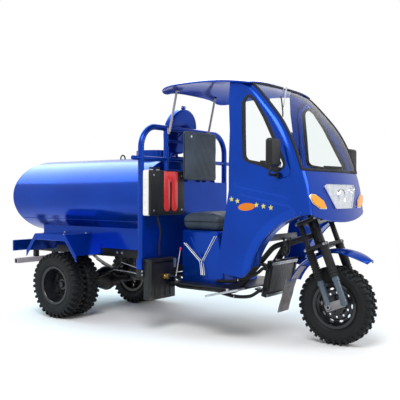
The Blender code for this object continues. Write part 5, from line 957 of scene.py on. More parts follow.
def grown_outline(corners, amount):
    """The outline moved out by an amount, or in by a negative one."""
    middle = Vector((sum(x for x, z in corners), sum(z for x, z in corners))) / len(corners)
    grown = []
    count = len(corners)
    for index in range(count):
        before = Vector(corners[index - 1])
        point = Vector(corners[index])
        after = Vector(corners[(index + 1) % count])
        tangent = (after - before).normalized()
        normal = Vector((tangent.y, -tangent.x))
        if normal.dot(point - middle) < 0:
            normal = -normal
        grown.append(tuple(point + normal * amount))
    return grown


def follow_side(item, sign):
    """Moves a piece modelled on the shell's widest plane onto the shell's real side."""
    for vertex in item.data.vertices:
        vertex.co.y += sign * (cab_half(vertex.co.z) - CAB_HALF)
    return item


def arch_lip(sign):
    """Rolled flange round the wheel arch, from a soft corner in to its inner edge."""
    def surface(u, inward):
        angle = math.radians(165.5 - 66.5 * u)
        corner = min(inward / 0.3, 1)
        radius = ARCH_R + 0.0008 + 0.016 * (1 - math.sin(math.pi / 2 * corner))
        rolled = ARCH_ROLL * eased_step(angle, math.radians(98), math.radians(109))
        y = CAB_HALF + 0.0008 - rolled - (CAB_HALF - rolled - ARCH_FLANGE_Y) * inward
        return (ARCH_X + radius * math.cos(angle), sign * y, ARCH_Z + radius * math.sin(angle))

    return add_sheet(surface, 48, 14, 0.008, flip=sign < 0, offset=-1)


def cab_side(sign):
    """One side wall, trimmed to its outline, with its window cut."""
    panel = add_sheet(side_surface(sign), 84, 120, PANEL_SHEET, flip=sign < 0)
    combine(panel, side_prism(side_outline(), sign, 0, CAB_HALF + 0.03), "INTERSECT")
    cut(panel, side_prism(rounded_outline(WINDOW_CORNERS, 0.06), sign, CAB_HALF / 2, CAB_HALF + 0.03))
    cut(panel, add_sheet(wrapped_surface(SCREEN_LOW_Z, SCREEN_HIGH_Z + 0.06), 60, 40, 0.06, offset=0))
    return cut(panel, roof_space())


def window_seal(sign):
    """Wide black rubber that holds the side glass."""
    outer = rounded_outline(grown_outline(WINDOW_CORNERS, 0.006), 0.06, 8)
    inner = rounded_outline(grown_outline(WINDOW_CORNERS, -0.024), 0.05, 8)
    near = CAB_HALF - 0.018
    far = CAB_HALF - 0.003
    seal = side_prism(outer, sign, near, far)
    cut(seal, side_prism(inner, sign, near - 0.01, far + 0.01))
    soften(seal, 0.004, 3, 50)
    return follow_side(seal, sign)


def side_pane(sign):
    outline = rounded_outline(grown_outline(WINDOW_CORNERS, -0.018), 0.05, 8)
    return follow_side(side_prism(outline, sign, 0.487, 0.491), sign)


def nose_surface(u, v):
    """The nose panel, whose lower edge rises towards both sides."""
    across = 2 * u - 1
    foot = NOSE_LOW_Z + NOSE_RISE * across ** 2
    z = foot + (SCREEN_LOW_Z - foot) * v
    y = across * (cab_half(z) - CAB_CORNER_R - CAB_SEAM)
    return (cab_front(y, z), y, z)


def wrapped_surface(low, high):
    """The screen's sheet, which goes on round both front corners."""
    def surface(u, v):
        across = 2 * u - 1
        z = low + (high - low) * v
        flat = cab_half(z) - CAB_CORNER_R
        turn = SCREEN_WRAP * max(abs(across) - SCREEN_FLAT, 0) / (1 - SCREEN_FLAT)
        y = flat * min(abs(across) / SCREEN_FLAT, 1) + CAB_CORNER_R * math.sin(turn)
        return (cab_front(y, z) - CAB_CORNER_R * (1 - math.cos(turn)), math.copysign(y, across), z)

    return surface


def screen_seal():
    """Black rubber all round the windscreen."""
    surface = wrapped_surface(SCREEN_LOW_Z + 0.004, SCREEN_HIGH_Z - 0.012)
    shares = [step / 24 for step in range(25)]
    corners = [(-1 + 2 * share, 0.0) for share in shares]
    corners += [(1.0, share) for share in shares[1:]]
    corners += [(1 - 2 * share, 1.0) for share in shares[1:]]
    corners += [(-1.0, 1 - share) for share in shares[1:-1]]
    return add_pipe([surface((across + 1) / 2, up) for across, up in corners], 0.0105, closed=True)


def roof_half(x):
    along = x - ROOF_REAR_X
    half = ROOF_HALF - ROOF_TAPER * along / (ROOF_FRONT_X - ROOF_REAR_X)
    if along < ROOF_CORNER_R:
        back = ROOF_CORNER_R - along
        half -= ROOF_CORNER_R - math.sqrt(max(ROOF_CORNER_R ** 2 - back ** 2, 0))
    return half


def roof_height(along, across):
    """Crowned top that falls to its rear edge and, from the middle on, to the windscreen."""
    ends = 1 - 0.9 * max(1 - 2 * along, 0) ** 3.5 - 1.06 * (max(along - 0.42, 0) / 0.58) ** 2.2
    return ROOF_EDGE_Z + ROOF_CROWN * (1 - 0.55 * across ** 2) * ends - ROOF_LIP * across ** 4


def roof_surface(u, v):
    along = v ** 1.3
    x = ROOF_REAR_X + (ROOF_FRONT_X - ROOF_REAR_X) * along
    across = 2 * u - 1
    return (x, across * roof_half(x), roof_height(along, across))


def roof_space():
    """What the canopy takes up, for trimming the shell under it."""
    return add_sheet(roof_surface, 20, 18, 0.2, flip=True, offset=0.87)


def make_cab():
    for side, sign in SIDES:
        panel = cab_side(sign)
        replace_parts(finish_piece(panel, "cab_panel_" + side, "blue", smooth=28), "cab_side_" + side)
        finish_piece(arch_lip(sign), "wheel_arch_lip_" + side, "blue")
        finish_piece(window_seal(sign), "window_seal_" + side, "rubber")
        finish_piece(side_pane(sign), "side_glass_" + side, "glass")
    nose = add_sheet(nose_surface, 60, 30, PANEL_SHEET)
    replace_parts(finish_piece(nose, "nose_panel", "blue"), "cab_nose")
    screen = add_sheet(wrapped_surface(SCREEN_LOW_Z + 0.002, SCREEN_HIGH_Z), 80, 48, 0.005)
    cut(screen, roof_space())
    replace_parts(finish_piece(screen, "windscreen_glass", "glass"), "windscreen")
    finish_piece(screen_seal(), "windscreen_seal", "rubber")
    roof = add_sheet(roof_surface, 48, 56, 0.011, flip=True)
    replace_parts(finish_piece(soften(roof, 0.003, 2, 50), "roof_canopy", "blue"), "roof")


# Steering
def on_axis(along, forward, y):
    point = HEAD + HEAD_UP * along + HEAD_FORWARD * forward
    return Vector((point.x, y, point.z))


def along_head(item, along):
    """Stands an item modelled round the origin on the raked steering axis."""
    item.data.transform(Matrix.Translation(HEAD + HEAD_UP * along) @ Matrix.Rotation(-RAKE, 4, "Y"))
    return item


def hex_bolt(foot, axis, size=0.009):
    """Washer and six-sided head standing on a surface."""
    foot = Vector(foot)
    axis = Vector(axis).normalized()
    washer = add_rod(foot, foot + axis * size * 0.2, size * 1.35, 20)
    head = add_rod(foot + axis * size * 0.2, foot + axis * size * 0.9, size, 6, bevel=size * 0.08)
    return join(washer, head)


def yoke(along):
    """Clamp plate with rounded cheeks round the stem and the four legs."""
    rear = REAR_LEG - 0.03
    front = FRONT_LEG + 0.03
    outline = [(rear, -YOKE_HALF), (front, -YOKE_HALF), (front, -0.1), (front - 0.045, 0), (front, 0.1),
               (front, YOKE_HALF), (rear, YOKE_HALF), (rear + 0.015, 0)]
    return along_head(soften(add_prism("z", outline, 0, YOKE_THICKNESS), 0.008, 3, 50), along)


def smooth_boot(forward, y):
    """Moulded gaiter: a plain barrel with ring bands low down."""
    profile = [(0, -0.345), (0.027, -0.345), (0.033, -0.338), (0.033, -0.325), (0.028, -0.32),
               (0.033, -0.315), (0.033, -0.303), (0.028, -0.298), (0.033, -0.293), (0.033, -0.281),
               (0.0285, -0.276), (0.0325, -0.268), (0.0325, -0.15), (0.03, -0.14), (0.0325, -0.13),
               (0.0325, -0.118), (0.026, -0.111), (0, -0.111)]
    return add_lathe(profile, on_axis(0, forward, y), HEAD_UP, 32)


def ribbed_boot(forward, y):
    ribs = 13
    pitch = 0.225 / ribs
    profile = [(0, -0.34)]
    for index in range(ribs):
        base = -0.34 + pitch * index
        profile += [(0.026, base), (0.0325, base + pitch * 0.35), (0.0325, base + pitch * 0.65)]
    return add_lathe(profile + [(0.026, -0.115), (0, -0.115)], on_axis(0, forward, y), HEAD_UP, 32)


def lower_leg(forward, y):
    profile = [(0, -0.56), (0.02, -0.56), (0.0238, -0.556), (0.0238, -0.378), (0.0278, -0.376),
               (0.0278, -0.352), (0.0238, -0.35), (0.0238, -0.318), (0, -0.318)]
    return add_lathe(profile, on_axis(0, forward, y), HEAD_UP, 32)


def axle_shoe(sign):
    """Cast shoe that joins a pair of legs, with the axle's boss."""
    pairs = ((-0.064, -0.56737), (0.103, -0.56737), (0.118, -0.50737), (-0.064, -0.50737))
    corners = [on_axis(along, forward, 0) for forward, along in pairs]
    outline = rounded_outline([(corner.x, corner.z) for corner in corners], 0.02, 5)
    shoe = soften(add_prism("y", outline, sign * LEG_Y - 0.013, sign * LEG_Y + 0.013), 0.003, 2)
    boss = add_rod((WHEELBASE, sign * 0.141, AXLE_Z), (WHEELBASE, sign * 0.147, AXLE_Z), 0.024, 32,
                   bevel=0.001)
    pinch = hex_bolt(on_axis(-0.537, 0.06, sign * 0.143), (0, sign, 0), 0.008)
    return join(shoe, boss, pinch)


def yoke_bolts(sign, level):
    """Pinch bolts in a yoke's cheek and front edge."""
    places = [(FRONT_LEG + 0.02, YOKE_HALF, (0, sign, 0), 0.007),
              (REAR_LEG - 0.018, YOKE_HALF, (0, sign, 0), 0.007),
              (FRONT_LEG + 0.03, 0.115, HEAD_FORWARD, 0.0065),
              (FRONT_LEG + 0.03, 0.148, HEAD_FORWARD, 0.0065)]
    return [hex_bolt(on_axis(level, forward, sign * y), axis, size) for forward, y, axis, size in places]


def make_fork():
    parts = [*[yoke(level) for level in YOKE_LEVELS],
             add_rod(on_axis(-0.112, 0, 0), on_axis(0.112, 0, 0), 0.017)]
    boots = []
    lowers = []
    bolts = []
    for sign in SIGNS:
        y = sign * LEG_Y
        for forward in (FRONT_LEG, REAR_LEG):
            top = on_axis(LEG_TOP, forward, y)
            parts.append(add_rod(top, on_axis(-0.118, forward, y), 0.0198, 32, bevel=0.0015))
            bolts.append(hex_bolt(top, HEAD_UP, 0.011))
            lowers.append(lower_leg(forward, y))
        boots += [smooth_boot(FRONT_LEG, y), ribbed_boot(REAR_LEG, y)]
        for level in YOKE_BOLT_LEVELS:
            bolts += yoke_bolts(sign, level)
        bolts.append(add_rod((WHEELBASE, sign * 0.147, AXLE_Z), (WHEELBASE, sign * 0.156, AXLE_Z), 0.016, 6,
                             bevel=0.0012))
    bolts.append(add_rod((WHEELBASE, -0.156, AXLE_Z), (WHEELBASE, 0.156, AXLE_Z), 0.011))
    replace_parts(finish_piece(join(*parts), "fork_yokes", "black", "steering"), "fork")
    finish_piece(join(*boots), "fork_boots", "rubber", "steering", 45)
    finish_piece(join(*lowers), "fork_lower_tubes", "shock", "steering")
    finish_piece(join(axle_shoe(-1), axle_shoe(1)), "fork_shoes", "cast", "steering")
    finish_piece(join(*bolts), "fork_bolts", "steel", "steering")


def guard_surface(u, v):
    """Crowned mudguard blade that widens before its narrow front end."""
    angle = math.radians(GUARD_START - GUARD_SWEEP * v)
    across = 2 * u - 1
    ahead = max(v - 0.7, 0) / 0.3
    half = 0.086 + 0.1 * ahead * (1 - ahead) - 0.036 * ahead ** 3
    radius = 0.4078 + 0.03 * max(v - 0.45, 0) / 0.55 - 0.026 * across ** 2
    return Vector((WHEELBASE + radius * math.cos(angle), across * half, AXLE_Z + radius * math.sin(angle)))


def make_mudguard():
    blade = add_sheet(guard_surface, 16, 58, 0.005, flip=True)
    inward = Vector((WHEELBASE, 0, AXLE_Z))
    edge = [guard_surface(0, step / 40) for step in range(41)]
    edge += [guard_surface(step / 12, 1) for step in range(1, 12)]
    edge += [guard_surface(1, 1 - step / 40) for step in range(41)]
    bead = add_pipe([point + (inward - point).normalized() * 0.003 for point in edge], 0.0045)
    boss = along_head(add_block((-0.025, -0.025, -0.028), (0.025, 0.025, 0), 0.003), -STEM_FOOT)
    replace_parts(finish_piece(join(blade, bead, boss), "mudguard_blade", "blue", "steering"), "front_mudguard")
    rivets = [hex_bolt(on_axis(-0.155, 0.0, sign * 0.036), HEAD_UP, 0.007) for sign in SIGNS]
    finish_piece(join(*rivets), "mudguard_bolts", "steel", "steering")


def flap_point(along, y, proud=0.0):
    """A point down the mud flap's hanging plane."""
    run = Vector((-math.sin(FLAP_TILT), 0, -math.cos(FLAP_TILT)))
    normal = Vector((math.cos(FLAP_TILT), 0, -math.sin(FLAP_TILT)))
    return FLAP_TOP + run * (0.001 + along) + normal * proud + Vector((0, y, 0))


def make_flap():
    def surface(u, v):
        across = 2 * u - 1
        bow = 0.0018 * (1 - across ** 2) + 0.0012 * math.sin(v * 14)
        return flap_point(FLAP_LENGTH * v, FLAP_HALF * across, bow)

    flap = add_sheet(surface, 20, 44, 0.0042, offset=0)
    for along in (0.07, 0.13, 0.19):
        flap = join(flap, add_rod(flap_point(along, -0.07, 0.003), flap_point(along, 0.07, 0.003),
                                  0.0028, 10))
    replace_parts(finish_piece(soften(flap, 0.0012, 1, 60), "flap_sheet", "flap", "steering"), "mud_flap")

    def panel_surface(u, v):
        spot = guard_surface(0.5 + 0.7 * (u - 0.5), 0.01 + 0.17 * v)
        return spot + (Vector((WHEELBASE, spot.y, AXLE_Z)) - spot).normalized() * 0.009

    panel = soften(add_sheet(panel_surface, 12, 12, 0.003, offset=0), 0.001, 1, 60)
    finish_piece(panel, "flap_bracket", "grey", "steering")
    away = flap_point(0, 0, -1) - flap_point(0, 0)
    bolts = [hex_bolt(flap_point(0.014, y, -0.0035), away, 0.008) for y in (-0.055, 0, 0.055)]
    finish_piece(join(*bolts), "flap_bolts", "steel", "steering")


def grip(end, inner):
    """Ribbed rubber grip with a flange at its inner end."""
    run = (end - inner).normalized()
    profile = [(0, 0), (0.016, 0), (0.0178, 0.002)]
    for index in range(11):
        base = 0.006 + 0.0095 * index
        profile += [(0.017, base), (0.0155, base + 0.002), (0.0155, base + 0.0045), (0.017, base + 0.0065)]
    profile += [(0.017, 0.112), (0.0215, 0.114), (0.0215, 0.118), (0.017, 0.12), (0, 0.12)]
    return add_lathe(profile, end, -run, 28)


def grip_controls(pod, run, end):
    """Switch pod, its housing and the lever beside one grip."""
    plastic = [add_rod(pod - run * 0.022, pod + run * 0.022, 0.02, 24, bevel=0.004),
               add_block(pod + Vector((-0.01, -0.02, 0.01)), pod + Vector((0.026, 0.02, 0.034)), 0.005)]
    lever = [pod + Vector((0.03, 0, 0)), pod + run * 0.04 + Vector((0.046, 0, -0.002)),
             end + Vector((0.036, 0, 0))]
    return plastic, add_cable(lever, 0.0048)


def bar_dials(middle):
    """Bright rings and dark faces of the two dials on the bar's middle pod."""
    ring = [(0.024, 0), (0.029, 0), (0.029, 0.004), (0.024, 0.006)]
    dials = [middle + Vector((-0.035, y, 0.031)) for y in (-0.04, 0.04)]
    rings = [add_lathe(ring, dial, (-1, 0, 0), 32) for dial in dials]
    return rings, [add_rod(dial, dial + Vector((-0.001, 0, 0)), 0.026, 32) for dial in dials]


def stem_lines():
    """Two cables up the stem and the two rings that hold them."""
    lines = []
    for y in (-0.012, 0.012):
        route = [on_axis(0.13, 0.026, y), on_axis(0.28, 0.027, y * 1.3), on_axis(0.45, 0.028, y)]
        lines.append(add_cable(route, 0.0038))
    ring = [(0.0215, -0.004), (0.0325, -0.004), (0.0325, 0.004), (0.0215, 0.004)]
    return lines + [add_lathe(ring, on_axis(level, 0, 0), HEAD_UP, 28) for level in (0.18, 0.36)]


def make_handlebar():
    middle = on_axis(BAR_RISE, 0, 0)
    rubber = []
    plastic = [along_head(add_rod((0, 0, 0), (0, 0, 0.37), 0.022, 28), STEM_FOOT)]
    metal = []
    corners = []
    for sign in SIGNS:
        inner = middle + Vector((0, sign * 0.11, 0))
        rise = middle + Vector((-0.05, sign * 0.198, 0.07))
        end = middle + Vector((-0.2, sign * 0.33, 0.07))
        run = (end - rise).normalized()
        corners += [end, rise, inner] if sign < 0 else [inner, rise, end]
        rubber.append(grip(end, rise))
        housings, lever = grip_controls(end - run * 0.15, run, end)
        plastic += housings
        metal.append(lever)
    plastic.append(add_pipe(bent_path(corners, 0.044, 6), 0.011, resolution=4))
    plastic.append(add_block(middle + Vector((-0.035, -0.085, 0)),
                             middle + Vector((0.035, 0.085, 0.06)), 0.013, 4))
    rings, faces = bar_dials(middle)
    metal += rings
    plastic += faces + stem_lines()
    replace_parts(finish_piece(join(*plastic), "handlebar_tube", "plastic", "steering"), "handlebar")
    finish_piece(join(*rubber), "handlebar_grips", "rubber", "steering")
    finish_piece(join(*metal), "handlebar_levers", "steel", "steering")


# Nose: lamps and wiper
def nose_point(y, z, proud):
    corner = max(abs(y) - (cab_half(z) - CAB_CORNER_R), 0)
    round_off = CAB_CORNER_R - math.sqrt(max(CAB_CORNER_R ** 2 - corner ** 2, 0))
    return Vector((cab_front(y, z) - round_off + proud, y, z))


def nose_skin(outline, depth, wall, relief=None):
    """A lens or frame laid on the nose inside an outline of (y, z)."""
    low_y = min(y for y, z in outline) - 0.004
    high_y = max(y for y, z in outline) + 0.004
    low_z = min(z for y, z in outline) - 0.004
    high_z = max(z for y, z in outline) + 0.004

    def surface(u, v):
        y = low_y + (high_y - low_y) * u
        z = low_z + (high_z - low_z) * v
        return nose_point(y, z, depth + (relief(y, z) if relief else 0))

    skin = add_sheet(surface, 64, 32, wall)
    return combine(skin, add_prism("x", outline, 2.25, 2.55), "INTERSECT")


def facets(y, z):
    """Cut-crystal steps of a reflector."""
    return 0.003 * abs((y * 46) % 2 - 1) + 0.0022 * abs((z * 60) % 2 - 1)


def projector(y, z, radius):
    """A ring with a low dome in it."""
    spot = nose_point(y, z, 0.003)
    ring = [(radius * 0.86, 0), (radius, 0), (radius, 0.008), (radius * 0.95, 0.0105), (radius * 0.86, 0.006)]
    turns = [math.pi / 2 * step / 6 for step in range(6)]
    dome = [(radius * 0.8 * math.cos(turn), 0.003 + 0.0065 * math.sin(turn)) for turn in turns]
    dome = [(0, 0.0015), (radius * 0.8, 0.0015), *dome, (0, 0.0095)]
    return [add_lathe(profile, spot, (1, 0, 0), 40) for profile in (ring, dome)]


def make_headlamp():
    corners = [(-0.139, 1.0), (0.139, 1.0), (0.275, 1.175), (-0.275, 1.175)]
    outline = rounded_outline(corners, 0.024, 6)
    inner = rounded_outline([(y * 0.97, 1.004 + (z - 1.0) * 0.955) for y, z in corners], 0.022, 6)
    bezel = nose_skin(outline, 0.012, 0.0105)
    cut(bezel, add_prism("x", inner, 2.2, 2.6))
    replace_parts(finish_piece(soften(bezel, 0.001, 2, 50), "headlamp_bezel", "chrome"), "headlamp")
    finish_piece(nose_skin(inner, 0.004, 0.0025, facets), "headlamp_reflector", "chrome", smooth=12)
    rings = projector(-0.012, 1.092, 0.058) + projector(0.15, 1.128, 0.022)
    finish_piece(join(*rings), "headlamp_projectors", "chrome")
    cover = nose_skin(outline, 0.0178, 0.003)
    finish_piece(soften(cover, 0.001, 2, 50), "headlamp_cover", "lens")


def leaf_outline(sign, grow=1.0):
    shares = ((-0.96, -1), (-0.1, -0.95), (0.62, -0.3), (1, 0.95), (0.22, 0.85), (-0.62, 0.05))
    corners = [(0.358 + 0.102 * grow * across, 1.055 + 0.053 * grow * up) for across, up in shares]
    return [(sign * y, z) for y, z in rounded_outline(corners, 0.02, 6)]


def make_turn_lamps():
    for side, sign in SIDES:
        lens = nose_skin(leaf_outline(sign, 0.93), 0.0138, 0.011)
        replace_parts(finish_piece(soften(lens, 0.002, 2, 50), "turn_lens_" + side, "amber"),
                    "turn_lamp_" + side)
        rim = nose_skin(leaf_outline(sign, 1.06), 0.0085, 0.007)
        cut(rim, add_prism("x", leaf_outline(sign, 0.945), 2.2, 2.6))
        finish_piece(soften(rim, 0.001, 2, 50), "turn_rim_" + side, "chrome")


def star_outline(x, z, radius, lean):
    points = []
    for step in range(10):
        turn = math.pi / 2 + lean + math.pi * step / 5
        reach = radius * (0.45 if step % 2 else 1)
        points.append((x + reach * math.cos(turn), z + reach * math.sin(turn)))
    return points


def make_film():
    """Small stars in a row with one plain leaning oval among them."""
    stars = ((1.806, 1.066), (1.858, 1.053), (2.02, 1.026), (2.078, 1.018), (2.138, 1.009))
    turns = [2 * math.pi * step / 40 for step in range(40)]
    oval = [(1.935 + 0.07 * math.cos(turn) - 0.014 * math.sin(turn),
             1.012 + 0.026 * math.sin(turn) + 0.01 * math.cos(turn)) for turn in turns]
    for side, sign in SIDES:
        pieces = [side_prism(star_outline(x, z, 0.021, 0.1), sign, FILM_NEAR, FILM_FAR) for x, z in stars]
        finish_piece(join(*pieces), "film_stars_" + side, "star")
        finish_piece(side_prism(oval, sign, FILM_NEAR, FILM_FAR), "film_oval_" + side, "film")


def screen_spot(y, z, proud):
    return Vector((cab_front(y, z) + proud, y, z))


def make_wiper():
    root = screen_spot(-0.02, 1.915, 0.004)
    pin = add_rod(root - Vector((0.01, 0, 0)), root + Vector((0.026, 0, 0.01)), 0.01, 20, bevel=0.002)
    middle = screen_spot(-0.35, 1.73, 0.024)
    arm = add_cable([root + Vector((0.02, 0, 0.006)), screen_spot(-0.11, 1.88, 0.028), middle], 0.0042)
    finish_piece(join(pin, arm), "wiper_arm", "steel")
    line = [screen_spot(-0.245 - 0.195 * step / 12, 1.826 - 0.176 * step / 12, 0.0165) for step in range(13)]
    finish_piece(add_pipe(line, 0.005), "wiper_blade", "rubber")


def make_mirrors():
    for side, sign in SIDES:
        centre = Vector((2.235, sign * 0.637, 1.3849))
        half = Vector((0.0273, 0.0673, 0.0948))
        shell = add_block(centre - half, centre + half, 0.022, 6)
        cut(shell, add_block(centre - Vector((0.06, 0.056, 0.083)),
                             centre + Vector((-0.022, 0.056, 0.083)), 0.01, 3))
        foot = Vector((MIRROR_FOOT_X, sign * 0.5015, 1.2349))
        route = bent_path([foot, foot + Vector((0, sign * 0.134, 0)), centre - Vector((0, 0, 0.085))],
                          0.055, 8)
        socket = add_rod(foot, foot + Vector((0, sign * 0.02, 0)), 0.02, 28, bevel=0.004)
        plate = [(2.03, 1.344), (2.225, 1.33), (2.205, 1.262), (2.12, 1.29)]
        base = side_prism(rounded_outline(plate, 0.012, 4), sign, MIRROR_BASE_Y - 0.006, MIRROR_BASE_Y)
        body = join(shell, add_pipe(route, 0.008, resolution=4), socket, soften(base, 0.0015, 2))
        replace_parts(finish_piece(body, "mirror_housing_" + side, "plastic"), "mirror_" + side)
        glass = add_block(centre + Vector((-0.0235, -0.055, -0.082)),
                          centre + Vector((-0.0225, 0.055, 0.082)))
        finish_piece(soften(glass, 0.0003, 1, 50), "mirror_glass_" + side, "chrome")
        bolts = [hex_bolt((MIRROR_FOOT_X + along, sign * MIRROR_BASE_Y, z), (0, sign, 0), 0.008)
                 for along, z in ((0.018, 1.3), (-0.06, 1.312))]
        finish_piece(join(*bolts), "mirror_bolts_" + side, "steel")


def make_dash():
    """Shelf behind the windscreen's foot."""
    def shelf_surface(u, v):
        z = 1.19 + 0.062 * v
        y = (2 * u - 1) * 0.4
        return (cab_front(y, z) - 0.016 - 0.014 * (1 - v), y, z)

    finish_piece(soften(add_sheet(shelf_surface, 30, 6, 0.07), 0.006, 3, 50), "dash_shelf", "plastic")


# Hoop, canister and box
def weld(centre, radius, axis=(0, 0, 1)):
    """A small fillet bead where two tubes meet."""
    turn = Vector((0, 0, 1)).rotation_difference(Vector(axis)).to_matrix()
    angles = [2 * math.pi * step / 28 for step in range(28)]
    ring = [Vector(centre) + turn @ Vector((radius * math.cos(angle), radius * math.sin(angle), 0))
            for angle in angles]
    return add_pipe(ring, 0.0035, closed=True, resolution=2)


def make_hoop():
    """Bent tube over the box and the seat's back, with its rails, posts, tabs and welds."""
    corners = [(HOOP_X, -HOOP_HALF, 0.5003), (HOOP_X, -HOOP_HALF, HOOP_TOP_Z),
               (HOOP_X, HOOP_HALF, HOOP_TOP_Z), (HOOP_X, HOOP_HALF, 0.5003)]
    parts = [add_pipe(bent_path(corners, 0.18, 12), 0.025, resolution=6)]
    parts.append(add_rod((HOOP_X, -0.68, HOOP_ARM_Z), (HOOP_X, 0.68, HOOP_ARM_Z), 0.018, 32, bevel=0.002))
    parts.append(add_rod((HOOP_X, -HOOP_HALF, HOOP_RAIL_Z), (HOOP_X, HOOP_HALF, HOOP_RAIL_Z), 0.018, 32))
    for y in (-POST_Y, 0, POST_Y):
        parts.append(add_rod((HOOP_X, y, HOOP_RAIL_Z), (HOOP_X, y, HOOP_TOP_Z), 0.022, 32))
        parts += [weld((HOOP_X, y, z), 0.0225) for z in (1.633, 1.206, 1.41, 1.37)]
    for z in (1.3, 1.55):
        parts.append(add_rod((HOOP_X, -POST_Y, z), (HOOP_X, POST_Y, z), 0.014, 24))
        parts += [add_rod((HOOP_X, y, z), (1.1115, y, z), 0.01, 20) for y in (-0.11, 0.11)]
    parts.append(add_block((HOOP_X - 0.003, -POST_Y, 1.1975), (HOOP_X + 0.003, 0, 1.38), 0.001))
    for sign in SIGNS:
        post = sign * POST_Y
        parts.append(add_block((HOOP_X, post - 0.02, TAB_LOW_Z),
                               (HOOP_X + 0.027, post + 0.02, HOOP_TOP_Z), 0.003))
        parts.append(weld((HOOP_X, sign * HOOP_HALF, 0.503), 0.0255))
        parts.append(weld((HOOP_X, sign * 0.602, HOOP_ARM_Z), 0.019, (0, 1, 0)))
    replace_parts(finish_piece(join(*parts), "hoop_tubes", "blue"), "guard_hoop")


def roof_underside(x, y):
    return roof_height((x - ROOF_REAR_X) / (ROOF_FRONT_X - ROOF_REAR_X), y / roof_half(x)) - 0.0125


def make_poles():
    for side, sign in SIDES:
        y = sign * POST_Y
        top = Vector((1.1, y, roof_underside(1.1, y)))
        foot = Vector((1.0233, y, 1.625))
        pole = add_rod(foot, top, 0.01, 24)
        tab = add_block((STAY_FACE_X - 0.004, y - 0.016, TAB_LOW_Z),
                        (STAY_FACE_X, y + 0.016, HOOP_TOP_Z), 0.001)
        flange = add_rod(top - Vector((0, 0, 0.004)), top + Vector((0, 0, 0.0008)), 0.02, 24)
        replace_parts(finish_piece(join(pole, tab, flange), "roof_stay_" + side, "grey"), "roof_pole_" + side)
        bolt = hex_bolt((STAY_FACE_X, y, 1.642), (1, 0, 0), 0.007)
        finish_piece(bolt, "roof_stay_bolt_" + side, "steel")


def u_stripe():
    """The raised mark on the canister's cover: two prongs joined on top, with round lower ends."""
    middle = -0.352
    turns = [-math.pi * step / 12 for step in range(13)]
    prongs = [[(centre + 0.0375 * math.cos(turn), 1.0 + 0.0375 * math.sin(turn)) for turn in turns]
              for centre in (middle + 0.0485, middle - 0.0485)]
    notch = [(middle + y, z) for y, z in ((0.011, 1.195), (0.007, 1.203), (-0.007, 1.203), (-0.011, 1.195))]
    outline = [(middle - 0.086, 1.286), (middle + 0.086, 1.286), *prongs[0], *notch, *prongs[1]]
    return soften(add_prism("x", outline, 1.1035, 1.1095), 0.0018, 2, 50)


def canister_cap(x, y):
    """Screw cap with a ring of fine ridges."""
    cap = add_rod((x, y, 1.302), (x, y, 1.3188), 0.0182, 32, bevel=0.0025)
    ridges = ring_of(add_rod((0.0185, 0, 1.303), (0.0185, 0, 1.3165), 0.0016, 8), 18, (0, 0, 0), (0, 0, 1))
    return [cap, shifted(ridges, (x, y, 0))]


def make_canister():
    face = CARRIER_FACE_X
    neck_x = face + 0.031
    parts = [add_block((face, -0.6, 0.93), (face + 0.062, -0.17, 1.295), 0.014, 4)]
    for z in (0.985, 1.045, 1.105, 1.165, 1.225):
        parts.append(add_block((face + 0.01, -0.6018, z - 0.01), (face + 0.052, -0.598, z + 0.01), 0.0015))
    parts += [add_rod((neck_x, y, 1.283), (neck_x, y, 1.303), 0.014, 28) for y in CAP_PLACES]
    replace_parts(finish_piece(join(*parts), "canister_body", "white"), "canister")
    caps = canister_cap(neck_x, CAP_PLACES[0]) + canister_cap(neck_x, CAP_PLACES[1])
    finish_piece(join(*caps), "canister_caps", "plastic")
    cover = add_block((1.0789, -0.5985, 0.9315), (COVER_FACE_X, -0.1715, 1.2935), 0.009, 4)
    cut(cover, add_block((1.092, -0.361, 0.975), (1.115, -0.343, 1.198)))
    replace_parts(finish_piece(cover, "canister_front", "plastic"), "canister_cover")
    finish_piece(u_stripe(), "canister_stripe", "red")
    hose = [(1.06, -0.475, 0.938), (1.075, -0.47, 0.88), (1.07, -0.44, 0.8), (1.045, -0.425, 0.7),
            (1.04, -0.42, 0.6)]
    finish_piece(add_cable(hose, 0.0085), "canister_pipe", "rubber")
    screws = [hex_bolt((COVER_FACE_X, y, z), (1, 0, 0), 0.006) for y in (-0.56, -0.21)
              for z in (0.972, 1.253)]
    finish_piece(join(*screws), "canister_screws", "steel")


def make_battery_box():
    face = CARRIER_FACE_X
    parts = [add_block((face, -0.585, 0.26), (face + 0.085, -0.285, 0.552), 0.007, 3),
             add_block((face, -0.588, 0.556), (face + 0.088, -0.282, 0.585), 0.007, 3)]
    for y in (-0.53, -0.47, -0.41, -0.35):
        parts.append(add_block((face + 0.083, y - 0.012, 0.285), (face + 0.089, y + 0.012, 0.4), 0.0025))
    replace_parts(finish_piece(join(*parts), "battery_case", "black"), "battery_box")
    strip = add_block((face + 0.0425, -0.597, 0.262), (face + 0.097, -0.57, 0.583), 0.003)
    finish_piece(strip, "battery_strip", "plastic")
    latch = join(add_block((face + 0.088, -0.315, 0.5), (face + 0.093, -0.287, 0.575), 0.002),
                 add_rod((face + 0.093, -0.301, 0.515), (face + 0.098, -0.301, 0.515), 0.007, 20))
    finish_piece(latch, "battery_latch", "steel")


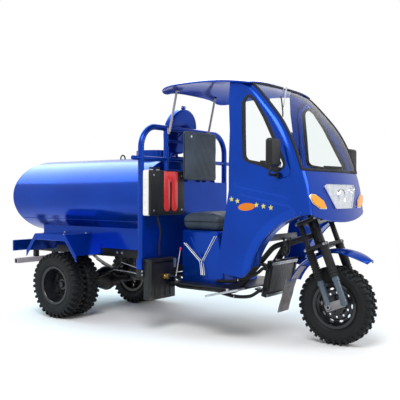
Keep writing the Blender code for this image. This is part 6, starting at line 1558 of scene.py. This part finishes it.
def make_valve():
    """Brass body with a cross barrel, and its bent rod with a knob."""
    face = 1.1019
    middle = face + 0.018
    body = add_rod((face, VALVE_Y, VALVE_Z), (face + 0.045, VALVE_Y, VALVE_Z), 0.0235, 6, bevel=0.0015)
    half = [(0, 0.0375), (0.0125, 0.0375), (0.0165, 0.034), (0.0165, 0.022), (0.0125, 0.02)]
    barrel = add_lathe(both_ways(half), (middle, VALVE_Y, VALVE_Z), (0, 1, 0), 28)
    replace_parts(finish_piece(join(body, barrel), "valve_body", "brass"), "water_valve")
    route = bent_path([(middle, -0.4, 0.438), (middle, -0.3, 0.422), (middle, -0.243, 0.65)], 0.018, 6)
    finish_piece(add_pipe(route, 0.0048), "valve_rod", "steel")
    finish_piece(add_rod((middle, -0.2445, 0.632), (middle, -0.2395, 0.662), 0.0085, 20,
                         bevel=0.003), "valve_knob", "red")


# Seat and floor
def add_cushion(low, high, corner, shape, cuts=34):
    """A rounded block with dense faces, whose points shape then moves."""
    low = Vector(low)
    high = Vector(high)
    middle = (low + high) / 2
    half = (high - low) / 2
    item = add_block(low, high)
    edit_all(item, bpy.ops.mesh.subdivide, number_cuts=cuts)
    for vertex in item.data.vertices:
        place_in = vertex.co - middle
        core = Vector([max(min(value, size - corner), corner - size) for value, size in zip(place_in, half)])
        out = place_in - core
        if out.length > 0:
            place_in = core + out.normalized() * corner
        shares = Vector([value / size for value, size in zip(place_in, half)])
        vertex.co = middle + place_in + Vector(shape(shares))
    return item


def groove(value, at, width):
    return math.exp(-((value - at) / width) ** 2)


def seat_shape(share):
    """Crowned top with two cross channels, sides that pull in at the middle and soft wrinkles."""
    x, y, z = share
    top = max(z, 0)
    rise = -0.016 + 0.018 * (1 - x * x) * (1 - y * y) + 0.004 * (1 - x * x)
    rise -= 0.0045 * (groove(x, -0.3, 0.035) + groove(x, 0.34, 0.035)) * (1 - abs(y) ** 6)
    rise += 0.0017 * math.sin(9 * x + 4 * y) * math.cos(7 * y - 3 * x)
    side = 1 - z * z
    return (-0.004 * x * side * (1 - y * y), -0.005 * y * side * (1 - x * x), top * rise)


def back_shape(share):
    """Two upright channels, a crowned face and a slack lower edge."""
    x, y, z = share
    front = max(x, 0)
    puff = 0.01 * (1 - y * y) * (1 - z * z) - 0.008
    puff -= 0.0045 * (groove(z, 0.32, 0.03) + groove(z, -0.3, 0.03)) * (1 - abs(y) ** 6)
    puff += 0.0022 * math.sin(8 * z + 5 * y + 2 * math.sin(3 * y)) * math.cos(6 * y + 2 * z)
    return (front * puff, -0.004 * y * (1 - z * z), -0.004 * z * (1 - y * y))


def piping(low, high, corner, level, axis="z"):
    """Round cord sewn along a cushion's edge."""
    low = Vector(low)
    high = Vector(high)
    if axis == "z":
        corners = [(low.x, low.y), (high.x, low.y), (high.x, high.y), (low.x, high.y)]
        path = [Vector((x, y, level)) for x, y in rounded_outline(corners, corner, 8)]
    else:
        corners = [(low.y, low.z), (high.y, low.z), (high.y, high.z), (low.y, high.z)]
        path = [Vector((level, y, z)) for y, z in rounded_outline(corners, corner, 8)]
    return add_pipe(path, 0.0032, closed=True, resolution=2)


def make_seat():
    seat = add_cushion((1.1315, -0.249, 0.8106), (1.517, 0.249, 0.955), 0.06, seat_shape)
    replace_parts(finish_piece(seat, "seat_pad", "vinyl", smooth=60), "seat_cushion")
    seam = piping((1.1345, -0.246, 0), (1.514, 0.246, 0), 0.055, 0.88)
    finish_piece(seam, "seat_piping", "rubber", smooth=60)
    back = add_cushion((1.1125, -0.219, 1.221), (1.1665, 0.219, 1.629), 0.024, back_shape, 30)
    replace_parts(finish_piece(back, "back_pad", "vinyl", smooth=60), "backrest")
    seam = piping((0, -0.2165, 1.2235), (0, 0.2165, 1.6265), 0.03, 1.14, "x")
    finish_piece(seam, "back_piping", "rubber", smooth=60)
    rivet = [(0, 0), (0.01, 0), (0.01, 0.002), (0.006, 0.0045), (0, 0.0052)]
    finish_piece(add_lathe(rivet, (1.1615, -0.15, 1.585), (1, 0, 0), 24), "back_rivet", "white")


def make_tub_trim():
    """Two bright strips that meet in a V on each side of the tub, each a thick bar beside a thin one."""
    low_z = 0.3903
    bars = []
    for sign in SIGNS:
        y = sign * 0.2505
        for x, z, knee_x in ((1.165, 0.7, 1.33), (1.475, 0.77, 1.345)):
            knee_z = 0.556
            thick = [(x, y, z), (knee_x, y, knee_z), (knee_x + 0.012, y, 0.45)]
            thin = [(x + 0.02, y, z), (knee_x + 0.018, y, knee_z + 0.004), (knee_x + 0.03, y, 0.45)]
            bars += [add_pipe(bent_path(thick, 0.03, 5), 0.0062), add_pipe(bent_path(thin, 0.03, 5), 0.0035)]
    finish_piece(join(*bars), "tub_trims", "chrome")
    lips = [add_block((1.128, sign * 0.2502, low_z),
                      (1.56, sign * 0.2502 + 0.004 * sign, low_z + 0.016)) for sign in SIGNS]
    finish_piece(join(*lips), "tub_lips", "blue")


def make_steps():
    for side, sign in SIDES:
        near = sign * 0.4003
        span = sorted((near, sign * 0.4898))
        plate = add_prism("y", [(1.558, 0.333), (1.858, 0.407), (1.858, 0.3955), (1.558, 0.3215)], *span)
        low, high = sorted((near, near + sign * 0.012))
        parts = [soften(plate, 0.002, 2, 50), add_block((1.696, low, 0.358), (1.72, high, 0.39), 0.001)]
        for index in range(13):
            x = 1.57 + 0.023 * index
            z = 0.333 + (x - 1.558) * 0.2467
            parts.append(add_rod((x, span[0] + 0.004, z), (x, span[1] - 0.004, z), 0.0042, 12))
        parts += [add_rod((1.56, edge, 0.3325), (1.856, edge, 0.4055), 0.0048, 12) for edge in span]
        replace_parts(finish_piece(join(*parts), "step_tread_" + side, "steel"), "side_step_" + side)


# Frame, axle and running gear
def make_chassis():
    """Welded frame: two rails, bent front tubes, cross members, spring hangers and the head tube."""
    parts = []
    for sign in SIGNS:
        rail = sign * RAIL_Y
        low = rail - 0.0205
        high = rail + 0.0205
        parts.append(add_block((-0.765, rail - 0.0225, 0.54), (HOOP_X - 0.005, rail + 0.0225, 0.62), 0.006))
        parts.append(add_block((HOOP_X - 0.025, low, 0.444), (HOOP_X + 0.021, high, 0.544), 0.002))
        corners = [(0.9, rail, 0.58), (0.96, rail, 0.58), (1.06, rail, 0.345), (1.68, rail, 0.345),
                   (1.92, sign * 0.083, 0.7), (2.2242, sign * 0.023, 0.7936)]
        parts.append(add_pipe(bent_path(corners, 0.12, 8), 0.021, resolution=5))
        parts.append(add_rod((1.824, sign * 0.1395, 0.558), (1.824, sign * 0.4897, 0.558), 0.018, 24))
        for eye in (-SPRING_HALF, SPRING_HALF):
            parts.append(add_block((eye - 0.03, low, 0.4805), (eye + 0.03, high, 0.544), 0.004))
        parts.append(add_block((-0.761, low, 0.4753), (-0.715, high, 0.544), 0.003))
    for x in (-0.6, -0.15, HOOP_X - 0.535):
        parts.append(add_block((x - 0.025, -0.261, 0.544), (x + 0.025, 0.261, 0.616), 0.004))
    parts.append(add_block((HOOP_X - 0.029, -0.605, 0.44), (FOOT_FACE_X, 0.605, 0.5), 0.004))
    parts.append(add_rod(on_axis(-0.082, 0, 0), on_axis(0.082, 0, 0), 0.034, 36, bevel=0.002))
    parts += [weld(on_axis(level, 0, 0), 0.0345, HEAD_UP) for level in (-0.045, 0.045)]
    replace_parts(finish_piece(join(*parts), "frame_weldment", "frame"), "chassis_frame")
    bolts = [hex_bolt((FOOT_FACE_X, y, z), (1, 0, 0), 0.009) for y in (-0.595, 0.595) for z in (0.457, 0.485)]
    bolts += [hex_bolt((x, sign * 0.2725, 0.58), (0, sign, 0), 0.009)
              for x in (-0.48, -0.42, 0.42, 0.48) for sign in SIGNS]
    finish_piece(join(*bolts), "frame_bolts", "steel")
    plates = [add_block((HOOP_X - 0.0256, y - 0.003, 0.502), (1.018, y + 0.003, 0.585), 0.002)
              for y in (-0.606, 0.606)]
    finish_piece(join(*plates), "hoop_foot_plates", "blue")


def leaf_pack(sign):
    """Four bent leaves, held to the axle by two U-bolts and their plates."""
    parts = []
    rail = sign * RAIL_Y
    for index in range(4):
        half = SPRING_HALF * (1 - 0.17 * (3 - index))
        stations = [half * (2 * step / 16 - 1) for step in range(17)]
        low = [(x, 0.3212 + 0.133 * (x / SPRING_HALF) ** 2 + 0.0067 * index) for x in stations]
        high = [(x, z + 0.0058) for x, z in reversed(low)]
        parts.append(add_prism("y", low + high, rail - 0.0245, rail + 0.0245))
    for x in (-0.045, 0.045):
        legs = ((-0.03, 0.232), (-0.03, 0.357), (0.03, 0.357), (0.03, 0.232))
        parts.append(add_pipe(bent_path([(x, rail + y, z) for y, z in legs], 0.012, 4), 0.006))
    parts.append(add_block((-0.06, rail - 0.04, 0.24), (0.06, rail + 0.04, 0.25), 0.002))
    parts.append(add_block((-0.055, rail - 0.027, 0.347), (0.055, rail + 0.027, 0.354), 0.002))
    return parts


def make_rear_axle():
    """Axle tube with the bulge of its final drive in the middle, on its springs."""
    bulge = [(0, 0.15), (0.04, 0.15), (0.072, 0.12), (0.098, 0.06), (0.1045, 0.02), (0.1045, 0.014),
             (0.114, 0.012)]
    parts = [add_rod((0, -0.33, AXLE_Z), (0, 0.33, AXLE_Z), 0.036, 32),
             add_lathe(both_ways(bulge), (0, 0, AXLE_Z), (0, 1, 0), 48)]
    parts.append(add_rod((0, -0.54, AXLE_Z), (0, 0.54, AXLE_Z), 0.026, 28))
    parts.append(add_rod((0, 0, AXLE_Z), (0.135, 0, AXLE_Z), 0.04, 28, bevel=0.004))
    parts += leaf_pack(-1) + leaf_pack(1)
    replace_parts(finish_piece(join(*parts), "axle_and_springs", "black"), "rear_axle")


def make_cardan_shaft():
    start = Vector((0.1353, 0, AXLE_Z))
    end = Vector((1.1597, 0, 0.429))
    run = (end - start).normalized()
    shaft = [add_rod(start + run * 0.03, end - run * 0.03, 0.022, 28)]
    for tip, way in ((start, 1), (end, -1)):
        knuckle = tip + Vector((way * 0.012, 0, 0))
        shaft.append(add_rod(tip, knuckle, 0.036, 28, bevel=0.001))
        shaft.append(add_rod(knuckle, tip + Vector((way * 0.052, 0, 0)), 0.028, 28, bevel=0.004))
        shaft.append(add_rod(tip + Vector((way * 0.034, -0.034, 0)),
                             tip + Vector((way * 0.034, 0.034, 0)), 0.01, 20))
    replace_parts(finish_piece(join(*shaft), "cardan_shaft", "black"), "drive_shaft")


def make_exhaust():
    silencer = [(0, -0.23), (0.03, -0.23), (0.054, -0.224), (0.06, -0.215), (0.06, -0.12),
                (0.0575, -0.117), (0.0575, -0.112), (0.06, -0.109), (0.06, 0.215), (0.054, 0.224),
                (0.03, 0.23), (0, 0.23)]
    pieces = [add_lathe(silencer, (0.72, EXHAUST_Y, EXHAUST_Z), (1, 0, 0), 40)]
    front = [(x, EXHAUST_Y, z) for x, z in ((1.1597, 0.3552), (1.07, 0.3552), (1.01, EXHAUST_Z),
                                            (0.932, EXHAUST_Z))]
    pieces.append(add_pipe(bent_path(front, 0.06, 6), 0.018))
    pieces.append(add_pipe([(x, EXHAUST_Y, EXHAUST_Z) for x in (0.508, 0.44, 0.37)], 0.0144))
    pieces.append(add_block((0.4525, -0.1625, EXHAUST_Z), (0.493, -0.1175, 0.5437), 0.003))
    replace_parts(finish_piece(join(*pieces), "silencer", "black"), "exhaust")


def make_engine_cover():
    """Side covers and fins on the engine block."""
    disc = [(0, 0), (0.08, 0), (0.08, 0.004), (0.072, 0.01), (0.03, 0.012), (0.026, 0.016), (0, 0.016)]
    parts = [add_lathe([(radius, along * sign) for radius, along in disc], (1.3, sign * 0.17, 0.43),
                       (0, 1, 0), 40) for sign in SIGNS]
    for index in range(8):
        z = 0.5 + 0.022 * index
        parts.append(add_block((1.152, -0.178, z), (1.488, 0.178, z + 0.005)))
    finish_piece(join(*parts), "engine_fins", "cast")


def in_radiator(item):
    """Leans an item modelled upright at the origin into the radiator's place."""
    item.data.transform(Matrix.Translation((1.875, 0, 0.325)) @ Matrix.Rotation(math.radians(12), 4, "Y"))
    return item


def make_radiator():
    frame_box = add_block((0, -0.2, 0), (0.045, 0.2, 0.28), 0.003)
    cut(frame_box, add_block((-0.02, -0.172, 0.028), (0.07, 0.172, 0.252)))
    parts = [frame_box]
    for low in (0.028, 0.224):
        parts.append(add_block((-0.07, -0.193, low), (0.007, -0.12, low + 0.014), 0.002))
        parts.append(add_block((-0.07, 0.12, low), (0.007, 0.193, low + 0.014), 0.002))
    parts += [add_rod((0.022, -0.2, z), (0.022, -0.222, z), 0.016, 24) for z in (0.225, 0.055)]
    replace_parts(finish_piece(in_radiator(join(*parts)), "cooler_tanks", "plastic"), "radiator")


def make_cooler_core():
    fins = []
    for index in range(32):
        z = 0.0295 + 0.007 * index
        fins.append(add_block((0.009, -0.172, z), (0.036, 0.172, z + 0.0022)))
    for index in range(13):
        y = -0.156 + 0.026 * index
        fins.append(add_block((0.008, y - 0.0035, 0.028), (0.037, y + 0.0035, 0.252)))
    finish_piece(in_radiator(join(*fins)), "cooler_core", "cast")
    strips = []
    for low in (0.003, 0.255):
        strip = add_block((0.045, -0.195, low), (0.0475, 0.195, low + 0.022))
        holes = [add_rod((0.03, y, low + 0.011), (0.06, y, low + 0.011), 0.0062, 16)
                 for y in [-0.176 + 0.022 * index for index in range(17)]]
        strips.append(cut(strip, join(*holes)))
    finish_piece(in_radiator(join(*strips)), "cooler_strips", "steel")


def make_cooler_hoses():
    upper = [(1.934, -0.221, 0.54), (1.93, -0.262, 0.545), (1.88, -0.29, 0.5), (1.74, -0.3, 0.445),
             (1.6, -0.3, 0.425), (1.52, -0.28, 0.42)]
    lower = [(1.898, -0.221, 0.374), (1.89, -0.262, 0.368), (1.83, -0.29, 0.33), (1.7, -0.295, 0.318),
             (1.56, -0.28, 0.33)]
    hoses = [add_cable(route, HOSE_R) for route in (upper, lower)]
    finish_piece(join(*hoses), "cooler_hoses", "rubber", smooth=60)
    band = [(HOSE_R, -0.004), (0.0158, -0.004), (0.0158, 0.004), (HOSE_R, 0.004)]
    places = (((1.934, -0.228, 0.541), (0.05, 1, 0)), ((1.896, -0.228, 0.372), (0.1, 1, 0.1)),
              ((1.74, -0.3, 0.445), (1, 0.02, 0.3)), ((1.7, -0.295, 0.318), (1, 0, 0)))
    clamps = [add_lathe(band, spot, axis, 24) for spot, axis in places]
    finish_piece(join(*clamps), "hose_clamps", "steel")


def make_horn():
    """Horn on a bracket beside the head tube, with a tray and cables."""
    shell = [(0, 0), (0.032, 0), (0.05, 0.01), (0.058, 0.022), (0.058, 0.03), (0.049, 0.033),
             (0.045, 0.027), (0.02, 0.024), (0.016, 0.031), (0, 0.033)]
    horn = add_lathe(shell, (2.03, -0.138, 0.695), (1, 0, 0), 40)
    bracket = add_block((2.024, -0.138, 0.7), (2.03, -0.06, 0.722), 0.001)
    finish_piece(join(horn, bracket), "horn", "plastic")
    tray = [(1.88, 0.735), (2.0, 0.765), (1.995, 0.803), (1.89, 0.79)]
    finish_piece(soften(add_prism("y", tray, -0.15, 0.15), 0.004, 2), "cable_tray", "cast")
    route = ((1.985, 0, 0.78), (2.015, -0.02, 0.735), (2.0, -0.045, 0.69), (1.95, -0.06, 0.6),
             (1.9, -0.06, 0.52))
    lines = [add_cable([(x, y + aside, z) for x, aside, z in route], 0.0055) for y in (-0.075, -0.06, 0.04)]
    wire = [(2.031, -0.13, 0.69), (1.995, -0.15, 0.66), (1.96, -0.11, 0.62), (1.93, -0.08, 0.6)]
    lines.append(add_cable(wire, 0.0035))
    finish_piece(join(*lines), "head_cables", "rubber")


def make_rear_details():
    """Fender beads and bolts, the rear bar's plugs and the brake rods."""
    beads = []
    bolts = []
    for sign in SIGNS:
        y = sign * 0.657
        outline = [(-0.362, 0.535), (-0.24, 0.694), (0.17, 0.694), (0.311, 0.521)]
        beads.append(add_pipe(bent_path([(x, y, z) for x, z in outline], 0.02, 4), 0.0045))
        bolts += [hex_bolt((x, sign * across, 0.744), (0, 0, 1), 0.008) for x in (-0.18, 0.11)
                  for across in (0.36, 0.62)]
    finish_piece(join(*beads), "fender_beads", "blue")
    bolts += [hex_bolt((-0.7853, y, 0.5975), (-1, 0, 0), 0.009) for y in (-0.48, 0, 0.48)]
    finish_piece(join(*bolts), "fender_bolts", "steel")
    plugs = [add_block((-0.7485, low, 0.4315), (-0.7115, low + PLUG_LENGTH, 0.4685), 0.002)
             for low in (-0.49 - PLUG_LENGTH, 0.49)]
    finish_piece(join(*plugs), "bar_plugs", "plastic")
    rods = [add_cable([(0.5, -0.3, 0.5), (0.66, -0.305, 0.47), (0.86, -0.3, 0.44),
                       (0.98, -0.3, 0.43)], 0.0045),
            add_cable([(0.42, -0.318, 0.43), (0.62, -0.32, 0.425), (0.84, -0.322, 0.4),
                       (0.99, -0.33, 0.395)], 0.004)]
    finish_piece(join(*rods), "brake_rods", "steel")


# Repainted CAD nodes
def repaint_frame():
    plain = {"engine_block": "cast", "rear_bar": "grey", "tank_tray": "blue",
             "rear_board": "blue", "fender_right": "blue", "fender_left": "blue",
             "tail_lamp_right": "tail", "tail_lamp_left": "tail", "bulkhead": "blue",
             "floor_pan": "black", "seat_tub": "blue"}
    for node, finish in plain.items():
        repaint(node, finish)


# Studio
SENSOR_WIDTH = 36.0
FOCAL_SHARE = 628.998 / 400


def camera_basis(yaw, pitch, roll):
    ahead = Vector((-math.sin(yaw) * math.cos(pitch), math.cos(yaw) * math.cos(pitch), math.sin(pitch)))
    right = Vector((math.cos(yaw), math.sin(yaw), 0))
    up = right.cross(ahead)
    rolled_right = right * math.cos(roll) + up * math.sin(roll)
    rolled_up = up * math.cos(roll) - right * math.sin(roll)
    return rolled_right, rolled_up, -ahead


def make_camera():
    deselect()
    bpy.ops.object.camera_add(location=(4.3943 - CENTRE_X, -4.3096, 1.0995))
    camera = bpy.context.active_object
    right, up, back = camera_basis(0.6469, -0.0087, 0.0025)
    turn = Matrix((right, up, back)).transposed()
    camera.rotation_euler = turn.to_euler()
    camera.data.sensor_width = SENSOR_WIDTH
    camera.data.lens = SENSOR_WIDTH * FOCAL_SHARE
    camera.data.clip_end = 200.0
    bpy.context.scene.camera = camera


def seen_or_reflected(tree):
    """1 for camera, glossy and transmitted rays, which see the white backdrop."""
    path = tree.nodes.new("ShaderNodeLightPath")
    first = place(tree, "ShaderNodeMath", {"operation": "MAXIMUM"}, n0=path.outputs["Is Camera Ray"],
                  n1=path.outputs["Is Transmission Ray"])
    return place(tree, "ShaderNodeMath", {"operation": "MAXIMUM"}, n0=first.outputs[0],
                 n1=path.outputs["Is Glossy Ray"]).outputs[0]


def make_world():
    world = bpy.data.worlds.new("studio_world")
    bpy.context.scene.world = world
    world.use_nodes = True
    tree = world.node_tree
    background = tree.nodes["Background"]
    strength = ranged(tree, seen_or_reflected(tree), 0.0, 1.0, 0.62, 1.0)
    background.inputs["Color"].default_value = (1, 1, 1, 1)
    tree.links.new(strength, background.inputs["Strength"])


def make_floor():
    deselect()
    bpy.ops.mesh.primitive_plane_add(size=120)
    floor = bpy.context.active_object
    floor.name = "studio_floor"
    material, tree, shader = start_material("studio_floor_paint")
    shader.inputs["Base Color"].default_value = (0.93, 0.93, 0.93, 1)
    shader.inputs["Roughness"].default_value = 0.9
    shader.inputs["Specular IOR Level"].default_value = 0.0
    far = place(tree, "ShaderNodeVectorMath", {"operation": "LENGTH"}, n0=object_place(tree))
    fade = ranged(tree, far.outputs["Value"], 2.1, 3.4)
    seen = place(tree, "ShaderNodeMath", {"operation": "MULTIPLY"}, n0=fade, n1=seen_or_reflected(tree))
    white = place(tree, "ShaderNodeEmission", None, Color=(1, 1, 1, 1), Strength=1.0)
    mix = place(tree, "ShaderNodeMixShader", None, n0=seen.outputs[0], n1=shader.outputs[0],
                n2=white.outputs[0])
    tree.links.new(mix.outputs[0], tree.nodes["Material Output"].inputs["Surface"])
    floor.data.materials.append(material)


def add_lamp(name, place_at, target, size, power, colour=(1, 1, 1)):
    deselect()
    turn = (Vector(target) - Vector(place_at)).to_track_quat("-Z", "Y").to_euler()
    bpy.ops.object.light_add(type="AREA", location=place_at, rotation=turn)
    lamp = bpy.context.active_object
    lamp.name = name
    lamp.data.shape = "DISK"
    lamp.data.size = size
    lamp.data.energy = power
    lamp.data.color = colour


def make_studio():
    make_camera()
    make_world()
    make_floor()
    add_lamp("key_lamp", (2.5, -4.5, 6.0), (0.2, 0, 0.8), 3.5, 300.0)
    add_lamp("top_lamp", (-3.9, 0.4, 4.6), (-0.2, 0, 1.0), 5.6, 250.0, (0.55, 0.86, 1.0))
    add_lamp("fill_lamp", (6.0, 1.5, 3.5), (0.5, 0, 0.9), 3.0, 110.0)
    add_lamp("back_lamp", (-3.0, 5.0, 5.0), (0, 0, 0.9), 3.0, 60.0)
    bpy.context.scene.view_settings.view_transform = "Standard"


make_studio()
repaint_frame()
make_wheels()
make_tank()
make_lid()
make_cab()
make_fork()
make_mudguard()
make_flap()
make_handlebar()
make_headlamp()
make_turn_lamps()
make_film()
make_wiper()
make_mirrors()
make_dash()
make_hoop()
make_poles()
make_canister()
make_battery_box()
make_valve()
make_seat()
make_tub_trim()
make_steps()
make_chassis()
make_rear_axle()
make_cardan_shaft()
make_exhaust()
make_engine_cover()
make_radiator()
make_cooler_core()
make_cooler_hoses()
make_horn()
make_rear_details()
